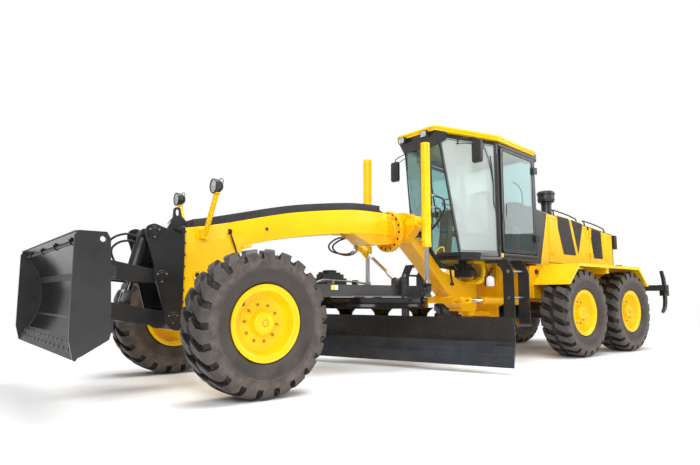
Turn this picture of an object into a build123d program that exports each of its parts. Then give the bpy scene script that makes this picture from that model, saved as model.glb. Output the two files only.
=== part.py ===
"""Motor grader with a front blade and a rear ripper, modelled in millimetres.

+X is forward, +Y is the machine's left, +Z is up.  The origin lies on the ground, under the middle of
the machine.  Each piece is a solid of its own and is written to parts/ under its node's name.
"""
import os
from math import atan2, cos, degrees, pi, radians, sin, tan

from build123d import *

os.makedirs("parts", exist_ok=True)

# ---------------------------------------------------------------- driving dimensions
FRONT_AXLE_X = 3700.0
FRONT_TO_MIDDLE = 5580.0       # front axle to the first tandem wheel
TANDEM_SPACING = 1540.0        # first to second tandem wheel
MIDDLE_AXLE_X = FRONT_AXLE_X - FRONT_TO_MIDDLE
REAR_AXLE_X = MIDDLE_AXLE_X - TANDEM_SPACING
TANDEM_X = (MIDDLE_AXLE_X + REAR_AXLE_X) / 2
FRONT_REACH = 5310.0           # front blade's front edge
REAR_REACH = 5310.0            # ripper's rear face

RUN_FIT = 0.05                 # radial clearance of a shaft that turns in a bore
SEAT_GAP = 0.3                 # between faces of different bodies that nearly touch
MOVE_GAP = 6.0                 # between moving pieces

# wheels
TYRE_R = 672.0
TYRE_W = 445.0
WHEEL_Y = 1075.0               # middle of the tread
RIM_SEAT_R = 317.5
RIM_FLANGE_R = 352.0
RIM_FLANGE_T = 22.0
RIM_WALL = 14.0
RIM_W = 356.0
RIM_DISC_OUT = 55.0            # disc's outer face, outboard of the wheel's middle
RIM_DISC_T = 20.0
HUB_R = 120.0
HUB_OUT = 150.0                # hub's end, outboard of the wheel's middle
HUB_IN = -60.0
SPINDLE_R = 50.0
AXLE_Z = TYRE_R

# articulation
ARTIC_X = -650.0
ARTIC_PIN_R = 55.0
ARTIC_BOSS_R = 130.0
ARTIC_LOW = 690.0
ARTIC_HIGH = 1150.0
YOKE_T = 60.0
YOKE_HALF = 215.0

# gooseneck beam
BEAM_HALF = 140.0
BEAM_NOSE_HALF = 250.0
NOSE_FRONT_X = 4100.0
NOSE_LOW = 560.0
COVER_T = 60.0
SADDLE_FRONT_X = 1170.0
SADDLE_REAR_X = 700.0

# lift cylinders
LIFT_X = 930.0
LIFT_Y = 600.0
LIFT_PIVOT_Z = 1909.0
LIFT_TOP_Z = 2980.0
LIFT_LOW_Z = 1580.0
LIFT_BARREL_R = 62.0
LIFT_ROD_R = 30.0
LIFT_TRUNNION_R = 30.0

# drawbar, circle and moldboard
DRAWBAR_HINGE_X = 3290.0
DRAWBAR_Z = 970.0
DRAWBAR_LOW = 907.0
DRAWBAR_TOP = 1055.0
DRAWBAR_HALF = 350.0
DRAWBAR_BEAM_W = 130.0
CIRCLE_X = 1420.0
CIRCLE_R = 780.0
CIRCLE_WALL = 140.0
CIRCLE_LOW = 765.0
CIRCLE_TOP = 901.0
BLADE_ANGLE = 21.0             # moldboard turned about Z, its left end to the rear
BLADE_LENGTH = 3660.0
BLADE_LOW = 85.0
BLADE_TOP = 665.0
BLADE_T = 22.0
BLADE_BACK = 112.0             # moldboard's middle, behind the circle's centre
BLADE_SHIFT = 43.0             # moldboard's middle along itself, from the circle's centre
BLADE_SAG = 90.0               # depth of the moldboard's curve
TIP_X = -330.0                 # tilt pin, from the circle's centre, in the blade's own direction
TIP_Z = 255.0
CARRIER_Y = 520.0

# swing cylinder
SWING_X = 1255.0
SWING_TOP = (-650.0, 1800.0)
SWING_LOW = (390.0, 1085.0)
SWING_GLAND = 0.42             # where the barrel ends, along the way from its top pin to the eye

# articulation cylinders
STEER_CYL_Y = 550.0
STEER_CYL_Z = 858.0
STEER_CYL_FRONT_X = 185.0
STEER_CYL_REAR_X = -1120.0
STEER_CYL_BARREL_R = 50.0
STEER_CYL_ROD_R = 27.0

# front blade and its mount
MOUNT_HALF = 292.0
MOUNT_PLATE_T = 25.0
MOUNT_Z = (573.0, 1614.0)
ARM_LOW_PIVOT = (4194.0, 698.0)
ARM_HIGH_PIVOT = (4320.0, 1100.0)
BLADE_PIN_BACK = 476.0         # the blade's arm pins, behind its front edge
ARM_REACH = (FRONT_REACH - BLADE_PIN_BACK - ARM_LOW_PIVOT[0], -10.0)
CYL_PIN_SHARE = 0.5953125      # where the cylinder's low pin is along the arm
CYL_HIGH_PIN = (4409.0, 1530.0)
CYL_LOW_PIN = (ARM_LOW_PIVOT[0] + CYL_PIN_SHARE * ARM_REACH[0], 867.0)
FRONT_BLADE_HALF = 1262.0
FRONT_BLADE_LOW = 448.0
FRONT_BLADE_TOP = 1390.0

# cab
CAB_FLOOR_Z = 1494.0
CAB_FRONT = (80.0, 490.0, 378.0, 376.0)     # low X, low half width, high X, high half width
CAB_PILLAR_X = -510.0
CAB_PILLAR_HALF = 750.0
CAB_PILLAR_HALF_TOP = 735.0
CAB_REAR_X = -1440.0
CAB_BACK_WALL_Z = 2350.0
ROOF_FRONT = (514.0, 400.0, 3375.0)
ROOF_REAR_X = -1500.0
ROOF_REAR_Z = 3235.0
ROOF_T = 75.0
POST = 62.0

# hood
HOOD_HALF = 550.0
HOOD_FRONT_X = -1480.0
HOOD_REAR_X = -4350.0
HOOD_LOW = 1440.0
HOOD_FRONT_TOP = 2369.0
HOOD_REAR_TOP = 2100.0
HOOD_WALL = 28.0

# fenders
FENDER_IN = 700.0
FENDER_OUT = 1310.0
FENDER_TOP = 1425.0
FENDER_TIP = 1020.0
FENDER_T = 8.0

# ripper
RIPPER_HALF = 1200.0
RIPPER_PIVOT = (-4560.0, 600.0)
RIPPER_CYL_TOP = (-4560.0, 1290.0)
RIPPER_CYL_SHARE = 0.32        # where the cylinder's low pin is from the pivot to the rear face
RIPPER_CYL_LOW = (RIPPER_PIVOT[0] - RIPPER_CYL_SHARE * (REAR_REACH + RIPPER_PIVOT[0]), 760.0)
RIPPER_BEAM_X = (-REAR_REACH + 190.0, -REAR_REACH + 330.0)
RIPPER_BEAM_Z = 1085.0


def finish(piece, name, place=Location()):
    """Put a piece in its place, label it and write it as its node's STEP file."""
    solid = piece.part.moved(place)
    solid.label = name
    export_step(solid, f"parts/{name}.step")


# ---------------------------------------------------------------- shapes used by many pieces
def block(x, y, z, mode=Mode.ADD):
    """A box from its low and high X, Y and Z."""
    with Locations(((x[0] + x[1]) / 2, (y[0] + y[1]) / 2, (z[0] + z[1]) / 2)):
        Box(x[1] - x[0], y[1] - y[0], z[1] - z[0], mode=mode)


def side_plate(points, y_low, y_high, mode=Mode.ADD):
    """A plate with an outline in X and Z, from y_low to y_high."""
    with BuildSketch(Plane.XZ.offset(-y_low)) as outline:
        with BuildLine():
            Polyline(*points, close=True)
        make_face()
    extrude(outline.sketch, amount=-(y_high - y_low), mode=mode)


def flat_plate(points, z_low, z_high, mode=Mode.ADD):
    """A plate with an outline in X and Y, from z_low to z_high."""
    with BuildSketch(Plane.XY.offset(z_low)) as outline:
        with BuildLine():
            Polyline(*points, close=True)
        make_face()
    extrude(outline.sketch, amount=z_high - z_low, mode=mode)


def cross_plate(points, x_low, x_high, mode=Mode.ADD):
    """A plate with an outline in Y and Z, from x_low to x_high."""
    with BuildSketch(Plane.YZ.offset(x_low)) as outline:
        with BuildLine():
            Polyline(*points, close=True)
        make_face()
    extrude(outline.sketch, amount=x_high - x_low, mode=mode)


def rod(start, end, radius, mode=Mode.ADD):
    """A round bar from start to end."""
    way = Vector(*end) - Vector(*start)
    with BuildSketch(Plane(origin=start, z_dir=way)) as outline:
        Circle(radius)
    extrude(outline.sketch, amount=way.length, mode=mode)


def bar(start, end, width, depth, mode=Mode.ADD):
    """A rectangular bar from start to end; width is level, depth square to it."""
    way = Vector(*end) - Vector(*start)
    level = Vector(0, 0, 1).cross(way)
    if level.length < 1e-6:
        level = Vector(0, 1, 0)
    with BuildSketch(Plane(origin=start, x_dir=level, z_dir=way)) as outline:
        Rectangle(width, depth)
    extrude(outline.sketch, amount=way.length, mode=mode)


def pane(corners, thickness):
    """A flat sheet through its corners, half its thickness to each side."""
    first, second, last = Vector(*corners[0]), Vector(*corners[1]), Vector(*corners[-1])
    plane = Plane(origin=first, x_dir=second - first, z_dir=(second - first).cross(last - first))
    local_corners = [plane.to_local_coords(Vector(*corner)) for corner in corners]
    with BuildSketch(plane) as outline:
        with BuildLine():
            Polyline(*[(local.X, local.Y) for local in local_corners], close=True)
        make_face()
    extrude(outline.sketch, amount=thickness / 2, both=True)


def eye(centre, along, radius, length, mode=Mode.ADD):
    """A round boss, centred on a point, with its length along a direction."""
    half = Vector(*along).normalized() * (length / 2)
    rod(tuple(Vector(*centre) - half), tuple(Vector(*centre) + half), radius, mode)


# ---------------------------------------------------------------- wheels
def make_tyre(name, x, side):
    """A tyre: a closed ring out to the tips of its lugs, on the rim's seat."""
    middle = side * WHEEL_Y
    bead_half = RIM_W / 2 - RIM_FLANGE_T - SEAT_GAP
    seat = RIM_SEAT_R + SEAT_GAP
    profile = [
        (-bead_half, seat),
        (bead_half, seat),
        (bead_half, RIM_FLANGE_R + 6),
        (TYRE_W / 2 - 8, 450),
        (TYRE_W / 2, 540),
        (TYRE_W / 2 - 6, 618),
        (TYRE_W / 2 - 40, TYRE_R),
        (-TYRE_W / 2 + 40, TYRE_R),
        (-TYRE_W / 2 + 6, 618),
        (-TYRE_W / 2, 540),
        (-TYRE_W / 2 + 8, 450),
        (-bead_half, RIM_FLANGE_R + 6),
    ]
    with BuildPart() as tyre:
        with BuildSketch(Plane(origin=(x, middle, AXLE_Z), x_dir=(0, 1, 0), z_dir=(1, 0, 0))):
            with BuildLine():
                Polyline(*profile, close=True)
            make_face()
        revolve(axis=Axis((x, 0, AXLE_Z), (0, 1, 0)))
    finish(tyre, name)


def make_rim(name, x, side):
    """A rim: barrel with two flanges, dished disc and hub, bored for its spindle."""
    middle = side * WHEEL_Y
    half = RIM_W / 2
    disc_out = side * RIM_DISC_OUT
    disc_in = disc_out - side * RIM_DISC_T
    barrel = [
        (-half, RIM_SEAT_R - RIM_WALL),
        (half, RIM_SEAT_R - RIM_WALL),
        (half, RIM_FLANGE_R),
        (half - RIM_FLANGE_T, RIM_FLANGE_R),
        (half - RIM_FLANGE_T, RIM_SEAT_R),
        (-half + RIM_FLANGE_T, RIM_SEAT_R),
        (-half + RIM_FLANGE_T, RIM_FLANGE_R),
        (-half, RIM_FLANGE_R),
    ]
    with BuildPart() as rim:
        with BuildSketch(Plane(origin=(x, middle, AXLE_Z), x_dir=(0, 1, 0), z_dir=(1, 0, 0))):
            with BuildLine():
                Polyline(*barrel, close=True)
            make_face()
        revolve(axis=Axis((x, 0, AXLE_Z), (0, 1, 0)))
        rod((x, middle + disc_in, AXLE_Z), (x, middle + disc_out, AXLE_Z), RIM_SEAT_R - RIM_WALL / 2)
        rod((x, middle + side * HUB_IN, AXLE_Z), (x, middle + side * HUB_OUT, AXLE_Z), HUB_R)
        rod((x, middle + side * (HUB_IN - 1), AXLE_Z), (x, middle + side * (HUB_OUT - 25), AXLE_Z),
            SPINDLE_R + RUN_FIT, mode=Mode.SUBTRACT)
    finish(rim, name)


AXLES = [("front", FRONT_AXLE_X), ("middle", MIDDLE_AXLE_X), ("rear", REAR_AXLE_X)]
SIDES = [("left", 1), ("right", -1)]
for axle_name, axle_x in AXLES:
    for side_name, side in SIDES:
        make_tyre(f"tyre_{axle_name}_{side_name}", axle_x, side)
        make_rim(f"rim_{axle_name}_{side_name}", axle_x, side)

SPINDLE_END = WHEEL_Y + HUB_OUT - 25 - 1      # spindle stops short of the hub's closed end

# ---------------------------------------------------------------- rear frame
RAIL_IN, RAIL_OUT = 250.0, 350.0
RAIL_LOW, RAIL_TOP = 830.0, 1030.0
FRAME_FRONT_X = -900.0
FRAME_REAR_X = -4420.0
WALL_T = 40.0

with BuildPart() as rear_frame:
    block((FRAME_REAR_X, FRAME_FRONT_X), (RAIL_IN, RAIL_OUT), (RAIL_LOW, RAIL_TOP))
    block((FRAME_FRONT_X - WALL_T, FRAME_FRONT_X), (0, RAIL_OUT), (600, CAB_FLOOR_Z - 60))
    block((FRAME_REAR_X - 60, FRAME_REAR_X), (0, HOOD_HALF), (620, HOOD_LOW + 10))
    block((MIDDLE_AXLE_X + 40, FRAME_FRONT_X), (RAIL_OUT - 30, RAIL_OUT), (RAIL_TOP, HOOD_LOW - 40))
    for yoke_low in (ARTIC_LOW - YOKE_T - 1, ARTIC_HIGH + 1):
        block((FRAME_FRONT_X - WALL_T, ARTIC_X), (0, YOKE_HALF), (yoke_low, yoke_low + YOKE_T))
        rod((ARTIC_X, 0, yoke_low), (ARTIC_X, 0, yoke_low + YOKE_T), ARTIC_BOSS_R)
    rod((ARTIC_X, 0, ARTIC_LOW - YOKE_T - 12), (ARTIC_X, 0, ARTIC_HIGH + YOKE_T + 12), ARTIC_PIN_R)
    for bracket_x in (-2150.0, -3150.0):
        block((bracket_x - 60, bracket_x + 60), (RAIL_OUT, FENDER_IN + 30), (1180, 1240))
        block((bracket_x - 60, bracket_x + 60), (RAIL_IN, RAIL_OUT + 20), (RAIL_TOP, HOOD_LOW - 40))
    block((-3900, -3780), (RAIL_IN, RAIL_OUT), (RAIL_TOP, HOOD_LOW - 40))
    flat_plate([(-1700, RAIL_IN), (-3960, RAIL_IN), (-3960, HOOD_HALF), (-1700, HOOD_HALF)],
               HOOD_LOW - 40, HOOD_LOW)
    for lug_z in (STEER_CYL_Z - 62, STEER_CYL_Z + 34):
        block((STEER_CYL_REAR_X - 60, STEER_CYL_REAR_X), (RAIL_OUT - 10, STEER_CYL_Y),
              (lug_z, lug_z + 28))
        rod((STEER_CYL_REAR_X, STEER_CYL_Y, lug_z), (STEER_CYL_REAR_X, STEER_CYL_Y, lug_z + 28), 60)
    rod((STEER_CYL_REAR_X, STEER_CYL_Y, STEER_CYL_Z - 70), (STEER_CYL_REAR_X, STEER_CYL_Y, STEER_CYL_Z + 70),
        22)
    mirror(about=Plane.XZ)
    for side in (1, -1):
        low_y, high_y = sorted((side * 311, side * 341))
        side_plate([(FRAME_REAR_X - 50, 620), (RIPPER_PIVOT[0], RIPPER_PIVOT[1] - 50), (RIPPER_PIVOT[0] - 50, RIPPER_PIVOT[1]),
                    (RIPPER_PIVOT[0], RIPPER_PIVOT[1] + 50), (FRAME_REAR_X - 50, 760)], low_y, high_y)
        rod((RIPPER_PIVOT[0], side * 270, RIPPER_PIVOT[1]), (RIPPER_PIVOT[0], side * 341, RIPPER_PIVOT[1]), 30)
        low_y, high_y = sorted((side * 54, side * 78))
        side_plate([(FRAME_REAR_X - 50, 1200), (RIPPER_CYL_TOP[0], RIPPER_CYL_TOP[1] - 45),
                    (RIPPER_CYL_TOP[0] - 45, RIPPER_CYL_TOP[1]), (RIPPER_CYL_TOP[0], RIPPER_CYL_TOP[1] + 45),
                    (FRAME_REAR_X - 50, 1380)], low_y, high_y)
    rod((RIPPER_CYL_TOP[0], -78, RIPPER_CYL_TOP[1]), (RIPPER_CYL_TOP[0], 78, RIPPER_CYL_TOP[1]), 25)
finish(rear_frame, "rear_frame")

# ---------------------------------------------------------------- tandem axle
CASE_IN, CASE_OUT = 660.0, 835.0
CASE_HALF_HIGH = 185.0
with BuildPart() as tandem_axle:
    with BuildSketch(Plane.XZ.offset(-CASE_IN)):
        with Locations((TANDEM_X, AXLE_Z)):
            SlotOverall(TANDEM_SPACING + 2 * CASE_HALF_HIGH, 2 * CASE_HALF_HIGH)
    extrude(amount=-(CASE_OUT - CASE_IN))
    for stub_x in (MIDDLE_AXLE_X, REAR_AXLE_X):
        rod((stub_x, CASE_OUT - 10, AXLE_Z), (stub_x, WHEEL_Y + HUB_IN - MOVE_GAP, AXLE_Z), 95)
        rod((stub_x, CASE_OUT - 10, AXLE_Z), (stub_x, SPINDLE_END, AXLE_Z), SPINDLE_R)
    rod((TANDEM_X, -10, AXLE_Z), (TANDEM_X, CASE_IN + 10, AXLE_Z), 150)
    block((TANDEM_X - 170, TANDEM_X + 170), (RAIL_IN - 20, RAIL_OUT + 20), (AXLE_Z + 60, RAIL_LOW))
    mirror(about=Plane.XZ)
finish(tandem_axle, "tandem_axle")

# ---------------------------------------------------------------- fenders
FLAT_FRONT_X = MIDDLE_AXLE_X + 230
FLAT_REAR_X = REAR_AXLE_X - 260
TIP_FRONT_X = FLAT_FRONT_X + 405
TIP_REAR_X = FLAT_REAR_X - 405
with BuildPart() as rear_fenders:
    with BuildSketch(Plane.XZ.offset(-FENDER_IN)):
        with BuildLine():
            Polyline((TIP_FRONT_X, FENDER_TIP), (FLAT_FRONT_X, FENDER_TOP), (FLAT_REAR_X, FENDER_TOP),
                     (TIP_REAR_X, FENDER_TIP), (TIP_REAR_X + FENDER_T * 1.4, FENDER_TIP),
                     (FLAT_REAR_X + FENDER_T * 0.4, FENDER_TOP - FENDER_T),
                     (FLAT_FRONT_X - FENDER_T * 0.4, FENDER_TOP - FENDER_T),
                     (TIP_FRONT_X - FENDER_T * 1.4, FENDER_TIP), close=True)
        make_face()
    extrude(amount=-(FENDER_OUT - FENDER_IN))
    for bracket_x in (-2150.0, -3150.0):
        side_plate([(bracket_x - 60, 1180), (bracket_x + 60, 1180), (bracket_x + 60, FENDER_TOP - 1),
                    (bracket_x - 60, FENDER_TOP - 1)], FENDER_IN + 30, FENDER_IN + 60)
    block((TANDEM_X - 45, TANDEM_X + 45), (CASE_OUT + 20, FENDER_OUT - 60), (1290, FENDER_TOP - 1))
    mirror(about=Plane.XZ)
finish(rear_fenders, "rear_fenders")

# ---------------------------------------------------------------- engine and hood
with BuildPart() as engine_block:
    block((-3950, -2150), (-330, 330), (HOOD_LOW + SEAT_GAP, 2010))
    for foot_y in (-400.0, 330.0):
        block((-3800, -2300), (foot_y, foot_y + 70), (HOOD_LOW + SEAT_GAP, HOOD_LOW + 90))
finish(engine_block, "engine_block")

DOOR_LOW, DOOR_TOP_DROP = HOOD_LOW + 40, 60.0
HOOD_HINGE_Z = (DOOR_LOW + 150, 2000.0)
HOOD_DOORS = [
    # name, hinge x, free x
    ("front", -3380.0, -2090.0),
    ("rear", -3460.0, -4290.0),
]


def hood_top_z(x):
    """Height of the hood's side at a place along it."""
    share = (HOOD_FRONT_X - x) / (HOOD_FRONT_X - HOOD_REAR_X)
    return HOOD_FRONT_TOP + (HOOD_REAR_TOP - HOOD_FRONT_TOP) * share


with BuildPart() as hood_shell:
    side_plate([(HOOD_FRONT_X, HOOD_LOW), (HOOD_FRONT_X, HOOD_FRONT_TOP), (HOOD_REAR_X, HOOD_REAR_TOP),
                (HOOD_REAR_X, HOOD_LOW)], -HOOD_HALF, HOOD_HALF)
    side_plate([(HOOD_FRONT_X - HOOD_WALL, HOOD_LOW - 1), (HOOD_FRONT_X - HOOD_WALL, HOOD_FRONT_TOP + 10),
                (HOOD_REAR_X + HOOD_WALL, HOOD_REAR_TOP + 10), (HOOD_REAR_X + HOOD_WALL, HOOD_LOW - 1)],
               -HOOD_HALF + HOOD_WALL, HOOD_HALF - HOOD_WALL, mode=Mode.SUBTRACT)
    for door_name, hinge_x, free_x in HOOD_DOORS:
        side_plate([(hinge_x, DOOR_LOW), (free_x, DOOR_LOW), (free_x, hood_top_z(free_x) - DOOR_TOP_DROP),
                    (hinge_x, hood_top_z(hinge_x) - DOOR_TOP_DROP)],
                   -HOOD_HALF - 5, HOOD_HALF + 5, mode=Mode.SUBTRACT)
    for door_name, hinge_x, free_x in HOOD_DOORS:
        way = 1 if free_x > hinge_x else -1
        for side in (1, -1):
            for hinge_z in HOOD_HINGE_Z:
                axis_x, axis_y = hinge_x + way * 4, side * (HOOD_HALF + 14)
                rod((axis_x, axis_y, hinge_z - 24), (axis_x, axis_y, hinge_z - SEAT_GAP), 9)
                block(sorted((axis_x, axis_x - way * 24)), sorted((side * (HOOD_HALF + 7), side * (HOOD_HALF + 21))),
                      (hinge_z - 24, hinge_z - SEAT_GAP))
                block(sorted((hinge_x - way * 3, axis_x - way * 24)), sorted((side * (HOOD_HALF - 5), side * (HOOD_HALF + 8))),
                      (hinge_z - 24, hinge_z - SEAT_GAP))
finish(hood_shell, "hood_shell")

HOOD_CROWN = 110.0
CROWN_HALF = 330.0
with BuildPart() as hood_top:
    with BuildSketch(Plane.YZ.offset(HOOD_FRONT_X)):
        with BuildLine():
            Polyline((-HOOD_HALF, HOOD_FRONT_TOP + SEAT_GAP), (-CROWN_HALF, HOOD_FRONT_TOP + HOOD_CROWN),
                     (CROWN_HALF, HOOD_FRONT_TOP + HOOD_CROWN), (HOOD_HALF, HOOD_FRONT_TOP + SEAT_GAP),
                     close=True)
        make_face()
    with BuildSketch(Plane.YZ.offset(HOOD_REAR_X)):
        with BuildLine():
            Polyline((-HOOD_HALF, HOOD_REAR_TOP + SEAT_GAP), (-CROWN_HALF, HOOD_REAR_TOP + HOOD_CROWN * 0.7),
                     (CROWN_HALF, HOOD_REAR_TOP + HOOD_CROWN * 0.7), (HOOD_HALF, HOOD_REAR_TOP + SEAT_GAP),
                     close=True)
        make_face()
    loft()
    rod((-2560, 250, 2300), (-2560, 250, 2640), 90)
    rod((-2560, 250, 2590), (-2560, 250, 2800), 155)
    for rail_y in (-300.0, 300.0):
        rod((-2900, rail_y, 2300), (-2900, rail_y, 2440), 20)
        rod((-4100, rail_y, 2150), (-4100, rail_y, 2320), 20)
        rod((-2900, rail_y, 2430), (-4100, rail_y, 2310), 20)
    for tail_y in (-HOOD_HALF - 35, HOOD_HALF - 85):
        block((HOOD_REAR_X - 110, HOOD_REAR_X - SEAT_GAP), (tail_y, tail_y + 120), (1830, 2100))
finish(hood_top, "hood_top")

for side_name, side in SIDES:
    for door_name, hinge_x, free_x in HOOD_DOORS:
        way = 1 if free_x > hinge_x else -1
        with BuildPart() as engine_door:
            low_y, high_y = sorted((side * (HOOD_HALF - HOOD_WALL + 6), side * (HOOD_HALF + 4)))
            near_x, far_x = hinge_x + way * MOVE_GAP, free_x - way * MOVE_GAP
            side_plate([(near_x, DOOR_LOW + MOVE_GAP), (far_x, DOOR_LOW + MOVE_GAP),
                        (far_x, hood_top_z(far_x) - DOOR_TOP_DROP - MOVE_GAP),
                        (near_x, hood_top_z(near_x) - DOOR_TOP_DROP - MOVE_GAP)], low_y, high_y)
            for hinge_z in HOOD_HINGE_Z:
                rod((hinge_x + way * 4, side * (HOOD_HALF + 14), hinge_z),
                    (hinge_x + way * 4, side * (HOOD_HALF + 14), hinge_z + 90), 12)
                block(sorted((hinge_x + way * 4, near_x + way * 40)),
                      sorted((side * (HOOD_HALF + 2), side * (HOOD_HALF + 14))), (hinge_z, hinge_z + 90))
        finish(engine_door, f"engine_door_{door_name}_{side_name}")

# ---------------------------------------------------------------- cab
LOW_X, LOW_Y, HIGH_X, HIGH_Y = CAB_FRONT
ROOF_SLOPE = (ROOF_FRONT[2] - ROOF_REAR_Z) / (ROOF_FRONT[0] - ROOF_REAR_X)


def roof_under_z(x):
    """Height of the roof's underside at a place along the cab."""
    return ROOF_REAR_Z - ROOF_T + (x - ROOF_REAR_X) * ROOF_SLOPE


def top_rail_z(x):
    """Height of the middle of the cab's top rail at a place along the cab."""
    return roof_under_z(x) - POST / 2 - 2.6


CAB_HINGE_Z = (1760.0, 2850.0)
CAB_HINGE_Y = CAB_PILLAR_HALF + 22

# the cab's corners from above, left half, middle of each post: at the floor and at the top rail
CAB_LOW = [(LOW_X, LOW_Y - POST / 2), (CAB_PILLAR_X, CAB_PILLAR_HALF - POST / 2),
           (CAB_REAR_X, CAB_PILLAR_HALF - POST / 2)]
CAB_HIGH = [(HIGH_X, HIGH_Y - POST / 2), (CAB_PILLAR_X, CAB_PILLAR_HALF_TOP - POST / 2),
            (CAB_REAR_X, CAB_PILLAR_HALF_TOP - POST / 2)]


def mirrored(points):
    """An outline's left half, and then its right half in reverse."""
    return list(points) + [(x, -y) for x, y in reversed(points)]


with BuildPart() as cab_frame:
    flat_plate(mirrored([(LOW_X, LOW_Y), (CAB_PILLAR_X, CAB_PILLAR_HALF), (CAB_REAR_X, CAB_PILLAR_HALF)]),
               CAB_FLOOR_Z - 50, CAB_FLOOR_Z)
    for low, high in zip(CAB_LOW, CAB_HIGH):
        for side in (1, -1):
            bar((low[0], side * low[1], CAB_FLOOR_Z - 10), (high[0], side * high[1], top_rail_z(high[0])), POST, POST)
    for ring in ([(x, y, CAB_FLOOR_Z + POST / 2) for x, y in mirrored(CAB_LOW)],
                 [(x, y, top_rail_z(x)) for x, y in mirrored(CAB_HIGH)]):
        for number, start in enumerate(ring):
            bar(start, ring[(number + 1) % len(ring)], POST, POST)
    block((CAB_REAR_X - POST / 2, CAB_REAR_X + 10), (-CAB_PILLAR_HALF + 40, CAB_PILLAR_HALF - 40),
          (CAB_FLOOR_Z, CAB_BACK_WALL_Z))
    for foot_y in (-340.0, 300.0):
        block((-860, -700), (foot_y, foot_y + 40), (CAB_FLOOR_Z - 60 + SEAT_GAP, CAB_FLOOR_Z - 40))
        block((FRAME_FRONT_X - WALL_T, FRAME_FRONT_X), (foot_y, foot_y + 40), (CAB_FLOOR_Z - 60 + SEAT_GAP, CAB_FLOOR_Z - 40))
    for side in (1, -1):
        for hinge_z in CAB_HINGE_Z:
            block((CAB_REAR_X - 16, CAB_REAR_X + 16), sorted((side * (CAB_PILLAR_HALF_TOP - 20), side * (CAB_HINGE_Y + 16))),
                  (hinge_z - 30, hinge_z - SEAT_GAP))
finish(cab_frame, "cab_frame")

with BuildPart() as cab_roof:
    flat_plate(mirrored([(ROOF_FRONT[0], ROOF_FRONT[1]), (CAB_PILLAR_X + 40, 790.0), (ROOF_REAR_X, 760.0)]),
               ROOF_REAR_Z - 120, ROOF_FRONT[2] + 60)
    for offset, far_z in ((0.0, ROOF_FRONT[2] + 200), (-ROOF_T, ROOF_REAR_Z - 300)):
        side_plate([(ROOF_REAR_X - 50, ROOF_REAR_Z - 50 * ROOF_SLOPE + offset),
                    (ROOF_FRONT[0] + 50, ROOF_FRONT[2] + 50 * ROOF_SLOPE + offset),
                    (ROOF_FRONT[0] + 50, far_z), (ROOF_REAR_X - 50, far_z)], -900, 900, mode=Mode.SUBTRACT)
finish(cab_roof, "cab_roof")

GLASS_T = 8.0
PANE_LOW_Z = CAB_FLOOR_Z + POST + SEAT_GAP


def cab_corner(number, z):
    """Middle of one of the left posts at a height, as X and Y."""
    low, high = CAB_LOW[number], CAB_HIGH[number]
    share = (z - CAB_FLOOR_Z + 10) / (top_rail_z(high[0]) - CAB_FLOOR_Z + 10)
    return low[0] + (high[0] - low[0]) * share, low[1] + (high[1] - low[1]) * share


def wall_pane(low_line, low_z, high_line, high_z):
    """Glass between two level lines, each two points in X and Y, clear of the posts at their ends."""
    sections = []
    for (start, end), z in ((low_line, low_z), (high_line, high_z)):
        way = (Vector(*end) - Vector(*start)).normalized()
        first = Vector(*start) + way * (POST * 0.71 + 4)
        last = Vector(*end) - way * (POST * 0.71 + 4)
        half = Vector(-way.Y, way.X) * (GLASS_T / 2)
        with BuildSketch(Plane.XY.offset(z)) as section:
            with BuildLine():
                Polyline(*[(point.X, point.Y) for point in (first - half, last - half, last + half, first + half)],
                         close=True)
            make_face()
        sections.append(section.sketch.faces()[0])
    loft(sections)


with BuildPart() as windshield:
    TOP_Z = top_rail_z(HIGH_X) - POST / 2 - 8
    ends = [[(x, -y), (x, y)] for x, y in (cab_corner(0, PANE_LOW_Z), cab_corner(0, TOP_Z))]
    wall_pane(ends[0], PANE_LOW_Z, ends[1], TOP_Z)
with BuildPart() as quarter_pane:
    TOP_Z = top_rail_z(CAB_PILLAR_X) - POST / 2 - 8
    wall_pane([cab_corner(0, PANE_LOW_Z), cab_corner(1, PANE_LOW_Z)], PANE_LOW_Z,
              [cab_corner(0, TOP_Z), cab_corner(1, TOP_Z)], TOP_Z)
with BuildPart() as cab_glass:
    add(windshield.part)
    add(quarter_pane.part)
    mirror(about=Plane.XZ)
    block((CAB_REAR_X - GLASS_T / 2, CAB_REAR_X + GLASS_T / 2),
          (-CAB_PILLAR_HALF_TOP + POST + 4, CAB_PILLAR_HALF_TOP - POST - 4),
          (CAB_BACK_WALL_Z + SEAT_GAP, top_rail_z(CAB_REAR_X) - POST / 2 - 4))
finish(cab_glass, "cab_glass")

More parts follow.
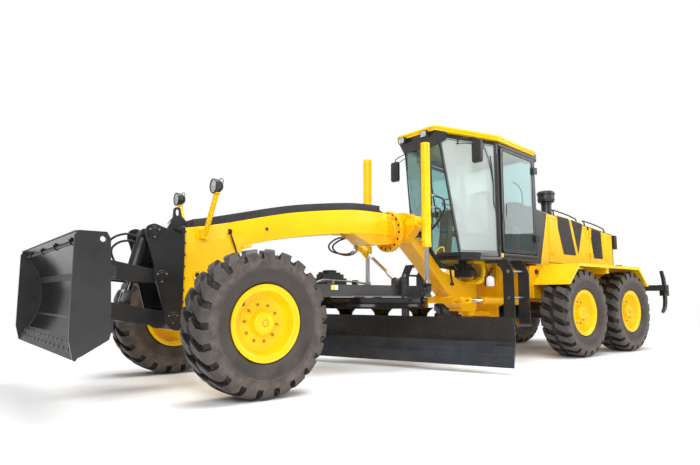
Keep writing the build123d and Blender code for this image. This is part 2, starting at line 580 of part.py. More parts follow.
DOOR_T = 36.0
DOOR_RAIL = 55.0
DOOR_GAP_X = POST / 2 + MOVE_GAP
for side_name, side in SIDES:
    with BuildPart() as cab_door:
        front_x, rear_x = CAB_PILLAR_X - DOOR_GAP_X, CAB_REAR_X + DOOR_GAP_X
        low_z = CAB_FLOOR_Z + POST + MOVE_GAP
        high_front, high_rear = [top_rail_z(x) - POST / 2 - MOVE_GAP for x in (front_x, rear_x)]
        y_low, y_high = sorted((side * (CAB_PILLAR_HALF - DOOR_T - 2), side * (CAB_PILLAR_HALF - 2)))
        side_plate([(rear_x, low_z), (front_x, low_z), (front_x, high_front), (rear_x, high_rear)],
                   y_low, y_high)
        side_plate([(rear_x + DOOR_RAIL, low_z + DOOR_RAIL), (front_x - DOOR_RAIL, low_z + DOOR_RAIL),
                    (front_x - DOOR_RAIL, high_front - DOOR_RAIL), (rear_x + DOOR_RAIL, high_rear - DOOR_RAIL)],
                   y_low - 1, y_high + 1, mode=Mode.SUBTRACT)
        middle_y = (y_low + y_high) / 2
        side_plate([(rear_x + 20, low_z + 20), (front_x - 20, low_z + 20), (front_x - 20, high_front - 20),
                    (rear_x + 20, high_rear - 20)], middle_y - GLASS_T / 2, middle_y + GLASS_T / 2)
        for hinge_z in CAB_HINGE_Z:
            rod((CAB_REAR_X, side * CAB_HINGE_Y, hinge_z), (CAB_REAR_X, side * CAB_HINGE_Y, hinge_z + 110), 16)
            block((CAB_REAR_X, rear_x + 40), sorted((side * (CAB_PILLAR_HALF + 2), side * (CAB_PILLAR_HALF + 30))),
                  (hinge_z, hinge_z + 110))
            block((rear_x, rear_x + 40), sorted((side * (CAB_PILLAR_HALF - 10), side * (CAB_PILLAR_HALF + 30))),
                  (hinge_z, hinge_z + 110))
    finish(cab_door, f"cab_door_{side_name}")

with BuildPart() as operator_station:
    block((-980, -620), (-130, 130), (CAB_FLOOR_Z + SEAT_GAP, 1860))
    block((-1010, -500), (-250, 250), (1850, 1990))
    side_plate([(-1010, 1960), (-900, 1960), (-960, 2640), (-1060, 2640)], -235, 235)
    block((-980, -560), (250, 330), (2060, 2130))
    block((-980, -560), (-330, -250), (2060, 2130))
    block((-960, -900), (-330, 330), (1990, 2130))
    side_plate([(-150, CAB_FLOOR_Z + SEAT_GAP), (10, CAB_FLOOR_Z + SEAT_GAP), (-120, 2230), (-230, 2230)],
               -90, 90)
    block((-300, -150), (-300, 300), (2150, 2260))
    with BuildSketch(Plane(origin=(-330, 0, 2330), z_dir=(-0.5, 0, 1))) as wheel_ring:
        Circle(190)
        Circle(165, mode=Mode.SUBTRACT)
    extrude(wheel_ring.sketch, amount=15, both=True)
    with BuildSketch(Plane(origin=(-330, 0, 2330), z_dir=(-0.5, 0, 1))) as wheel_spoke:
        Rectangle(40, 350)
        Circle(45)
    extrude(wheel_spoke.sketch, amount=10, both=True)
    rod((-330, 0, 2330), (-250, 0, 2170), 30)
finish(operator_station, "operator_station")

LADDER_X = (-620.0, -260.0)
LADDER_LOW = 500.0
with BuildPart() as access_ladders:
    for plate_x in LADDER_X:
        cross_plate([(930, LADDER_LOW), (1110, LADDER_LOW), (1110, 1250), (1010, 1438), (640, 1438), (640, 1385),
                     (850, 1385), (930, 1250)], plate_x - 6, plate_x + 6)
    block((LADDER_X[0], LADDER_X[1]), (900, 1130), (LADDER_LOW, LADDER_LOW + 30))
    for rung_z in (830.0, 1140.0):
        rod((LADDER_X[0], 1020, rung_z), (LADDER_X[1], 1020, rung_z), 18)
    block((LADDER_X[0], LADDER_X[1]), (640, 850), (1395, 1438))
    block((-1000, LADDER_X[0]), (640, 700), (1385, 1438))
    block((-1000, -940), (RAIL_OUT, 700), (1385, 1438))
    mirror(about=Plane.XZ)
finish(access_ladders, "access_ladders")

MIRROR_X, MIRROR_Y, MIRROR_Z = 120.0, 839.0, 2954.0
MIRROR_ARM_R = 14.0
MIRROR_ARM_Z = roof_under_z(MIRROR_X) - MIRROR_ARM_R - SEAT_GAP - 0.05
with BuildPart() as cab_fittings:
    for side in (1, -1):
        block((MIRROR_X - 35, MIRROR_X + 35), sorted((side * (MIRROR_Y - 85), side * (MIRROR_Y + 85))),
              (MIRROR_Z - 170, MIRROR_Z + 170))
        rod((MIRROR_X, side * MIRROR_Y, MIRROR_Z), (MIRROR_X, side * MIRROR_Y, MIRROR_ARM_Z), MIRROR_ARM_R)
        rod((MIRROR_X, side * (MIRROR_Y + MIRROR_ARM_R), MIRROR_ARM_Z), (MIRROR_X, side * 515, MIRROR_ARM_Z), MIRROR_ARM_R)
        block((ROOF_FRONT[0] + SEAT_GAP, ROOF_FRONT[0] + 90), sorted((side * 170, side * 300)), (3255, 3365))
    block((ROOF_REAR_X - 90, ROOF_REAR_X - SEAT_GAP), (480, 700), (3090, 3220))
finish(cab_fittings, "cab_fittings")

# ---------------------------------------------------------------- front frame
BEAM_TOP = [(NOSE_FRONT_X, 1598), (3741, 1706), (2969, 1853), (2502, 1941), (1823, 2029), (1337, 2028),
            (SADDLE_FRONT_X, 2010)]
BEAM_UNDER = [(SADDLE_FRONT_X, 1580), (1989, 1518), (2972, 1548), (3328, 1460)]
GOOSENECK_BACK = [(860.0, 2000.0), (448.0, 1603.0), (121.0, 1286.0), (-330.0, 1142.0)]
GOOSENECK_FRONT = [(-330.0, 698.0), (-200.0, 620.0), (60.0, 700.0), (129.0, 934.0), (542.0, 1386.0), (860.0, 1660.0)]
ARCH_X = (3617.0, 3785.0)
ARCH_TOP = 1000.0
HANGER_REAR_X = 3555.0
HANGER_TOP = 1742.0
HITCH_PIN_R = 35.0
AXLE_PIVOT_Z = 640.0
AXLE_PIVOT_R = 45.0
with BuildPart() as front_frame:
    side_plate(BEAM_TOP + BEAM_UNDER + [(HANGER_REAR_X - 75, ARCH_TOP + 250), (HANGER_REAR_X, ARCH_TOP),
                                        (NOSE_FRONT_X, ARCH_TOP)], -BEAM_HALF, BEAM_HALF)
    side_plate([(NOSE_FRONT_X, NOSE_LOW), BEAM_TOP[0], BEAM_TOP[1], (HANGER_REAR_X, HANGER_TOP),
                (HANGER_REAR_X, NOSE_LOW), (ARCH_X[0], NOSE_LOW), (ARCH_X[0], ARCH_TOP), (ARCH_X[1], ARCH_TOP),
                (ARCH_X[1], NOSE_LOW)], -BEAM_NOSE_HALF, BEAM_NOSE_HALF)
    rod((HANGER_REAR_X, 0, AXLE_PIVOT_Z), (ARCH_X[1] + 20, 0, AXLE_PIVOT_Z), AXLE_PIVOT_R)
    for ear_y in (-95.0, 66.0):
        block((DRAWBAR_HINGE_X, HANGER_REAR_X + 10), (ear_y, ear_y + 29), (DRAWBAR_Z - 62, DRAWBAR_Z + 62))
        rod((DRAWBAR_HINGE_X, ear_y, DRAWBAR_Z), (DRAWBAR_HINGE_X, ear_y + 29, DRAWBAR_Z), 62)
    rod((DRAWBAR_HINGE_X, -100, DRAWBAR_Z), (DRAWBAR_HINGE_X, 100, DRAWBAR_Z), HITCH_PIN_R)
    # bolted flange, saddle ring and saddle arms
    block((SADDLE_FRONT_X - 30, SADDLE_FRONT_X + 30), (-BEAM_HALF - 40, BEAM_HALF + 40), (1560, 2030))
    rod((1010, 0, 1810), (1090, 0, 1810), 285)
    rod((960, 0, 1810), (1150, 0, 1810), 200)
    cross_plate([(-470, 1862), (-470, 1956), (-250, 2060), (250, 2060), (470, 1956), (470, 1862), (230, 1640),
                 (-230, 1640)], 850, 1010)
    for side in (1, -1):
        rod((LIFT_X, side * 430, LIFT_PIVOT_Z), (LIFT_X, side * (LIFT_Y - LIFT_BARREL_R - 42), LIFT_PIVOT_Z), 62)
        rod((LIFT_X, side * 430, LIFT_PIVOT_Z), (LIFT_X, side * (LIFT_Y - LIFT_BARREL_R - 6), LIFT_PIVOT_Z),
            LIFT_TRUNNION_R)
    # notch that the swing cylinder's rod passes through
    block((SWING_X - 53, SWING_X + 53), (-BEAM_HALF - 1, -60), (1500, 1665), mode=Mode.SUBTRACT)
    # swing cylinder's anchor on the right of the saddle
    bar((1120, -200, 1800), (1120, SWING_TOP[0], SWING_TOP[1]), 90, 90)
    rod((1080, *SWING_TOP), (SWING_X - 36, *SWING_TOP), 50)
    rod((1100, *SWING_TOP), (SWING_X + 45, *SWING_TOP), 25)
    # rear of the gooseneck, down to the articulation
    side_plate([(SADDLE_FRONT_X, BEAM_TOP[-1][1] - 20), *GOOSENECK_BACK, *GOOSENECK_FRONT, BEAM_UNDER[0]],
               -BEAM_HALF, BEAM_HALF)
    block((ARTIC_X, GOOSENECK_BACK[-1][0] + 10), (-ARTIC_BOSS_R + 5, ARTIC_BOSS_R - 5), (ARTIC_LOW, ARTIC_HIGH))
    rod((ARTIC_X, 0, ARTIC_LOW), (ARTIC_X, 0, ARTIC_HIGH), ARTIC_BOSS_R)
    rod((ARTIC_X, 0, ARTIC_LOW - 1), (ARTIC_X, 0, ARTIC_HIGH + 1), ARTIC_PIN_R + RUN_FIT, mode=Mode.SUBTRACT)
    for side in (1, -1):
        block((110, 260), sorted((side * (BEAM_HALF - 20), side * 450)), (STEER_CYL_Z - 40, STEER_CYL_Z + 40))
        block((STEER_CYL_FRONT_X - 60, STEER_CYL_FRONT_X + 60), sorted((side * 440, side * STEER_CYL_Y)),
              (STEER_CYL_Z - 12, STEER_CYL_Z + 12))
        rod((STEER_CYL_FRONT_X, side * STEER_CYL_Y, STEER_CYL_Z - 12),
            (STEER_CYL_FRONT_X, side * STEER_CYL_Y, STEER_CYL_Z + 12), 60)
finish(front_frame, "front_frame")

with BuildPart() as beam_cover:
    COVER_LINE = BEAM_TOP[2:6]
    side_plate([(x, z) for x, z in COVER_LINE] + [(x, z + COVER_T) for x, z in reversed(COVER_LINE)],
               -BEAM_HALF + 8, BEAM_HALF - 8)
finish(beam_cover, "beam_cover")

# ---------------------------------------------------------------- front axle, leaning and steering
LEAN_Y, LEAN_Z = 800.0, 500.0
LEAN_PIN_R = 30.0
LEAN_BAR_Z = 900.0
KINGPIN_R = 35.0
SLEEVE_LOW, SLEEVE_HIGH = 602.0, 778.0
with BuildPart() as front_axle:
    cross_plate([(-650, 430), (-650, 550), (-540, 630), (-200, 730), (200, 730), (540, 630), (650, 550),
                 (650, 430), (560, 430), (200, 545), (-200, 545), (-560, 430)],
                FRONT_AXLE_X - 72, FRONT_AXLE_X + 72)
    rod((FRONT_AXLE_X - 75, 0, AXLE_PIVOT_Z), (FRONT_AXLE_X + 75, 0, AXLE_PIVOT_Z),
        AXLE_PIVOT_R + RUN_FIT, mode=Mode.SUBTRACT)
    for side in (1, -1):
        for ear_x in (FRONT_AXLE_X - 92, FRONT_AXLE_X + 62):
            block((ear_x, ear_x + 30), sorted((side * 570, side * LEAN_Y)), (LEAN_Z - 55, LEAN_Z + 45))
            rod((ear_x, side * LEAN_Y, LEAN_Z), (ear_x + 30, side * LEAN_Y, LEAN_Z), 55)
        rod((FRONT_AXLE_X - 96, side * LEAN_Y, LEAN_Z), (FRONT_AXLE_X + 96, side * LEAN_Y, LEAN_Z), LEAN_PIN_R)
finish(front_axle, "front_axle")

for side_name, side in SIDES:
    y = side * LEAN_Y
    with BuildPart() as lean_bracket:
        rod((FRONT_AXLE_X - 56, y, LEAN_Z), (FRONT_AXLE_X + 56, y, LEAN_Z), 52)
        block((FRONT_AXLE_X - 50, FRONT_AXLE_X + 50), sorted((y - 50, y + 50)), (LEAN_Z + 20, SLEEVE_LOW - 2))
        for arm_z in (SLEEVE_LOW - 32, SLEEVE_HIGH + 2):
            block((FRONT_AXLE_X - 50, FRONT_AXLE_X + 50), sorted((side * 694, side * (LEAN_Y + 50))),
                  (arm_z, arm_z + 30))
        block((FRONT_AXLE_X - 50, FRONT_AXLE_X + 50), sorted((side * 694, side * 734)), (SLEEVE_LOW - 32, SLEEVE_HIGH + 32))
        rod((FRONT_AXLE_X, y, SLEEVE_LOW - 20), (FRONT_AXLE_X, y, SLEEVE_HIGH + 20), KINGPIN_R)
        block((FRONT_AXLE_X - 14, FRONT_AXLE_X + 18), (y - 38, y + 38), (SLEEVE_HIGH + 20, LEAN_BAR_Z))
        rod((FRONT_AXLE_X - 14, y, LEAN_BAR_Z), (FRONT_AXLE_X + 18, y, LEAN_BAR_Z), 38)
        rod((FRONT_AXLE_X, y, LEAN_BAR_Z), (FRONT_AXLE_X + 58, y, LEAN_BAR_Z), 20)
        rod((FRONT_AXLE_X - 57, y, LEAN_Z), (FRONT_AXLE_X + 57, y, LEAN_Z), LEAN_PIN_R + RUN_FIT, mode=Mode.SUBTRACT)
    finish(lean_bracket, f"lean_bracket_{side_name}")
    with BuildPart() as knuckle:
        rod((FRONT_AXLE_X, y, SLEEVE_LOW), (FRONT_AXLE_X, y, SLEEVE_HIGH), 58)
        rod((FRONT_AXLE_X, y, AXLE_Z), (FRONT_AXLE_X, side * (WHEEL_Y + HUB_IN - MOVE_GAP), AXLE_Z), 66)
        rod((FRONT_AXLE_X, y, AXLE_Z), (FRONT_AXLE_X, side * SPINDLE_END, AXLE_Z), SPINDLE_R)
        rod((FRONT_AXLE_X, y, SLEEVE_LOW - 1), (FRONT_AXLE_X, y, SLEEVE_HIGH + 1), KINGPIN_R + RUN_FIT, mode=Mode.SUBTRACT)
        block((FRONT_AXLE_X - 90, FRONT_AXLE_X + 90), sorted((side * 700, side * 739)), (SLEEVE_LOW - 10, SLEEVE_HIGH + 10),
              mode=Mode.SUBTRACT)
    finish(knuckle, f"knuckle_{side_name}")

with BuildPart() as lean_bar:
    block((FRONT_AXLE_X + 24, FRONT_AXLE_X + 54), (-LEAN_Y, LEAN_Y), (LEAN_BAR_Z - 26, LEAN_BAR_Z + 26))
    for y, clearance in ((LEAN_Y, RUN_FIT), (-LEAN_Y, 1.0)):
        rod((FRONT_AXLE_X + 24, y, LEAN_BAR_Z), (FRONT_AXLE_X + 54, y, LEAN_BAR_Z), 38)
    for y, clearance in ((LEAN_Y, RUN_FIT), (-LEAN_Y, 1.0)):
        rod((FRONT_AXLE_X + 23, y, LEAN_BAR_Z), (FRONT_AXLE_X + 55, y, LEAN_BAR_Z), 20 + clearance, mode=Mode.SUBTRACT)
finish(lean_bar, "lean_bar")

# ---------------------------------------------------------------- headlamps
with BuildPart() as headlamps:
    for side in (1, -1):
        block((3840, 3920), sorted((side * (BEAM_NOSE_HALF + SEAT_GAP), side * 290)), (1560, 1660))
        rod((3880, side * 280, 1640), (3868, side * 492, 1950), 26)
        rod((3868, side * 492, 1940), (3868, side * 492, 2010), 20)
        rod((3830, side * 492, 2025), (3925, side * 492, 2025), 78)
finish(headlamps, "headlamps")

# ---------------------------------------------------------------- lift cylinders
EYE_Z = 1000.0
with BuildPart() as lift_barrels:
    for side in (1, -1):
        y = side * LIFT_Y
        rod((LIFT_X, y, LIFT_LOW_Z), (LIFT_X, y, LIFT_TOP_Z), LIFT_BARREL_R)
        rod((LIFT_X, y, LIFT_LOW_Z - 20), (LIFT_X, y, LIFT_LOW_Z + 40), LIFT_BARREL_R + 4)
        rod((LIFT_X, y, LIFT_PIVOT_Z - 65), (LIFT_X, y, LIFT_PIVOT_Z + 65), LIFT_BARREL_R + 14)
        rod((LIFT_X, side * (LIFT_Y - LIFT_BARREL_R - 36), LIFT_PIVOT_Z), (LIFT_X, side * (LIFT_Y - 40), LIFT_PIVOT_Z), 52)
        rod((LIFT_X, side * (LIFT_Y - LIFT_BARREL_R - 37), LIFT_PIVOT_Z),
            (LIFT_X, side * (LIFT_Y - LIFT_BARREL_R - 4), LIFT_PIVOT_Z), LIFT_TRUNNION_R + RUN_FIT, mode=Mode.SUBTRACT)
        rod((LIFT_X, y, LIFT_LOW_Z - 21), (LIFT_X, y, LIFT_TOP_Z - 30), LIFT_ROD_R + RUN_FIT, mode=Mode.SUBTRACT)
finish(lift_barrels, "lift_barrels")

with BuildPart() as lift_rods:
    for side in (1, -1):
        y = side * LIFT_Y
        rod((LIFT_X, y, EYE_Z + 60), (LIFT_X, y, LIFT_LOW_Z + 860), LIFT_ROD_R)
        for cheek_y in (y - 41, y + 26):
            block((LIFT_X - 42, LIFT_X + 42), (cheek_y, cheek_y + 15), (EYE_Z, EYE_Z + 75))
            rod((LIFT_X, cheek_y, EYE_Z), (LIFT_X, cheek_y + 15, EYE_Z), 42)
        block((LIFT_X - 42, LIFT_X + 42), (y - 41, y + 41), (EYE_Z + 55, EYE_Z + 85))
finish(lift_rods, "lift_rods")

# ---------------------------------------------------------------- drawbar, circle, moldboard
SHOE_X = (884.0, 1956.0)
with BuildPart() as drawbar:
    for side in (1, -1):
        outer, inner = side * (DRAWBAR_HALF + DRAWBAR_BEAM_W / 2), side * (DRAWBAR_HALF - DRAWBAR_BEAM_W / 2)
        flat_plate([(DRAWBAR_HINGE_X - 30, 0), (DRAWBAR_HINGE_X - 30, side * 60), (3200, side * 60),
                    (2450, outer), (860, outer),
                    (860, inner), (2420, inner), (3060, 0)], DRAWBAR_LOW, DRAWBAR_TOP)
        block((860, 1000), sorted((0, side * 520)), (DRAWBAR_LOW, DRAWBAR_TOP))
        block((LIFT_X - 60, LIFT_X + 60), sorted((side * 500, side * (LIFT_Y + 20))), (DRAWBAR_LOW, EYE_Z - 62))
        block((LIFT_X - 42, LIFT_X + 42), sorted((side * (LIFT_Y - 20), side * (LIFT_Y + 20))), (EYE_Z - 64, EYE_Z))
        rod((LIFT_X, side * (LIFT_Y - 20), EYE_Z), (LIFT_X, side * (LIFT_Y + 20), EYE_Z), 42)
        # shoes that carry the circle's ring
        for shoe_x in (960.0, 1880.0):
            block((shoe_x - 45, shoe_x + 45), sorted((side * 305, side * 400)), (CIRCLE_TOP + SEAT_GAP, DRAWBAR_LOW + 2))
    block((1850, 2250), (-DRAWBAR_HALF, DRAWBAR_HALF), (DRAWBAR_TOP - 90, DRAWBAR_TOP))
    block((1960, 2200), (-110, 110), (DRAWBAR_TOP - 5, 1130))
    rod((2080, 0, 1120), (2080, 0, 1222), 80)
    block((SWING_X - 65, SWING_X + 38), (280, 420), (DRAWBAR_TOP - 50, DRAWBAR_TOP + 1), mode=Mode.SUBTRACT)
    block((SWING_X + 38, SWING_X + 68), (SWING_LOW[0] - 60, SWING_LOW[0] + 20), (DRAWBAR_TOP - 20, SWING_LOW[1] + 45))
    rod((SWING_X + 32, *SWING_LOW), (SWING_X + 68, *SWING_LOW), 42)
    rod((DRAWBAR_HINGE_X, -60, DRAWBAR_Z), (DRAWBAR_HINGE_X, 60, DRAWBAR_Z), 62)
    rod((DRAWBAR_HINGE_X, -61, DRAWBAR_Z), (DRAWBAR_HINGE_X, 61, DRAWBAR_Z), HITCH_PIN_R + RUN_FIT, mode=Mode.SUBTRACT)
finish(drawbar, "drawbar")

BLADE_PLACE = Location((CIRCLE_X, 0, 0), (0, 0, BLADE_ANGLE))
ARM_Y = 560.0
ARM_T = 30.0
TIP_PIN_R = 30.0
with BuildPart() as circle:
    with BuildSketch(Plane.XY.offset(CIRCLE_LOW)):
        Circle(CIRCLE_R)
        Circle(CIRCLE_R - CIRCLE_WALL, mode=Mode.SUBTRACT)
    extrude(amount=CIRCLE_TOP - CIRCLE_LOW)
    for side in (1, -1):
        low_y, high_y = sorted((side * ARM_Y, side * (ARM_Y + ARM_T)))
        side_plate([(-520, CIRCLE_LOW + 5), (-345, CIRCLE_LOW + 5), (TIP_X + 18, TIP_Z + 245),
                    (TIP_X + 62, TIP_Z + 70), (TIP_X + 62, TIP_Z),
                    (TIP_X - 62, TIP_Z), (TIP_X - 62, TIP_Z + 150)], low_y, high_y)
        rod((TIP_X, low_y, TIP_Z), (TIP_X, high_y, TIP_Z), 62)
        rod((TIP_X, side * (ARM_Y - 52), TIP_Z), (TIP_X, side * (ARM_Y + ARM_T + 8), TIP_Z), TIP_PIN_R)
finish(circle, "circle", BLADE_PLACE)

RAILS_Z = (235.0, 540.0)
RAIL_X = -242.0
RAIL_HALF = 20.0
RAIL_DEEP = 25.0
with BuildPart() as blade_carrier:
    for side in (1, -1):
        low_y, high_y = sorted((side * (ARM_Y - 46), side * (ARM_Y - 6)))
        side_plate([(TIP_X - 55, TIP_Z), (TIP_X - 40, TIP_Z + 300), (-290, 610), (-200, 610), (-200, 480), (-275, 470),
                    (-275, 300), (-200, 295), (-200, 175), (TIP_X + 20, 175)], low_y, high_y)
        rod((TIP_X, low_y, TIP_Z), (TIP_X, high_y, TIP_Z), 58)
        for rail_z in RAILS_Z:
            block((RAIL_X - RAIL_HALF - SEAT_GAP, RAIL_X + RAIL_HALF + SEAT_GAP), (low_y - 1, high_y + 1),
                  (rail_z - RAIL_DEEP - SEAT_GAP, rail_z + RAIL_DEEP + SEAT_GAP), mode=Mode.SUBTRACT)
            block((RAIL_X + RAIL_HALF, -199), (low_y - 1, high_y + 1), (rail_z - 10, rail_z + 10), mode=Mode.SUBTRACT)
        rod((TIP_X, low_y - 1, TIP_Z), (TIP_X, high_y + 1, TIP_Z), TIP_PIN_R + RUN_FIT, mode=Mode.SUBTRACT)
    block((-310, -285), (-ARM_Y + 20, ARM_Y - 20), (350, 430))
finish(blade_carrier, "blade_carrier", BLADE_PLACE)

EDGE_H = 150.0
with BuildPart() as moldboard:
    with BuildSketch(Plane.XZ.offset(-BLADE_SHIFT + BLADE_LENGTH / 2)):
        with BuildLine():
            ThreePointArc((-66, BLADE_TOP), (-155, 380), (-84, BLADE_LOW + 60))
            Line((-84, BLADE_LOW + 60), (-106, BLADE_LOW + 60))
            ThreePointArc((-106, BLADE_LOW + 60), (-155 - BLADE_T, 380), (-88, BLADE_TOP))
            Line((-88, BLADE_TOP), (-66, BLADE_TOP))
        make_face()
    extrude(amount=-BLADE_LENGTH)
    side_plate([(-66, BLADE_LOW), (-84, BLADE_LOW), (-120, BLADE_LOW + EDGE_H), (-100, BLADE_LOW + EDGE_H)],
               BLADE_SHIFT - BLADE_LENGTH / 2, BLADE_SHIFT + BLADE_LENGTH / 2)
    for rail_z in RAILS_Z:
        block((RAIL_X - RAIL_HALF, RAIL_X + RAIL_HALF), (BLADE_SHIFT - 1450, BLADE_SHIFT + 1450),
              (rail_z - RAIL_DEEP, rail_z + RAIL_DEEP))
        block((RAIL_X, -140), (BLADE_SHIFT - 1450, BLADE_SHIFT + 1450), (rail_z - 6, rail_z + 6))
finish(moldboard, "moldboard", BLADE_PLACE)

# ---------------------------------------------------------------- swing cylinder
SWING_START = Vector(SWING_X, *SWING_TOP)
SWING_END = Vector(SWING_X, *SWING_LOW)
SWING_WAY = (SWING_END - SWING_START).normalized()
SWING_LENGTH = (SWING_END - SWING_START).length


def along(start, way, distance):
    """A point some distance from start along a unit vector, as a plain tuple."""
    return tuple(start + way * distance)


with BuildPart() as swing_barrel:
    rod(along(SWING_START, SWING_WAY, 110), along(SWING_START, SWING_WAY, SWING_LENGTH * SWING_GLAND), 50)
    bar(along(SWING_START, SWING_WAY, 20), along(SWING_START, SWING_WAY, 120), 60, 80)
    eye(SWING_START, (1, 0, 0), 48, 60)
    eye(SWING_START, (1, 0, 0), 25 + RUN_FIT, 62, mode=Mode.SUBTRACT)
    rod(along(SWING_START, SWING_WAY, 135), along(SWING_START, SWING_WAY, SWING_LENGTH * SWING_GLAND + 1),
        25 + RUN_FIT, mode=Mode.SUBTRACT)
finish(swing_barrel, "swing_barrel")

with BuildPart() as swing_rod:
    rod(along(SWING_START, SWING_WAY, 285), along(SWING_START, SWING_WAY, SWING_LENGTH - 20), 25)
    eye(SWING_END, (1, 0, 0), 40, 50)
finish(swing_rod, "swing_rod")

# ---------------------------------------------------------------- articulation cylinders
for side_name, side in SIDES:
    y = side * STEER_CYL_Y
    z = STEER_CYL_Z
    with BuildPart() as artic_barrel:
        rod((STEER_CYL_REAR_X + 75, y, z), (-290, y, z), STEER_CYL_BARREL_R)
        block((STEER_CYL_REAR_X, STEER_CYL_REAR_X + 80), (y - 45, y + 45), (z - 31, z + 31))
        rod((-340, y, z), (-290, y, z), STEER_CYL_BARREL_R + 6)
        rod((STEER_CYL_REAR_X, y, z - 31), (STEER_CYL_REAR_X, y, z + 31), 52)
        rod((STEER_CYL_REAR_X, y, z - 32), (STEER_CYL_REAR_X, y, z + 32), 22 + RUN_FIT, mode=Mode.SUBTRACT)
        rod((STEER_CYL_REAR_X + 100, y, z), (-289, y, z), STEER_CYL_ROD_R + RUN_FIT, mode=Mode.SUBTRACT)
    finish(artic_barrel, f"artic_barrel_{side_name}")
    with BuildPart() as artic_rod:
        rod((-710, y, z), (STEER_CYL_FRONT_X - 105, y, z), STEER_CYL_ROD_R)
        for cheek_z in (z - 42, z + 18):
            block((STEER_CYL_FRONT_X - 130, STEER_CYL_FRONT_X), (y - 45, y + 45), (cheek_z, cheek_z + 24))
            rod((STEER_CYL_FRONT_X, y, cheek_z), (STEER_CYL_FRONT_X, y, cheek_z + 24), 45)
        block((STEER_CYL_FRONT_X - 135, STEER_CYL_FRONT_X - 100), (y - 45, y + 45), (z - 42, z + 42))
    finish(artic_rod, f"artic_rod_{side_name}")

# ---------------------------------------------------------------- front blade, its mount and cylinder
ARM_LOW_END = (ARM_LOW_PIVOT[0] + ARM_REACH[0], ARM_LOW_PIVOT[1] + ARM_REACH[1])
ARM_HIGH_END = (ARM_HIGH_PIVOT[0] + ARM_REACH[0], ARM_HIGH_PIVOT[1] + ARM_REACH[1])
ARM_IN, ARM_OUT = 195.0, 245.0
ARM_PIN_R = 35.0
FRONT_CYL_R = 60.0
FRONT_ROD_R = 30.0
LIFT_EYE_R = 32.0
LIFT_EYE_PLATE = [(100, 0), (90, 36), (25, 86), (20, 226), (-50, 235), (-70, 116), (-125, 86), (-130, 36), (0, -9)]
END_HOLE_R = 22.0


def cross_pin(point, radius, y_low, y_high, mode=Mode.ADD):
    """A pin across the machine at a point given in X and Z."""
    rod((point[0], y_low, point[1]), (point[0], y_high, point[1]), radius, mode)


with BuildPart() as dozer_mount:
    block((NOSE_FRONT_X, NOSE_FRONT_X + 28), (-MOUNT_HALF, MOUNT_HALF), MOUNT_Z)
    for side in (1, -1):
        low_y, high_y = sorted((side * (MOUNT_HALF - MOUNT_PLATE_T), side * MOUNT_HALF))
        side_plate([(NOSE_FRONT_X + 12, MOUNT_Z[0]), (NOSE_FRONT_X + 12, MOUNT_Z[1]),
                    (CYL_HIGH_PIN[0] - 59, MOUNT_Z[1] - 6), (CYL_HIGH_PIN[0], CYL_HIGH_PIN[1] + 88),
                    (CYL_HIGH_PIN[0] + 71, CYL_HIGH_PIN[1] + 60), (CYL_HIGH_PIN[0] + 91, CYL_HIGH_PIN[1] - 10),
                    (CYL_HIGH_PIN[0] + 51, CYL_HIGH_PIN[1] - 110), (ARM_HIGH_PIVOT[0] + 75, ARM_HIGH_PIVOT[1] + 80),
                    (ARM_HIGH_PIVOT[0] + 80, ARM_HIGH_PIVOT[1] - 10), (ARM_HIGH_PIVOT[0] + 40, ARM_HIGH_PIVOT[1] - 80),
                    (ARM_LOW_PIVOT[0] + 76, ARM_LOW_PIVOT[1] + 2), (ARM_LOW_PIVOT[0] + 56, ARM_LOW_PIVOT[1] - 78),
                    (ARM_LOW_PIVOT[0] - 14, MOUNT_Z[0])], low_y, high_y)
    for pin in (ARM_LOW_PIVOT, ARM_HIGH_PIVOT, CYL_HIGH_PIN):
        cross_pin(pin, ARM_PIN_R, -MOUNT_HALF - 14, MOUNT_HALF + 14)
    for side in (1, -1):
        low_y, high_y = sorted((side * 62, side * 90))
        side_plate([(NOSE_FRONT_X + 12, CYL_HIGH_PIN[1] - 130), (NOSE_FRONT_X + 12, CYL_HIGH_PIN[1] + 70),
                    (CYL_HIGH_PIN[0], CYL_HIGH_PIN[1] + 70), (CYL_HIGH_PIN[0] + 61, CYL_HIGH_PIN[1]),
                    (CYL_HIGH_PIN[0], CYL_HIGH_PIN[1] - 70), (CYL_HIGH_PIN[0] - 109, CYL_HIGH_PIN[1] - 100)],
                   low_y, high_y)
    side_plate([(NOSE_FRONT_X + ahead, MOUNT_Z[1] + above) for ahead, above in LIFT_EYE_PLATE], -15, 15)
    cross_pin((NOSE_FRONT_X - 25, MOUNT_Z[1] + 166), LIFT_EYE_R, -16, 16, mode=Mode.SUBTRACT)
finish(dozer_mount, "dozer_mount")

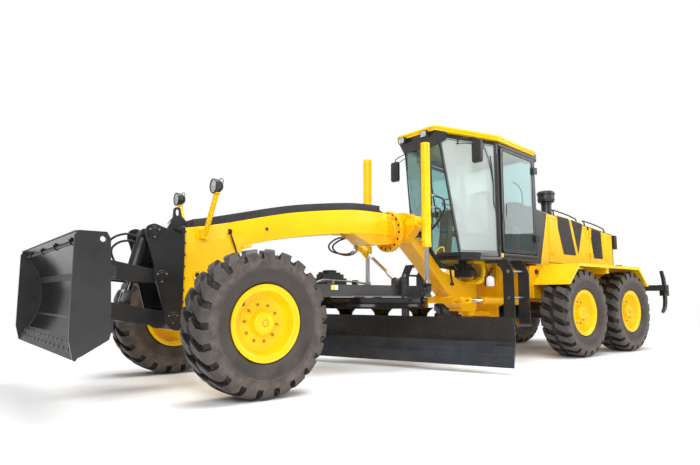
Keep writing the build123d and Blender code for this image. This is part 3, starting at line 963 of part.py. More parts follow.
with BuildPart() as dozer_arms:
    for side in (1, -1):
        low_y, high_y = sorted((side * ARM_IN, side * ARM_OUT))
        side_plate([(ARM_LOW_PIVOT[0], ARM_LOW_PIVOT[1] - 60), (ARM_LOW_END[0], ARM_LOW_END[1] - 55),
                    (ARM_LOW_END[0], ARM_LOW_END[1] + 55), (ARM_LOW_PIVOT[0], ARM_LOW_PIVOT[1] + 60)], low_y, high_y)
        cross_pin(ARM_LOW_PIVOT, 60, low_y, high_y)
        cross_pin(ARM_LOW_END, 55, low_y, high_y)
    block((CYL_LOW_PIN[0] - 45, CYL_LOW_PIN[0] + 65), (-ARM_OUT, ARM_OUT), (ARM_LOW_PIVOT[1] - 48, ARM_LOW_PIVOT[1] + 37))
    side_plate([(CYL_LOW_PIN[0] - 40, ARM_LOW_PIVOT[1] + 22), (CYL_LOW_PIN[0] + 60, ARM_LOW_PIVOT[1] + 22),
                (CYL_LOW_PIN[0] + 45, CYL_LOW_PIN[1]), (CYL_LOW_PIN[0] - 45, CYL_LOW_PIN[1])], -20, 20)
    cross_pin(CYL_LOW_PIN, 45, -20, 20)
    for pin in (ARM_LOW_PIVOT, ARM_LOW_END):
        cross_pin(pin, ARM_PIN_R + RUN_FIT, -ARM_OUT - 1, ARM_OUT + 1, mode=Mode.SUBTRACT)
finish(dozer_arms, "dozer_arms")

with BuildPart() as dozer_links:
    for side in (1, -1):
        low_y, high_y = sorted((side * ARM_IN, side * ARM_OUT))
        side_plate([(ARM_HIGH_PIVOT[0], ARM_HIGH_PIVOT[1] - 50), (ARM_HIGH_END[0], ARM_HIGH_END[1] - 50),
                    (ARM_HIGH_END[0], ARM_HIGH_END[1] + 50), (ARM_HIGH_PIVOT[0], ARM_HIGH_PIVOT[1] + 50)], low_y, high_y)
        cross_pin(ARM_HIGH_PIVOT, 52, low_y, high_y)
        cross_pin(ARM_HIGH_END, 50, low_y, high_y)
    cross_pin(ARM_HIGH_PIVOT, ARM_PIN_R + RUN_FIT, -ARM_OUT - 1, ARM_OUT + 1, mode=Mode.SUBTRACT)
    cross_pin(ARM_HIGH_END, ARM_PIN_R + 1.0, -ARM_OUT - 1, ARM_OUT + 1, mode=Mode.SUBTRACT)
finish(dozer_links, "dozer_links")

def behind(points):
    """Points given by how far they lie behind the front blade's front edge, as X and Z."""
    return [(FRONT_REACH - back, height) for back, height in points]


CURVE_FRONT = behind([(10, FRONT_BLADE_TOP - 5), (225, FRONT_BLADE_LOW + 482), (95, FRONT_BLADE_LOW + 112)])
CURVE_BACK = behind([(111, FRONT_BLADE_LOW + 108), (242, FRONT_BLADE_LOW + 482), (28, FRONT_BLADE_TOP - 5)])
END_PLATE = behind([(220, FRONT_BLADE_TOP), (25, FRONT_BLADE_TOP), (0, FRONT_BLADE_TOP - 40),
                    (0, FRONT_BLADE_LOW + 152), (35, FRONT_BLADE_LOW + 8), (90, FRONT_BLADE_LOW + 32),
                    (275, FRONT_BLADE_LOW + 142), (285, FRONT_BLADE_LOW + 192), (250, FRONT_BLADE_TOP - 50)])
PIN_BRACKET = behind([(230, ARM_HIGH_END[1] + 60), (360, ARM_HIGH_END[1] + 50), (395, ARM_HIGH_END[1] + 10),
                      (385, ARM_HIGH_END[1] - 40), (300, ARM_HIGH_END[1] - 80), (310, ARM_LOW_END[1] + 102),
                      (510, ARM_LOW_END[1] + 52), (528, ARM_LOW_END[1] + 2), (510, ARM_LOW_END[1] - 48),
                      (250, ARM_LOW_END[1] - 68)])
with BuildPart() as dozer_blade:
    with BuildSketch(Plane.XZ.offset(FRONT_BLADE_HALF - 10)):
        with BuildLine():
            ThreePointArc(*CURVE_FRONT)
            Line(CURVE_FRONT[2], CURVE_BACK[0])
            ThreePointArc(*CURVE_BACK)
            Line(CURVE_BACK[2], CURVE_FRONT[0])
        make_face()
    extrude(amount=-2 * FRONT_BLADE_HALF + 20)
    side_plate(behind([(120, FRONT_BLADE_LOW + 142), (95, FRONT_BLADE_LOW + 152), (35, FRONT_BLADE_LOW + 8),
                       (55, FRONT_BLADE_LOW)]), -FRONT_BLADE_HALF, FRONT_BLADE_HALF)
    for side in (1, -1):
        low_y, high_y = sorted((side * (FRONT_BLADE_HALF - 25), side * FRONT_BLADE_HALF))
        side_plate(END_PLATE, low_y, high_y)
        cross_pin((FRONT_REACH - 195, FRONT_BLADE_TOP - 55), END_HOLE_R, low_y - 1, high_y + 1, mode=Mode.SUBTRACT)
        low_y, high_y = sorted((side * (ARM_OUT + 6), side * (ARM_OUT + 26)))
        side_plate(PIN_BRACKET, low_y, high_y)
        for pin in (ARM_LOW_END, ARM_HIGH_END):
            cross_pin(pin, ARM_PIN_R, *sorted((side * (ARM_IN - 6), side * (ARM_OUT + 26))))
    block((FRONT_REACH - 300, FRONT_REACH - 195), (-FRONT_BLADE_HALF + 10, FRONT_BLADE_HALF - 10),
          (ARM_HIGH_END[1] - 40, ARM_HIGH_END[1] + 50))
    block((FRONT_REACH - 300, FRONT_REACH - 185), (-FRONT_BLADE_HALF + 10, FRONT_BLADE_HALF - 10),
          (ARM_LOW_END[1] - 48, ARM_LOW_END[1] + 52))
finish(dozer_blade, "dozer_blade")

FRONT_CYL_START = Vector(CYL_HIGH_PIN[0], 0, CYL_HIGH_PIN[1])
FRONT_CYL_END = Vector(CYL_LOW_PIN[0], 0, CYL_LOW_PIN[1])
FRONT_CYL_WAY = (FRONT_CYL_END - FRONT_CYL_START).normalized()
FRONT_CYL_LENGTH = (FRONT_CYL_END - FRONT_CYL_START).length
BARREL_END = FRONT_CYL_LENGTH - 188
with BuildPart() as dozer_barrel:
    rod(along(FRONT_CYL_START, FRONT_CYL_WAY, 35), along(FRONT_CYL_START, FRONT_CYL_WAY, BARREL_END), FRONT_CYL_R)
    cross_pin(CYL_HIGH_PIN, 56, -56, 56)
    cross_pin(CYL_HIGH_PIN, ARM_PIN_R + RUN_FIT, -57, 57, mode=Mode.SUBTRACT)
    rod(along(FRONT_CYL_START, FRONT_CYL_WAY, 70), along(FRONT_CYL_START, FRONT_CYL_WAY, BARREL_END + 1),
        FRONT_ROD_R + RUN_FIT, mode=Mode.SUBTRACT)
finish(dozer_barrel, "dozer_barrel")

with BuildPart() as dozer_rod:
    rod(along(FRONT_CYL_START, FRONT_CYL_WAY, 150), along(FRONT_CYL_START, FRONT_CYL_WAY, FRONT_CYL_LENGTH - 80),
        FRONT_ROD_R)
    for cheek_y in (-48.0, 26.0):
        cross_pin(CYL_LOW_PIN, 42, cheek_y, cheek_y + 22)
        start, end = along(FRONT_CYL_END, FRONT_CYL_WAY, 0), along(FRONT_CYL_END, FRONT_CYL_WAY, -105)
        bar((start[0], cheek_y + 11, start[2]), (end[0], cheek_y + 11, end[2]), 22, 80)
    bar(along(FRONT_CYL_END, FRONT_CYL_WAY, -105), along(FRONT_CYL_END, FRONT_CYL_WAY, -75), 96, 80)
finish(dozer_rod, "dozer_rod")

# ---------------------------------------------------------------- ripper
RIPPER_ARM_Y = 290.0
RIPPER_CROSS_Z = (RIPPER_CYL_LOW[1] - 115, RIPPER_CYL_LOW[1] - 65)
# each shank's side outline: how far ahead of the rear face, and how high over the beam's middle
SHANK = [(150, 335), (60, 190), (30, 60), (30, -260), (80, -400), (215, -480),
         (245, -455), (165, -370), (130, -250), (130, 60), (150, 170), (215, 325)]
with BuildPart() as ripper_frame:
    for side in (1, -1):
        low_y, high_y = sorted((side * (RIPPER_ARM_Y - 15), side * (RIPPER_ARM_Y + 15)))
        bar((RIPPER_PIVOT[0], side * RIPPER_ARM_Y, RIPPER_PIVOT[1]),
            (sum(RIPPER_BEAM_X) / 2, side * RIPPER_ARM_Y, RIPPER_BEAM_Z), 30, 130)
        cross_pin(RIPPER_PIVOT, 65, low_y, high_y)
        cross_pin(RIPPER_PIVOT, 30 + RUN_FIT, low_y - 1, high_y + 1, mode=Mode.SUBTRACT)
    block(RIPPER_BEAM_X, (-RIPPER_HALF, RIPPER_HALF), (RIPPER_BEAM_Z - 55, RIPPER_BEAM_Z + 55))
    block((RIPPER_CYL_LOW[0] - 100, RIPPER_CYL_LOW[0] + 125), (-RIPPER_ARM_Y, RIPPER_ARM_Y), RIPPER_CROSS_Z)
    side_plate([(RIPPER_CYL_LOW[0] - 40, RIPPER_CROSS_Z[1] - 15), (RIPPER_CYL_LOW[0] + 40, RIPPER_CROSS_Z[1] - 15),
                (RIPPER_CYL_LOW[0] + 40, RIPPER_CYL_LOW[1]), (RIPPER_CYL_LOW[0] - 40, RIPPER_CYL_LOW[1])], -18, 18)
    cross_pin(RIPPER_CYL_LOW, 40, -18, 18)
    for number in range(-2, 3):
        shank_y = number * (RIPPER_HALF - 110) / 2
        block((-REAR_REACH, RIPPER_BEAM_X[0] + 10), (shank_y - 48, shank_y + 48), (RIPPER_BEAM_Z - 150, RIPPER_BEAM_Z + 60))
        side_plate([(-REAR_REACH + ahead, RIPPER_BEAM_Z + up) for ahead, up in SHANK], shank_y - 22, shank_y + 22)
finish(ripper_frame, "ripper_frame")

RIPPER_CYL_START = Vector(RIPPER_CYL_TOP[0], 0, RIPPER_CYL_TOP[1])
RIPPER_CYL_END = Vector(RIPPER_CYL_LOW[0], 0, RIPPER_CYL_LOW[1])
RIPPER_CYL_WAY = (RIPPER_CYL_END - RIPPER_CYL_START).normalized()
RIPPER_CYL_LENGTH = (RIPPER_CYL_END - RIPPER_CYL_START).length
RIPPER_BARREL_END = RIPPER_CYL_LENGTH - 182
with BuildPart() as ripper_barrel:
    rod(along(RIPPER_CYL_START, RIPPER_CYL_WAY, 30), along(RIPPER_CYL_START, RIPPER_CYL_WAY, RIPPER_BARREL_END), 48)
    cross_pin(RIPPER_CYL_TOP, 44, -46, 46)
    cross_pin(RIPPER_CYL_TOP, 25 + RUN_FIT, -47, 47, mode=Mode.SUBTRACT)
    rod(along(RIPPER_CYL_START, RIPPER_CYL_WAY, 65), along(RIPPER_CYL_START, RIPPER_CYL_WAY, RIPPER_BARREL_END + 1),
        25 + RUN_FIT, mode=Mode.SUBTRACT)
finish(ripper_barrel, "ripper_barrel")

with BuildPart() as ripper_rod:
    rod(along(RIPPER_CYL_START, RIPPER_CYL_WAY, 115), along(RIPPER_CYL_START, RIPPER_CYL_WAY, RIPPER_CYL_LENGTH - 75),
        25)
    for cheek_y in (-46.0, 24.0):
        cross_pin(RIPPER_CYL_LOW, 38, cheek_y, cheek_y + 22)
        start, end = along(RIPPER_CYL_END, RIPPER_CYL_WAY, 0), along(RIPPER_CYL_END, RIPPER_CYL_WAY, -95)
        bar((start[0], cheek_y + 11, start[2]), (end[0], cheek_y + 11, end[2]), 22, 72)
    bar(along(RIPPER_CYL_END, RIPPER_CYL_WAY, -95), along(RIPPER_CYL_END, RIPPER_CYL_WAY, -68), 92, 72)
finish(ripper_rod, "ripper_rod")
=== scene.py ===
"""Dresses the motor grader: an arched front beam, a moldboard under a turning circle, a front blade,
a glazed cab, a long hood, six wheels and a rear ripper.  Metres, +X forward, +Y left, +Z up.

Every new piece is a shell of points worked out as whole numpy arrays and put into a mesh at the origin.
"""
from math import cos, pi, radians, sin

import bmesh
import bpy
import numpy as np
from mathutils import Matrix, Vector


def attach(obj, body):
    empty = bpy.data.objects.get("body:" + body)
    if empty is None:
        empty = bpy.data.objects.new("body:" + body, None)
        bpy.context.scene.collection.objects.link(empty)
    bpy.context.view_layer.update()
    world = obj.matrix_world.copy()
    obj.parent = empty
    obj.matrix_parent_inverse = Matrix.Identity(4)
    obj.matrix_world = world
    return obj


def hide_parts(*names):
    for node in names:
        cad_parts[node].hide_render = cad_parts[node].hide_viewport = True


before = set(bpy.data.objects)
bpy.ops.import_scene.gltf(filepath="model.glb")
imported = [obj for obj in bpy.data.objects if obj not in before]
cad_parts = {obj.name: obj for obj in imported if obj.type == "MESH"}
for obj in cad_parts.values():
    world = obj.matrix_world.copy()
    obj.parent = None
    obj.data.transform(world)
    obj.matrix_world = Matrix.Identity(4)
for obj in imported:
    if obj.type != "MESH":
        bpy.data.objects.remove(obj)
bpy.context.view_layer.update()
SCENE = bpy.context.scene
SIDES = (("left", 1), ("right", -1))
UP, LEFT, AHEAD = (0, 0, 1), (0, 1, 0), (1, 0, 0)


# ---------------------------------------- shells: points and faces
def ring_faces(rows, columns, closed_rows=False, closed_columns=True, offset=0):
    """Quads of a grid of rows by columns: each joins a point to the next in its row and to the row above."""
    index = np.arange(rows * columns).reshape(rows, columns) + offset
    if closed_rows:
        index = np.vstack([index, index[:1]])
    if closed_columns:
        index = np.hstack([index, index[:, :1]])
    quads = np.stack([index[:-1, :-1], index[:-1, 1:], index[1:, 1:], index[1:, :-1]], axis=-1)
    return quads.reshape(-1, 4).tolist()


def loft(sections, closed=False):
    """A skin over a stack of equal loops (rows, points, 3), capped flat at each end unless it is closed."""
    sections = np.asarray(sections, float)
    rows, columns = sections.shape[:2]
    faces = ring_faces(rows, columns, closed_rows=closed)
    if not closed:
        faces += [list(range(columns))[::-1], list(range((rows - 1) * columns, rows * columns))]
    return sections.reshape(-1, 3), faces


def prism(outline, low, high, axis="y"):
    """A flat outline carried straight from low to high along one axis; the outline holds the other two."""
    outline = np.asarray(outline, float)
    place = {"x": (0, 1, 2), "y": (1, 0, 2), "z": (2, 0, 1)}[axis]
    rows = np.empty((2, len(outline), 3))
    rows[:, :, place[0]] = np.array([[low], [high]])
    rows[:, :, place[1]] = outline[:, 0]
    rows[:, :, place[2]] = outline[:, 1]
    return loft(rows)


def arc(first, middle, last, count=24):
    """Points on the circle through three points; its centre is where the chords' bisectors meet."""
    a, b, c = (np.asarray(point, float) for point in (first, middle, last))
    lines = 2 * np.array([b - a, c - a])
    centre = np.linalg.solve(lines, np.array([b @ b - a @ a, c @ c - a @ a]))
    angles = np.unwrap([np.arctan2(*(point - centre)[::-1]) for point in (a, b, c)])
    turn = np.linspace(angles[0], angles[2], count)
    return centre + np.hypot(*(a - centre)) * np.stack([np.cos(turn), np.sin(turn)], axis=-1)


def rounded(outline, radius, steps=4):
    """A closed outline with each corner replaced by a curve that starts and ends a radius away from it."""
    outline = np.asarray(outline, float)
    before, after = np.roll(outline, 1, axis=0), np.roll(outline, -1, axis=0)
    reach_in = np.minimum(radius, 0.45 * np.linalg.norm(before - outline, axis=1))[:, None]
    reach_out = np.minimum(radius, 0.45 * np.linalg.norm(after - outline, axis=1))[:, None]
    start = outline + (before - outline) / np.linalg.norm(before - outline, axis=1)[:, None] * reach_in
    stop = outline + (after - outline) / np.linalg.norm(after - outline, axis=1)[:, None] * reach_out
    share = np.linspace(0, 1, steps + 1)[None, :, None]
    curve = (1 - share) ** 2 * start[:, None] + 2 * share * (1
        - share) * outline[:, None] + share ** 2 * stop[:, None]
    return curve.reshape(-1, 2)


def sheet_between(front, back, low, high):
    """A thin curved plate between two lines of points, carried across from low to high."""
    return prism(np.vstack([front, back[::-1]]), low, high)


def plate(outline, radius, low, high, axis="y"):
    """A flat outline with softened corners, carried straight from low to high."""
    return prism(rounded(outline, radius), low, high, axis)


def upright(line, y):
    """A line of (x, z) stood up at a place across the machine."""
    return np.column_stack([line[:, 0], np.full(len(line), y), line[:, 1]])


def facing(centre, loop, steps):
    """A loop of (across, up) carried along X from a centre: each step is a distance along and a size."""
    x, y, z = centre
    return loft([np.column_stack([np.full(len(loop), x + along), y + loop[:, 0] * size,
        z + loop[:, 1] * size]) for along, size in steps])


def block(low, high):
    """A box between two corners."""
    return prism([(low[0], low[2]), (high[0], low[2]), (high[0], high[2]), (low[0], high[2])], low[1],
        high[1])


def frame_of(way):
    """Two unit vectors square to a direction and to each other."""
    way = np.asarray(way, float) / np.linalg.norm(way)
    side = np.cross(way, (0, 0, 1.0) if abs(way[2]) < 0.9 else (0, 1.0, 0))
    side /= np.linalg.norm(side)
    return way, side, np.cross(side, way)


def lathe(profile, start, way, count=48):
    """A profile of (radius, distance along) turned round an axis: start + way * along + radius * spoke."""
    way, side, up = frame_of(way)
    profile = np.asarray(profile, float)
    turn = np.linspace(0, 2 * pi, count, endpoint=False)
    spoke = np.cos(turn)[:, None] * side + np.sin(turn)[:, None] * up
    rows = np.asarray(start) + profile[:, None, 1:2] * way + profile[:, None, 0:1] * spoke[None]
    closed = bool(np.allclose(profile[0], profile[-1]))
    return loft(rows[:-1] if closed else rows, closed)


def rod(start, end, radius, count=24, chamfer=0.0):
    """A round bar from start to end, with its edges turned in by a chamfer."""
    start, end = np.asarray(start, float), np.asarray(end, float)
    length = np.linalg.norm(end - start)
    inner = max(radius - chamfer, radius * 0.4)
    profile = [(inner, 0), (radius, chamfer), (radius, length - chamfer), (inner, length)]
    return lathe(profile if chamfer else [(radius, 0), (radius, length)], start, end - start, count)


def through(points, steps=8):
    """A smooth run of points: Catmull-Rom cubics, each from four neighbouring points."""
    points = np.asarray(points, float)
    padded = np.vstack([2 * points[0] - points[1], points, 2 * points[-1] - points[-2]])
    share = np.linspace(0, 1, steps, endpoint=False)[:, None]
    runs = []
    for number in range(len(points) - 1):
        a, b, c, d = padded[number:number + 4]
        runs.append(0.5 * (2 * b + (c - a) * share + (2 * a - 5 * b + 4 * c - d) * share ** 2
            + (3 * b - a - 3 * c + d) * share ** 3))
    return np.vstack(runs + [points[-1:]])


def tube(points, radius, count=12, smooth=True):
    """A round tube along points: each ring is square to the path, measured from the plane it best lies in."""
    path = through(points) if smooth else np.asarray(points, float)
    ways = np.gradient(path, axis=0)
    ways /= np.linalg.norm(ways, axis=1)[:, None]
    level = np.linalg.svd(path - path.mean(axis=0))[2][2]
    side = np.cross(ways, level)
    side /= np.linalg.norm(side, axis=1)[:, None]
    up = np.cross(side, ways)
    turn = np.linspace(0, 2 * pi, count, endpoint=False)[None, :, None]
    return loft(path[:, None] + radius * (np.cos(turn) * side[:, None] + np.sin(turn) * up[:, None]))


def round_box(half_wide, high, radius, corner=4):
    """A loop of (across, up) round a rectangle with rounded corners, centred on the origin."""
    turn = np.linspace(0, pi / 2, corner + 1)
    wide, tall = half_wide - radius, high / 2 - radius
    loop = []
    for quarter, (x, z) in enumerate(((wide, tall), (-wide, tall), (-wide, -tall), (wide, -tall))):
        angle = turn + quarter * pi / 2
        loop.append(np.stack([x + radius * np.cos(angle), z + radius * np.sin(angle)], axis=-1))
    return np.vstack(loop)


def hexes(centres, way, radius=0.016, high=0.014):
    """Bolt heads: six-sided studs on washers, one at each centre, standing along one direction."""
    shells = []
    for centre in centres:
        shells.append(lathe([(radius * 1.35, 0), (radius * 1.35, high * 0.25), (radius, high * 0.25),
            (radius, high * 0.9), (radius * 0.8, high)], centre, way, 6))
    return shells


def on_circle(centre, way, radius, count, start=0.0):
    """Points evenly round a circle square to a direction."""
    way, side, up = frame_of(way)
    turn = np.arange(count) * 2 * pi / count + start
    return np.asarray(centre) + radius * (np.cos(turn)[:, None] * side + np.sin(turn)[:, None] * up)


def both(shells):
    """Shells and their copies on the machine's other side."""
    return list(shells) + [(points * (1, -1, 1), [face[::-1] for face in faces]) for points, faces in shells]


def turned(shells, centre, angle):
    """Shells turned about an upright axis through a centre: x cos - y sin, x sin + y cos."""
    turn = np.array([[cos(angle), -sin(angle), 0], [sin(angle), cos(angle), 0], [0, 0, 1]])
    return [((points @ turn.T) + centre, faces) for points, faces in shells]


def put(name, shells, material, body, bevel=0.0, angle=35, hides=(), segments=2):
    """Puts shells into one mesh at the origin, merged, facing outwards, and lets it ride on a body."""
    points, faces, offset = [], [], 0
    for shell_points, shell_faces in shells:
        points.append(shell_points)
        faces += [[number + offset for number in face] for face in shell_faces]
        offset += len(shell_points)
    mesh = bpy.data.meshes.new(name)
    mesh.from_pydata(np.vstack(points).tolist(), [], faces)
    work = bmesh.new()
    work.from_mesh(mesh)
    bmesh.ops.remove_doubles(work, verts=work.verts, dist=1e-5)
    bmesh.ops.recalc_face_normals(work, faces=work.faces)
    work.to_mesh(mesh)
    work.free()
    mesh.shade_smooth()
    mesh.set_sharp_from_angle(angle=radians(angle))
    piece = bpy.data.objects.new(name, mesh)
    SCENE.collection.objects.link(piece)
    mesh.materials.append(PAINTS[material])
    if bevel:
        edge = piece.modifiers.new("edges", "BEVEL")
        edge.width = bevel
        edge.segments = segments
        edge.limit_method = "ANGLE"
        edge.angle_limit = radians(40)
        edge.harden_normals = True
    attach(piece, body)
    if hides:
        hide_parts(*hides)
    return piece


# ---------------------------------------- finishes
def make_group(name, sockets_in, sockets_out):
    """An empty shader group with named number inputs and outputs."""
    group = bpy.data.node_groups.new(name, "ShaderNodeTree")
    for label, default in sockets_in:
        socket = group.interface.new_socket(label, in_out="INPUT", socket_type="NodeSocketFloat")
        socket.default_value = default
    for label in sockets_out:
        group.interface.new_socket(label, in_out="OUTPUT", socket_type="NodeSocketFloat")
    return group, group.nodes.new("NodeGroupInput"), group.nodes.new("NodeGroupOutput")


def feed(tree, socket, value):
    """A socket takes a link, a plain number or a plain colour."""
    if isinstance(value, bpy.types.NodeSocket):
        tree.links.new(value, socket)
    else:
        socket.default_value = (*value, 1) if socket.type == "RGBA" else value


def add_node(tree, kind, **inputs):
    """A node of a kind, with inputs fed by name; an underscore stands for a space."""
    node = tree.nodes.new("ShaderNode" + kind)
    for label, value in inputs.items():
        feed(tree, node.inputs[label.replace("_", " ")], value)
    return node


def number_node(tree, operation, *values):
    """A Math node of links or plain numbers."""
    node = add_node(tree, "Math")
    node.operation = operation
    for socket, value in zip(node.inputs, values):
        feed(tree, socket, value)
    return node.outputs[0]


def span_node(tree, value, low, high, to_low=0.0, to_high=1.0):
    """A clamped Map Range from low..high to to_low..to_high."""
    return add_node(tree, "MapRange", From_Min=low, From_Max=high, To_Min=to_low, To_Max=to_high,
        Value=value).outputs["Result"]


def noise_node(tree, coordinates, scale, detail=4.0):
    """Fractal noise on object coordinates."""
    return add_node(tree, "TexNoise", Detail=detail, Roughness=0.55, Scale=scale,
        Vector=coordinates).outputs["Fac"]


def object_place(tree):
    """The object's own coordinates, as a link."""
    return add_node(tree, "TexCoord").outputs["Object"]


def bump_node(tree, height, strength, distance):
    """A normal tilted by a height."""
    return add_node(tree, "Bump", Strength=strength, Distance=distance, Height=height).outputs["Normal"]


def build_edge_wear():
    """Mask of worn edges: where a rounded normal turns away from the true one, broken up by noise."""
    group, given, out = make_group("edge_wear", [("Width", 0.006), ("Break Up", 30.0)], ["Mask"])
    round_normal = add_node(group, "Bevel", Radius=given.outputs["Width"])
    round_normal.samples = 4
    place = add_node(group, "NewGeometry")
    dot = add_node(group, "VectorMath")
    dot.operation = "DOT_PRODUCT"
    feed(group, dot.inputs[0], round_normal.outputs["Normal"])
    feed(group, dot.inputs[1], place.outputs["True Normal"])
    coordinates = object_place(group)
    turned_away = number_node(group, "SUBTRACT", 1.0, dot.outputs["Value"])
    edge = span_node(group, turned_away, 0.02, 0.22)
    patches = span_node(group, noise_node(group, coordinates, given.outputs["Break Up"]), 0.42, 0.62)
    feed(group, out.inputs["Mask"], number_node(group, "MULTIPLY", edge, patches))
    return group


def build_dust():
    """Mask of settled dust: noise patches, thicker towards the ground and where the surface faces up."""
    group, given, out = make_group("dust", [("Scale", 6.0), ("Cover", 0.5), ("Height", 1.6)],
        ["Mask", "Speckle"])
    coordinates = object_place(group)
    axes = add_node(group, "SeparateXYZ", Vector=coordinates)
    low_down = span_node(group, axes.outputs["Z"], given.outputs["Height"], 0.0)
    patches = span_node(group, noise_node(group, coordinates, given.outputs["Scale"], 6.0), 0.38, 0.72)
    up_axes = add_node(group, "SeparateXYZ", Vector=add_node(group, "NewGeometry").outputs["Normal"])
    facing_up = span_node(group, up_axes.outputs["Z"], 0.2, 1.0, 0.0, 0.35)
    amount = number_node(group, "MULTIPLY", patches, number_node(group, "ADD", low_down, facing_up))
    feed(group, out.inputs["Mask"], number_node(group, "MULTIPLY", amount, given.outputs["Cover"]))
    speckle = span_node(group, noise_node(group, coordinates, 240.0, 2.0), 0.3, 0.7)
    feed(group, out.inputs["Speckle"], speckle)
    return group


EDGE_WEAR = build_edge_wear()
DUST = build_dust()


def place_group(tree, group, **values):
    """One use of a shared group, with its own values."""
    node = add_node(tree, "Group")
    node.node_tree = group
    for label, value in values.items():
        feed(tree, node.inputs[label.replace("_", " ")], value)
    return node.outputs["Mask"]


def mix_colour(tree, share, first, second):
    """A Mix node between two colours, each a link or a plain colour."""
    node = add_node(tree, "Mix")
    node.data_type = "RGBA"
    for number, value in ((6, first), (7, second), (0, share)):
        feed(tree, node.inputs[number], value)
    return node.outputs[2]


def make_finish(name, colour, shade, worn, rough=0.35, metal=0.0, coat=0.0, dust=0.4, wear=0.004, bump=0.05,
        grain=90.0, tone_scale=2.2, gleam=0.5):
    """A painted, rubber or steel surface: two tones in slow noise, dust low down, worn edges, fine bump."""
    material = bpy.data.materials.new(name)
    material.use_nodes = True
    tree = material.node_tree
    coordinates = object_place(tree)
    slow = span_node(tree, noise_node(tree, coordinates, tone_scale, 3.0), 0.35, 0.65)
    base = mix_colour(tree, slow, colour, shade)
    settled = place_group(tree, DUST, Scale=5.0, Cover=dust, Height=1.5)
    base = mix_colour(tree, settled, base, (0.3, 0.25, 0.19))
    if wear:
        base = mix_colour(tree, place_group(tree, EDGE_WEAR, Width=wear, Break_Up=35.0), base, worn)
    roughness = span_node(tree, noise_node(tree, coordinates, 9.0, 5.0), 0.3, 0.7, rough * 0.85,
        min(rough * 1.2, 1))
    roughness = number_node(tree, "ADD", roughness, number_node(tree, "MULTIPLY", settled, 0.35))
    relief = bump_node(tree, noise_node(tree, coordinates, grain, 3.0), bump, 0.004)
    for label, value in (("Metallic", metal), ("Coat Weight", coat), ("Specular IOR Level", gleam),
            ("Coat Roughness", 0.08), ("Base Color", base), ("Roughness", roughness), ("Normal", relief)):
        feed(tree, tree.nodes["Principled BSDF"].inputs[label], value)
    return material


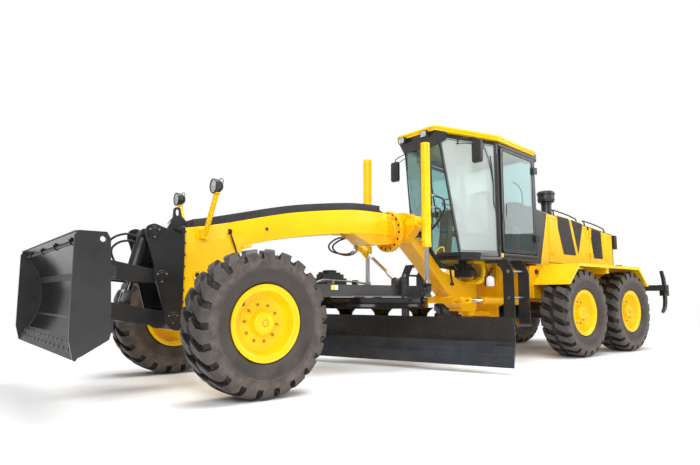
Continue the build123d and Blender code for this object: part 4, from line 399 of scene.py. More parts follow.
PAINTS = {}
FINISHES = [
    # name, record slot, colour, second tone, worn edge, settings
    ("yellow", "yellow_paint", (0.94, 0.6, 0.002), (0.91, 0.53, 0.002), (0.92, 0.66, 0.08),
     dict(rough=0.3, coat=0.12, dust=0.05, wear=0.003, bump=0.015, gleam=0.24)),
    # a darker, more orange copy of the yellow paint: painted shade for the parts low under the beam and the
    # cab
    ("yellow_painted_shade", "yellow_paint", (0.9, 0.47, 0.002), (0.85, 0.41, 0.002), (0.92, 0.6, 0.06),
     dict(rough=0.3, coat=0.12, dust=0.07, wear=0.003, bump=0.015, gleam=0.24)),
    ("black", "black_paint", (0.013, 0.013, 0.014), (0.021, 0.02, 0.02), (0.1, 0.095, 0.09),
     dict(rough=0.36, coat=0.1, dust=0.14, wear=0.003, gleam=0.35)),
    ("cover_black", "black_paint", (0.026, 0.025, 0.027), (0.04, 0.038, 0.041), (0.12, 0.12, 0.12),
     dict(rough=0.45, dust=0.12, wear=0.003, bump=0.1, gleam=0.4)),
    ("gloss_black", "gloss_black_paint", (0.0035, 0.0028, 0.0028), (0.0065, 0.005, 0.0048),
     (0.04, 0.035, 0.03), dict(rough=0.14, dust=0.02, wear=0.002, bump=0.008, gleam=0.3)),
    ("board_black", "gloss_black_paint", (0.01, 0.0125, 0.016), (0.017, 0.019, 0.023), (0.06, 0.06, 0.06),
     dict(rough=0.2, coat=0.1, dust=0.05, wear=0.002, bump=0.01)),
    # the moldboard's upper face: its black paint darkened to brown-black, a painted shade
    ("board_painted_shade", "gloss_black_paint", (0.0075, 0.0062, 0.006), (0.012, 0.01, 0.0095), (0.05, 0.045, 0.04),
     dict(rough=0.28, dust=0.04, wear=0.0, bump=0.012, gleam=0.22)),
    # the moldboard's lower face and cutting edge: black paint lightened to blue-grey, a painted sky
    # reflection
    ("board_painted_sky_reflection", "gloss_black_paint", (0.034, 0.042, 0.055), (0.026, 0.029, 0.034), (0.1, 0.1, 0.11),
     dict(rough=0.2, dust=0.06, wear=0.002, bump=0.01, gleam=0.3)),
    ("grey", "dark_grey_paint", (0.02, 0.019, 0.02), (0.029, 0.028, 0.029), (0.12, 0.11, 0.105),
     dict(rough=0.32, coat=0.1, dust=0.05, wear=0.003, bump=0.04, gleam=0.4)),
    ("drawbar_grey", "dark_grey_paint", (0.04, 0.04, 0.042), (0.055, 0.054, 0.055), (0.14, 0.13, 0.12),
     dict(rough=0.34, coat=0.15, dust=0.08, wear=0.003, bump=0.04)),
    ("cab_black", "black_paint", (0.015, 0.016, 0.018), (0.024, 0.024, 0.026), (0.09, 0.09, 0.09),
     dict(rough=0.32, coat=0.1, dust=0.06, wear=0.002, bump=0.04, gleam=0.4)),
    ("hood_black", "black_paint", (0.016, 0.019, 0.027), (0.024, 0.028, 0.038), (0.1, 0.11, 0.13),
     dict(rough=0.3, coat=0.2, dust=0.1, wear=0.003, bump=0.02, gleam=0.4)),
    # black paint lightened to blue-grey for the up-facing crown and lids: painted sky reflection
    ("hood_painted_sky_reflection", "black_paint", (0.06, 0.074, 0.098), (0.082, 0.099, 0.126), (0.2, 0.22, 0.26),
     dict(rough=0.3, coat=0.2, dust=0.1, wear=0.003, bump=0.02, gleam=0.4)),
    # the yellow paint darkened to brown on the nuts and bolt heads: painted shade
    ("nut_painted_shade", "yellow_paint", (0.42, 0.2, 0.02), (0.3, 0.13, 0.015), (0.75, 0.5, 0.12),
     dict(rough=0.45, metal=0.2, dust=0.2, wear=0.002)),
    ("hose", "black_plastic", (0.015, 0.015, 0.016), (0.025, 0.024, 0.023), (0.07, 0.065, 0.06),
     dict(rough=0.42, dust=0.12, wear=0.0, bump=0.1, grain=220.0, gleam=0.35)),
    ("plastic", "black_plastic", (0.014, 0.015, 0.017), (0.022, 0.023, 0.025), (0.07, 0.07, 0.07),
     dict(coat=0.1, dust=0.1, wear=0.002, bump=0.15, grain=300.0)),
    ("chrome", "chrome", (0.8, 0.8, 0.8), (0.72, 0.72, 0.73), (0.85, 0.85, 0.85),
     dict(rough=0.1, metal=1.0, dust=0.05, wear=0.0, bump=0.01)),
    ("steel", "chrome", (0.42, 0.4, 0.37), (0.3, 0.28, 0.26), (0.6, 0.58, 0.55),
     dict(rough=0.32, metal=1.0, dust=0.2, wear=0.002, bump=0.06)),
    ("bright_yellow", "yellow_paint", (0.95, 0.68, 0.03), (0.92, 0.62, 0.02), (0.93, 0.72, 0.15),
     dict(rough=0.32, coat=0.2, dust=0.03, wear=0.0, bump=0.02, gleam=0.4)),
    ("engine_iron", "cast_iron", (0.05, 0.05, 0.052), (0.08, 0.078, 0.075), (0.2, 0.19, 0.18),
     dict(rough=0.55, metal=0.2, dust=0.3, bump=0.3)),
    ("seat_cloth", "seat_fabric", (0.03, 0.031, 0.034), (0.045, 0.046, 0.05), (0.06, 0.06, 0.06),
     dict(rough=0.85, dust=0.05, wear=0.0, bump=0.5, grain=420.0)),
    ("white", "black_plastic", (0.8, 0.8, 0.78), (0.72, 0.72, 0.7), (0.85, 0.85, 0.85),
     dict(dust=0.1, wear=0.0, bump=0.02)),
    ("red", "black_plastic", (0.5, 0.02, 0.015), (0.42, 0.015, 0.012), (0.6, 0.1, 0.08),
     dict(rough=0.3, coat=0.4, dust=0.05, wear=0.0, bump=0.02)),
    ("copper", "black_paint", (0.16, 0.075, 0.035), (0.05, 0.035, 0.028), (0.3, 0.16, 0.08),
     dict(rough=0.45, metal=0.6, dust=0.3, bump=0.2)),
]
for name, slot_name, colour, shade, worn, settings in FINISHES:
    PAINTS[name] = make_finish(name, colour, shade, worn, **settings)


def make_mesh_black(name):
    """Woven screen on upright panels: wires where (cos x + cos y) cos z is high, near-black holes elsewhere,
    a painted shade standing for the dark space behind the screen.
    """
    material = make_finish(name, (0.03, 0.027, 0.028), (0.045, 0.04, 0.041), (0.09, 0.08, 0.08), rough=0.5,
        dust=0.25, wear=0.0, bump=0.0)
    tree = material.node_tree
    shader = tree.nodes["Principled BSDF"]
    axes = add_node(tree, "SeparateXYZ", Vector=object_place(tree))
    waves = []
    for axis in ("X", "Y", "Z"):
        waves.append(number_node(tree, "COSINE", number_node(tree, "MULTIPLY", axes.outputs[axis], 420.0)))
    level = number_node(tree, "MULTIPLY", number_node(tree, "ADD", waves[0], waves[1]), waves[2])
    wire = span_node(tree, level, -0.2, 0.5)
    feed(tree, shader.inputs["Normal"], bump_node(tree, wire, 0.7, 0.003))
    under = shader.inputs["Base Color"].links[0].from_socket
    feed(tree, shader.inputs["Base Color"], mix_colour(tree, wire, (0.008, 0.007, 0.007), under))
    return material


PAINTS["mesh_black"] = make_mesh_black("mesh_black")


def make_glass(name, colour, clear, rough):
    """Tinted glass that lets most light through and keeps a pale sheen: its pale base colour shows more where
    less light passes, and on the quarter panes that sheen is a painted reflection.
    """
    material = bpy.data.materials.new(name)
    material.use_nodes = True
    tree = material.node_tree
    streaks = span_node(tree, noise_node(tree, object_place(tree), 1.3, 4.0), 0.35, 0.7)
    tint = mix_colour(tree, streaks, colour, tuple(channel * 0.9 for channel in colour))
    for label, value in (("IOR", 1.45), ("Transmission Weight", clear), ("Base Color", tint),
            ("Roughness", span_node(tree, streaks, 0.0, 1.0, rough, rough + 0.02))):
        feed(tree, tree.nodes["Principled BSDF"].inputs[label], value)
    return material


# the quarter panes' glass lets only about half the light through, so its pale tint shows as a painted
# reflection
for name, colour, clear, rough in (("glass", (0.8, 0.88, 0.86), 0.55, 0.02),
        ("shield_glass", (0.62, 0.86, 0.86), 0.95, 0.01), ("door_glass", (0.4, 0.58, 0.57), 0.97, 0.01),
        ("lamp_glass", (0.9, 0.9, 0.9), 0.6, 0.05)):
    PAINTS[name] = make_glass(name, colour, clear, rough)


def repaint(node, material):
    """A carried-over solid takes a finish."""
    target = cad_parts[node]
    target.data.materials.clear()
    target.data.materials.append(PAINTS[material])


# ---------------------------------------- wheels
AXLE_Z = 0.672
WHEEL_Y = 1.075
LUGS = 22
# the tyre's skin from the tread's middle to the bead: half width, radius, groove depth
TYRE_SKIN = np.array([(0.0, 0.6715, 0.04), (0.014, 0.6715, 0.04), (0.06, 0.671, 0.042), (0.11, 0.67, 0.044),
    (0.15, 0.668, 0.046), (0.176, 0.663, 0.047), (0.194, 0.652, 0.047), (0.206, 0.638, 0.044),
    (0.2135, 0.62, 0.038), (0.218, 0.6, 0.03), (0.22, 0.585, 0.022), (0.2206, 0.579, 0.018),
    (0.2212, 0.573, 0.0), (0.2222, 0.54, 0.0), (0.2216, 0.52, 0.0), (0.2205, 0.507, 0.0), (0.222, 0.503, 0.0),
    (0.2214, 0.497, 0.0), (0.218, 0.493, 0.0), (0.215, 0.46, 0.0), (0.208, 0.428, 0.0), (0.196, 0.395, 0.0),
    (0.18, 0.37, 0.0), (0.164, 0.359, 0.0), (0.157, 0.353, 0.0), (0.156, 0.319, 0.0)])


def tyre_half(side, shift, curved):
    """One half of a tyre's skin.

    Round the tyre, each lug's pitch holds a raised share and a groove, joined by steep walls.
    A point's turn is its place in the pitch plus a lead that grows from the tread's middle outwards:
    a straight slant and then a short run for the front tyres, a curve for the rear ones.
    Past the shoulder the lug's share of its pitch widens in one step.
    Its depth is the groove's depth where the groove's mask is 1, and nothing on a lug's top.
    """
    fine = np.linspace(0, len(TYRE_SKIN) - 1, 2 * len(TYRE_SKIN) - 1)
    skin = np.stack([np.interp(fine, np.arange(len(TYRE_SKIN)), TYRE_SKIN[:, part]) for part in range(3)],
        axis=-1)
    across = np.concatenate([[0], np.cumsum(np.hypot(*np.diff(skin[:, :2], axis=0).T))])
    tread = np.array([-0.02, 0.035, 0.055, 0.075, 0.28, 0.485, 0.505, 0.525, 0.58, 0.78])
    shoulder = np.array([-0.16, -0.075, -0.055, -0.035, 0.26, 0.555, 0.575, 0.595, 0.62, 0.72])
    share = np.clip((across - 0.17) / 0.02, 0, 1)[:, None]
    local = tread + (shoulder - tread) * share
    groove = np.tile(np.array([1.0, 1.0, 0.0, 0.0, 0.0, 0.0, 0.0, 1.0, 1.0, 1.0]), LUGS)
    pitch = 2 * pi / LUGS
    turn = (np.arange(LUGS)[None, :, None] + local[:, None, :] + shift).reshape(len(across), -1) * pitch
    if curved:
        lead = 0.62 * np.clip(across / 0.26, 0, 1) ** 0.75
    else:
        lead = 0.62 * np.clip(across / 0.165, 0, 1) + 0.16 * np.clip((across - 0.165) / 0.05, 0, 1)
    middle = np.clip(1 - (across - 0.014) / 0.01, 0, 1)
    mask = np.maximum(groove[None, :], middle[:, None])
    slope = np.gradient(skin[:, :2], across, axis=0)
    outward = np.stack([-slope[:, 1], slope[:, 0]], axis=-1)
    outward[:, 0] = np.abs(outward[:, 0])
    outward[:, 1] = np.where(across < 0.2, np.abs(outward[:, 1]), outward[:, 1])
    depth = mask * skin[:, 2:3]
    half = skin[:, 0:1] - outward[:, 0:1] * depth
    radius = skin[:, 1:2] - outward[:, 1:2] * depth
    angle = turn + side * lead[:, None] * pitch
    points = np.stack([radius * np.sin(angle), np.broadcast_to(side * half, angle.shape),
        radius * np.cos(angle)], axis=-1)
    return points.reshape(-1, 3), ring_faces(*angle.shape)


def tyre(axle_x, axle_y, curved):
    """Two staggered halves and the beads' inner wall, carried to the wheel's middle."""
    wall = np.array([(0.319, 0.156), (0.3185, 0.1), (0.3185, -0.1), (0.319, -0.156)])
    turn = np.linspace(0, 2 * pi, 96, endpoint=False)
    inner = np.stack([wall[:, 0:1] * np.sin(turn), np.broadcast_to(wall[:, 1:2], (4, 96)),
        wall[:, 0:1] * np.cos(turn)], axis=-1)
    shells = [tyre_half(1, 0.0, curved), tyre_half(-1, 0.5, curved),
        (inner.reshape(-1, 3), ring_faces(4, 96))]
    return [(points + (axle_x, axle_y, AXLE_Z), faces) for points, faces in shells]


def mark_tyre(piece, axle_x, axle_y):
    """Stores two numbers a point for the rubber: its radius from the axle and its depth inside the skin,
    which sets the grooves' painted shade.
    """
    mesh = piece.data
    place = np.empty(len(mesh.vertices) * 3)
    mesh.vertices.foreach_get("co", place)
    place = place.reshape(-1, 3)
    radius = np.hypot(place[:, 0] - axle_x, place[:, 2] - AXLE_Z)
    across = np.abs(place[:, 1] - axle_y)
    fine = np.linspace(0, len(TYRE_SKIN) - 1, 180)
    skin = np.stack([np.interp(fine, np.arange(len(TYRE_SKIN)), TYRE_SKIN[:, part]) for part in range(2)],
        axis=-1)
    inside = np.hypot(across[:, None] - skin[None, :, 0], radius[:, None] - skin[None, :, 1]).min(axis=1)
    for label, values in (("skin_radius", radius), ("skin_depth", inside)):
        mesh.attributes.new(label, "FLOAT", "POINT").data.foreach_set("value", values.astype(np.float32))


def make_rubber(name):
    """Tyre rubber: grooves darkened to near-black by their depth as painted shade, greyer lug tops, a dusty
    band below them, a darker smooth sidewall.
    """
    material = make_finish(name, (0.026, 0.021, 0.019), (0.04, 0.032, 0.028), (0.3, 0.24, 0.2), rough=0.55,
        dust=0.16, wear=0.007, bump=0.3, grain=70.0, tone_scale=9.0)
    tree = material.node_tree
    worn = tree.nodes["Principled BSDF"].inputs["Base Color"].links[0].from_node
    under = worn.inputs[6].links[0].from_socket
    numbers = []
    for label in ("skin_radius", "skin_depth"):
        reader = add_node(tree, "Attribute")
        reader.attribute_name = label
        numbers.append(reader.outputs["Fac"])
    radius, depth = numbers
    patches = span_node(tree, noise_node(tree, object_place(tree), 13.0, 6.0), 0.36, 0.64)
    low, high = span_node(tree, radius, 0.47, 0.535), span_node(tree, radius, 0.655, 0.56)
    band = number_node(tree, "MULTIPLY", number_node(tree, "MULTIPLY", low, high),
        number_node(tree, "ADD", patches, 0.25))
    colour = mix_colour(tree, number_node(tree, "MULTIPLY", band, 0.55), under, (0.15, 0.118, 0.098))
    crown = span_node(tree, radius, 0.655, 0.668)
    colour = mix_colour(tree, number_node(tree, "MULTIPLY", crown, 0.75), colour, (0.066, 0.062, 0.062))
    # the deeper a point lies in a groove, the nearer it goes to near-black: painted shade in the grooves
    groove = span_node(tree, depth, 0.004, 0.016)
    dark = mix_colour(tree, patches, (0.0035, 0.003, 0.003), (0.011, 0.008, 0.0065))
    feed(tree, worn.inputs[6], mix_colour(tree, number_node(tree, "MULTIPLY", groove, 0.94), colour, dark))
    return material


PAINTS["rubber"] = make_rubber("rubber")
RIM_LINE = [  # radius, distance outboard of the wheel's middle
    (0.3172, -0.16), (0.3172, 0.16), (0.351, 0.164), (0.3515, 0.17), (0.349, 0.1775), (0.34, 0.178),
    (0.333, 0.17), (0.328, 0.1665), (0.323, 0.1665), (0.318, 0.169), (0.298, 0.163), (0.29, 0.156),
    (0.286, 0.142), (0.28, 0.118), (0.264, 0.072), (0.252, 0.056), (0.24, 0.0525), (0.212, 0.0525),
    (0.208, 0.056), (0.125, 0.056), (0.12, 0.06), (0.113, 0.07), (0.109, 0.09), (0.106, 0.124),
    (0.1, 0.133), (0.09, 0.137), (0.086, 0.142), (0.082, 0.147), (0.072, 0.1475), (0.07, 0.15),
    (0.0505, 0.1495),
    (0.0505, -0.059), (0.118, -0.059), (0.12, 0.035), (0.24, 0.035), (0.3, 0.03), (0.302, -0.15),
    (0.31, -0.177), (0.35, -0.178), (0.3515, -0.166), (0.3172, -0.16)]

for axle, x, curved in (("front", 3.7, False), ("middle", -1.88, True), ("rear", -3.42, True)):
    for side_name, side in SIDES:
        y = side * WHEEL_Y
        body = f"wheel_{axle}_{side_name}"
        piece = put(f"lugged_tyre_{axle}_{side_name}", tyre(x, y, curved), "rubber", body, angle=28,
            hides=(f"tyre_{axle}_{side_name}",))
        mark_tyre(piece, x, y)
        hub = [lathe(RIM_LINE, (x, y, AXLE_Z), (0, side, 0), 96),
            rod((x, y + side * 0.1475, AXLE_Z), (x, y + side * 0.1497, AXLE_Z), 0.056, 24)]
        hub += [rod(spot, spot + np.array((0, side * 0.009, 0)), 0.0185, 20, 0.002)
            for spot in on_circle((x, y + side * 0.0555, AXLE_Z), (0, side, 0), 0.168, 10, 0.1)]
        put(f"wheel_rim_{axle}_{side_name}", hub, "yellow", body, angle=32,
            hides=(f"rim_{axle}_{side_name}",))
        nuts = []
        for out, reach, count, first, radius, high in ((0.064, 0.168, 10, 0.1, 0.0115, 0.016),
                (0.1492, 0.03, 8, 0.2, 0.006, 0.005), (0.0555, 0.145, 2, 0.75, 0.005, 0.004)):
            nuts += hexes(on_circle((x, y + side * out, AXLE_Z), (0, side, 0), reach, count, first),
                (0, side, 0), radius, high)
        # the nuts carry the yellow paint's painted shade
        put(f"wheel_nuts_{axle}_{side_name}", nuts, "nut_painted_shade", body, angle=32)
        valve = np.array((x + 0.19, y + side * 0.08, AXLE_Z + 0.17))
        put(f"tyre_valve_{axle}_{side_name}", [rod(valve, valve + np.array((0.02, side * 0.06, 0.02)), 0.0065,
            12, 0.001), rod(valve, valve - np.array((0, side * 0.026, 0)), 0.017, 16, 0.003)], "plastic",
            body)

# ---------------------------------------- finishes on the solids that stay in view
SOLID_FINISHES = {  # finish: the solids that take it
    "yellow": ("front_axle", "lean_bar", "lean_bracket_left", "lean_bracket_right",
               "knuckle_left", "knuckle_right"),
    # the rear frame and the articulation barrels take the yellow's painted shade
    "yellow_painted_shade": ("rear_frame", "artic_barrel_left", "artic_barrel_right"),
    "black": ("dozer_barrel", "tandem_axle", "ripper_frame", "ripper_barrel", "blade_carrier"),
    "grey": ("dozer_blade",),
    "drawbar_grey": ("drawbar",),
    "board_black": ("moldboard",),
    "gloss_black": ("circle",),
    "chrome": ("swing_rod", "dozer_rod", "ripper_rod"),
    "engine_iron": ("engine_block",),
}
for finish_name, node_names in SOLID_FINISHES.items():
    for node_name in node_names:
        repaint(node_name, finish_name)

# ---------------------------------------- front blade
EDGE = 5.31                    # the blade's foremost edge
BOARD_HALF = 1.236
board = arc((EDGE - 0.008, 1.386), (EDGE - 0.2232, 0.93), (EDGE - 0.093, 0.5595), 40)
back_line = arc((EDGE - 0.029, 1.386), (EDGE - 0.2432, 0.93), (EDGE - 0.112, 0.556), 40)
for name, line, thick in (("front_board_face", board, -0.0035), ("front_board_back", back_line, 0.003)):
    put(name, [sheet_between(line, line + (thick, 0.0), -BOARD_HALF, BOARD_HALF)], "gloss_black",
        "dozer_blade", angle=50)
# a lip along the top, a stiffening bar under it, and bolts along the bevelled cutting edge
trim = [plate([(EDGE - 0.034, 1.3795), (EDGE - 0.004, 1.3795), (EDGE - 0.004, 1.3895),
    (EDGE - 0.034, 1.3895)], 0.004, -BOARD_HALF, BOARD_HALF),
    rod((EDGE - 0.062, -BOARD_HALF, 1.325), (EDGE - 0.062, BOARD_HALF, 1.325), 0.014, 16)]
trim += [plate([(EDGE - 0.078, 1.3), (EDGE - 0.04, 1.31), (EDGE - 0.03, 1.352), (EDGE - 0.062, 1.348)], 0.006,
    y - 0.012, y + 0.012) for y in (-0.9, -0.3, 0.3, 0.9)]
put("front_board_trim", trim, "black", "dozer_blade", bevel=0.0015)
edge_bolts = [(EDGE - back, y, z) for back, z in ((0.0775, 0.5585), (0.056, 0.511))
    for y in np.linspace(-1.17, 1.17, 14)]
put("front_edge_bolts", hexes(edge_bolts, (0.85, 0, 0.36), 0.013, 0.006), "steel", "dozer_blade")
# seams where the end plates are welded to the board, and the end plates' edge strips
seam = tube(upright(board - (0.001, 0), BOARD_HALF + 0.0005), 0.005, 8, smooth=False)
put("front_board_seams", both([seam]), "grey", "dozer_blade")
END_LINE = rounded([(5.09, 1.39), (5.285, 1.39), (5.31, 1.35), (5.31, 0.6), (5.275, 0.456), (5.22, 0.48),
    (5.035, 0.59), (5.025, 0.64), (5.06, 1.34)], 0.03)
END_INSET = END_LINE + (np.array((5.17, 0.95)) - END_LINE) * 0.045
for side_name, side in SIDES:
    rows = [upright(line, side * y) for line, y in ((END_LINE, 1.2605), (END_LINE, 1.2618),
        (END_INSET, 1.2618), (END_INSET, 1.2605))]
    eye = lathe([(0.023, 0), (0.034, 0), (0.034, 0.0014), (0.024, 0.0014), (0.023, 0)],
        (5.115, side * 1.2605, 1.335), (0, side, 0), 32)
    put(f"end_plate_rim_{side_name}", [loft(rows, closed=True), eye], "grey", "dozer_blade", angle=30)

# ---------------------------------------- front blade's mount, arms and cylinder
MOUNT_PINS = ((4.409, 1.53), (4.32, 1.1), (4.194, 0.698))
pins, pin_bolts = [], []
for (x, z), radius in zip(MOUNT_PINS, (0.062, 0.06, 0.06)):
    spot = np.array((x, 0.292, z))
    pins.append(lathe([(radius, 0), (radius, 0.008), (radius * 0.94, 0.011), (radius * 0.68, 0.012),
        (radius * 0.66, 0.026), (radius * 0.6, 0.03), (0.012, 0.03), (0.01, 0.026)], spot, LEFT, 40))
    pin_bolts += [(spot + (0, 0.011, 0), radius * 0.8)]
put("mount_pin_caps", both(pins), "black", "front_frame", angle=32)
put("mount_pin_bolts", [bolt for side in (1, -1) for spot, reach in pin_bolts
    for bolt in hexes(on_circle(spot * (1, side, 1), (0, side, 0), reach, 3, 0.5), (0, side, 0), 0.007,
    0.008)], "steel", "front_frame")
flange_bolts = [(4.0995, y, z) for y in (0.271, -0.271) for z in np.linspace(0.62, 1.56, 9)]
put("mount_flange_bolts", hexes(flange_bolts, (-1, 0, 0), 0.014, 0.016), "copper", "front_frame")


def plate_with_hole(outline, centre, hole, low, high):
    """A plate with an oval hole: edge and hole are both read at even turns round the hole's centre."""
    outline, centre = np.asarray(outline), np.asarray(centre)
    dense = np.vstack([np.linspace(p, q, 40, endpoint=False) for p, q in zip(outline,
        np.roll(outline, -1, axis=0))])
    angle = np.arctan2(*(dense - centre).T[::-1])
    order = np.argsort(angle)
    turn = np.linspace(-pi, pi, 96, endpoint=False)
    reach = np.interp(turn, angle[order], np.hypot(*(dense - centre).T)[order], period=2 * pi)
    way = np.stack([np.cos(turn), np.sin(turn)], axis=-1)
    outer, inner = centre + way * reach[:, None], centre + way * np.asarray(hole)
    rows = [upright(line, y) for line, y in ((outer, low), (outer, high), (inner, high), (inner, low))]
    return loft(rows, closed=True)


mount = [plate([(-0.29, 0.575), (0.29, 0.575), (0.29, 1.612), (-0.29, 1.612)], 0.02, 4.101, 4.127, "x")]
mount += both([plate([(4.105, 0.575), (4.105, 1.518), (4.349, 1.594), (4.409, 1.617), (4.478, 1.59),
    (4.499, 1.52), (4.459, 1.42), (4.394, 1.19), (4.399, 1.092), (4.359, 1.022), (4.269, 0.7), (4.249, 0.622),
    (4.18, 0.575)], 0.03, 0.268, 0.2915), plate([(4.112, 1.402), (4.112, 1.598), (4.409, 1.598),
    (4.468, 1.53), (4.409, 1.462), (4.3, 1.432)], 0.02, 0.063, 0.089),
    plate([(4.13, 1.32), (4.3, 1.42), (4.31, 1.405), (4.14, 1.3)], 0.004, 0.291, 0.2935),
    *[block((4.127, 0.2, z - 0.006), (4.26, 0.27, z + 0.006)) for z in (0.8, 1.28)]])
mount += [rod((x, -0.3055, z), (x, 0.3055, z), 0.0348, 28) for x, z in MOUNT_PINS]
put("blade_mount_plates", mount, "black", "front_frame", bevel=0.003, hides=("dozer_mount",))
lifting = rounded([(4.198, 1.606), (4.19, 1.65), (4.126, 1.7), (4.12, 1.838), (4.054, 1.846), (4.03, 1.732),
    (3.977, 1.7), (3.972, 1.65), (4.098, 1.606)], 0.03)
put("lifting_plate", [plate_with_hole(lifting, (4.081, 1.785), (0.02, 0.036), -0.0148, 0.0148)], "hood_black",
    "front_frame", bevel=0.002)

arms = both([plate([(4.15, 0.645), (4.33, 0.622), (4.765, 0.7), (4.86, 0.65), (4.885, 0.7), (4.87, 0.84),
    (4.765, 0.858), (4.33, 0.776), (4.155, 0.752)], 0.03, 0.196, 0.2445)])
arms.append(block((4.531, -0.2, 0.672), (4.639, 0.2, 0.742)))
arms.append(plate([(4.533, 0.73), (4.637, 0.73), (4.622, 0.875), (4.575, 0.91), (4.53, 0.875)], 0.03, -0.0198,
    0.0198))
put("blade_arms", arms, "black", "dozer_arms", bevel=0.003, hides=("dozer_arms",))
links = both([plate([(4.27, 1.05), (4.426, 1.04), (4.79, 1.07), (4.96, 1.03), (5.0, 1.09), (5.0, 1.245),
    (4.8, 1.25), (4.418, 1.176), (4.28, 1.158)], 0.03, 0.196, 0.2445)])
put("blade_links", links, "black", "dozer_links", bevel=0.003, hides=("dozer_links",))
brackets = both([plate([(5.07, 1.3), (4.96, 1.29), (4.91, 1.22), (4.912, 1.052), (5.005, 1.018),
    (4.999, 0.87), (4.8, 0.86), (4.786, 0.72), (4.8, 0.642), (5.055, 0.622)], 0.03, 0.2512, 0.2705)])
put("blade_pin_brackets", brackets, "black", "dozer_blade", bevel=0.002)

START, STOP = np.array((4.409, 0, 1.53)), np.array((4.575, 0, 0.867))
WAY = (STOP - START) / np.linalg.norm(STOP - START)
port, upper_port = START + WAY * 0.41, START + WAY * 0.1
barrel = [lathe([(0.0605, 0.04), (0.0605, 0.11), (0.069, 0.125), (0.069, 0.43), (0.074, 0.435), (0.074, 0.48),
    (0.064, 0.492), (0.031, 0.4955)], START, WAY, 40), block(port + (-0.1, -0.03, -0.03),
    port + (-0.055, 0.03, 0.03)), block(upper_port + (-0.095, -0.028, -0.025),
    upper_port + (-0.05, 0.028, 0.025))]
put("front_cylinder_barrel", barrel, "black", "dozer_barrel", bevel=0.002)
ports = [lathe([(0.012, 0), (0.017, 0.004), (0.017, 0.02), (0.012, 0.024), (0.011, 0.04)], spot,
    (-0.9, 0, 0.4), 20) for spot in (port + (-0.09, 0.014, 0.0), upper_port + (-0.085, -0.012, 0.0))]
put("front_cylinder_ports", ports, "steel", "dozer_barrel")
FRONT_HOSES = ([port + (-0.12, 0.014, 0.01), (4.62, 0.03, 1.12), (4.74, 0.03, 1.24), (4.78, 0.03, 1.36),
    (4.72, 0.03, 1.47), (4.6, 0.03, 1.52), (4.5, 0.035, 1.5)],
    [port + (-0.115, -0.012, 0.01), (4.6, -0.02, 1.16), (4.69, -0.02, 1.27), (4.71, -0.02, 1.37),
    (4.64, -0.02, 1.44), (4.54, -0.02, 1.46), (4.48, -0.012, 1.44)],
    [(4.41, 0.05, 1.46), (4.34, 0.055, 1.52), (4.24, 0.06, 1.5), (4.2, 0.06, 1.46), (4.175, 0.06, 1.4)])
put("front_cylinder_hoses", [tube(line, 0.011, 12) for line in FRONT_HOSES], "hose", "dozer_barrel")
arm_caps = both([lathe([(0.052, 0), (0.052, 0.01), (0.048, 0.013), (0.03, 0.014), (0.028, 0.02),
    (0.008, 0.02)], (x, 0.271, z), LEFT, 32) for x, z in ((4.834, 0.688), (4.96, 1.09))])
put("blade_pin_caps", arm_caps, "black", "dozer_blade", angle=32)

# ---------------------------------------- front frame: nose, arched beam, saddle, gooseneck
BEAM_HALF, NOSE_HALF = 0.14, 0.25
NOSE_REAR, NOSE_FRONT = 3.555, 4.0985
BEAM_TOP = np.array([(1.17, 2.03), (1.337, 2.04), (1.823, 2.029), (2.502, 1.941), (2.969, 1.853),
    (3.741, 1.668), (4.1, 1.598)])
BEAM_UNDER = np.array([(1.17, 1.742), (1.718, 1.735), (2.005, 1.705), (2.477, 1.645), (2.946, 1.565),
    (3.357, 1.47)])
SADDLE_Z = 1.81
LIFT_X, LIFT_Y = 0.93, 0.6  # the lift cylinders' upright axes


def nose_half(x):
    """Half the frame's width: straight along the beam, and wider in proportion to the way into the nose."""
    return BEAM_HALF + (NOSE_HALF - BEAM_HALF) * np.clip((x - NOSE_REAR) / (4.1 - NOSE_REAR), 0, None)


def box_run(x, half, low, high, radius=0.01):
    """A box along X whose half width, underside and top change with x, with rounded long edges."""
    x = np.asarray(x, float)
    half, low, high = (np.broadcast_to(value, x.shape) for value in (half, low, high))
    turn = np.linspace(0, pi / 2, 4)
    rows = np.empty((len(x), 4 * len(turn), 3))
    rows[:, :, 0] = x[:, None]
    for number, (across, up) in enumerate(((1, 1), (-1, 1), (-1, -1), (1, -1))):
        part = slice(number * len(turn), (number + 1) * len(turn))
        angle = turn + number * pi / 2
        rows[:, part, 1] = across * (half - radius)[:, None] + radius * np.cos(angle)
        rows[:, part, 2] = ((high if up > 0 else low) - up * radius)[:, None] + radius * np.sin(angle)
    return loft(rows)


def soft_line(line, x):
    """Heights at places along a line, on a smooth curve through its points."""
    curve = through(np.column_stack([line, np.zeros(len(line))]), 10)
    return np.interp(x, curve[:, 0], curve[:, 1])


stations = np.unique(np.concatenate([np.linspace(1.171, NOSE_FRONT, 64), BEAM_TOP[1:-1, 0], BEAM_UNDER[1:, 0],
    (3.48, NOSE_REAR)]))
top = soft_line(BEAM_TOP, stations)
under = np.where(stations <= 3.357, soft_line(BEAM_UNDER, stations),
    np.interp(stations, (3.357, 3.48, NOSE_REAR), (1.47, 1.25, 1.0)))
beam = [box_run(stations, nose_half(stations), under, top)]
beam += [box_run(span, nose_half(np.array(span)), 0.562, 1.02)
    for span in ((3.5555, 3.6165), (3.7855, NOSE_FRONT))]
beam.append(rod((3.56, 0, 0.64), (3.8, 0, 0.64), 0.0445, 28))
bend = np.linspace(0.2, pi - 0.2, 16)
ear = np.vstack([[(3.56, 1.032), (3.56, 0.908)], (3.29, 0.97) - 0.062 * np.stack([np.sin(bend), np.cos(bend)],
    axis=-1)])
beam += [prism(ear, y, y + 0.029) for y in (-0.095, 0.066)]
beam.append(rod((3.29, -0.099, 0.97), (3.29, 0.099, 0.97), 0.035, 28, 0.004))
put("arched_beam", beam, "yellow", "front_frame", bevel=0.003, hides=("front_frame",))
outline = rounded([(4.085, 1.442), (3.7, 1.516), (3.445, 1.575), (3.36, 1.555), (3.378, 1.49), (3.5, 1.3),
    (3.6, 1.02), (3.6, 0.6), (4.085, 0.6)], 0.045)
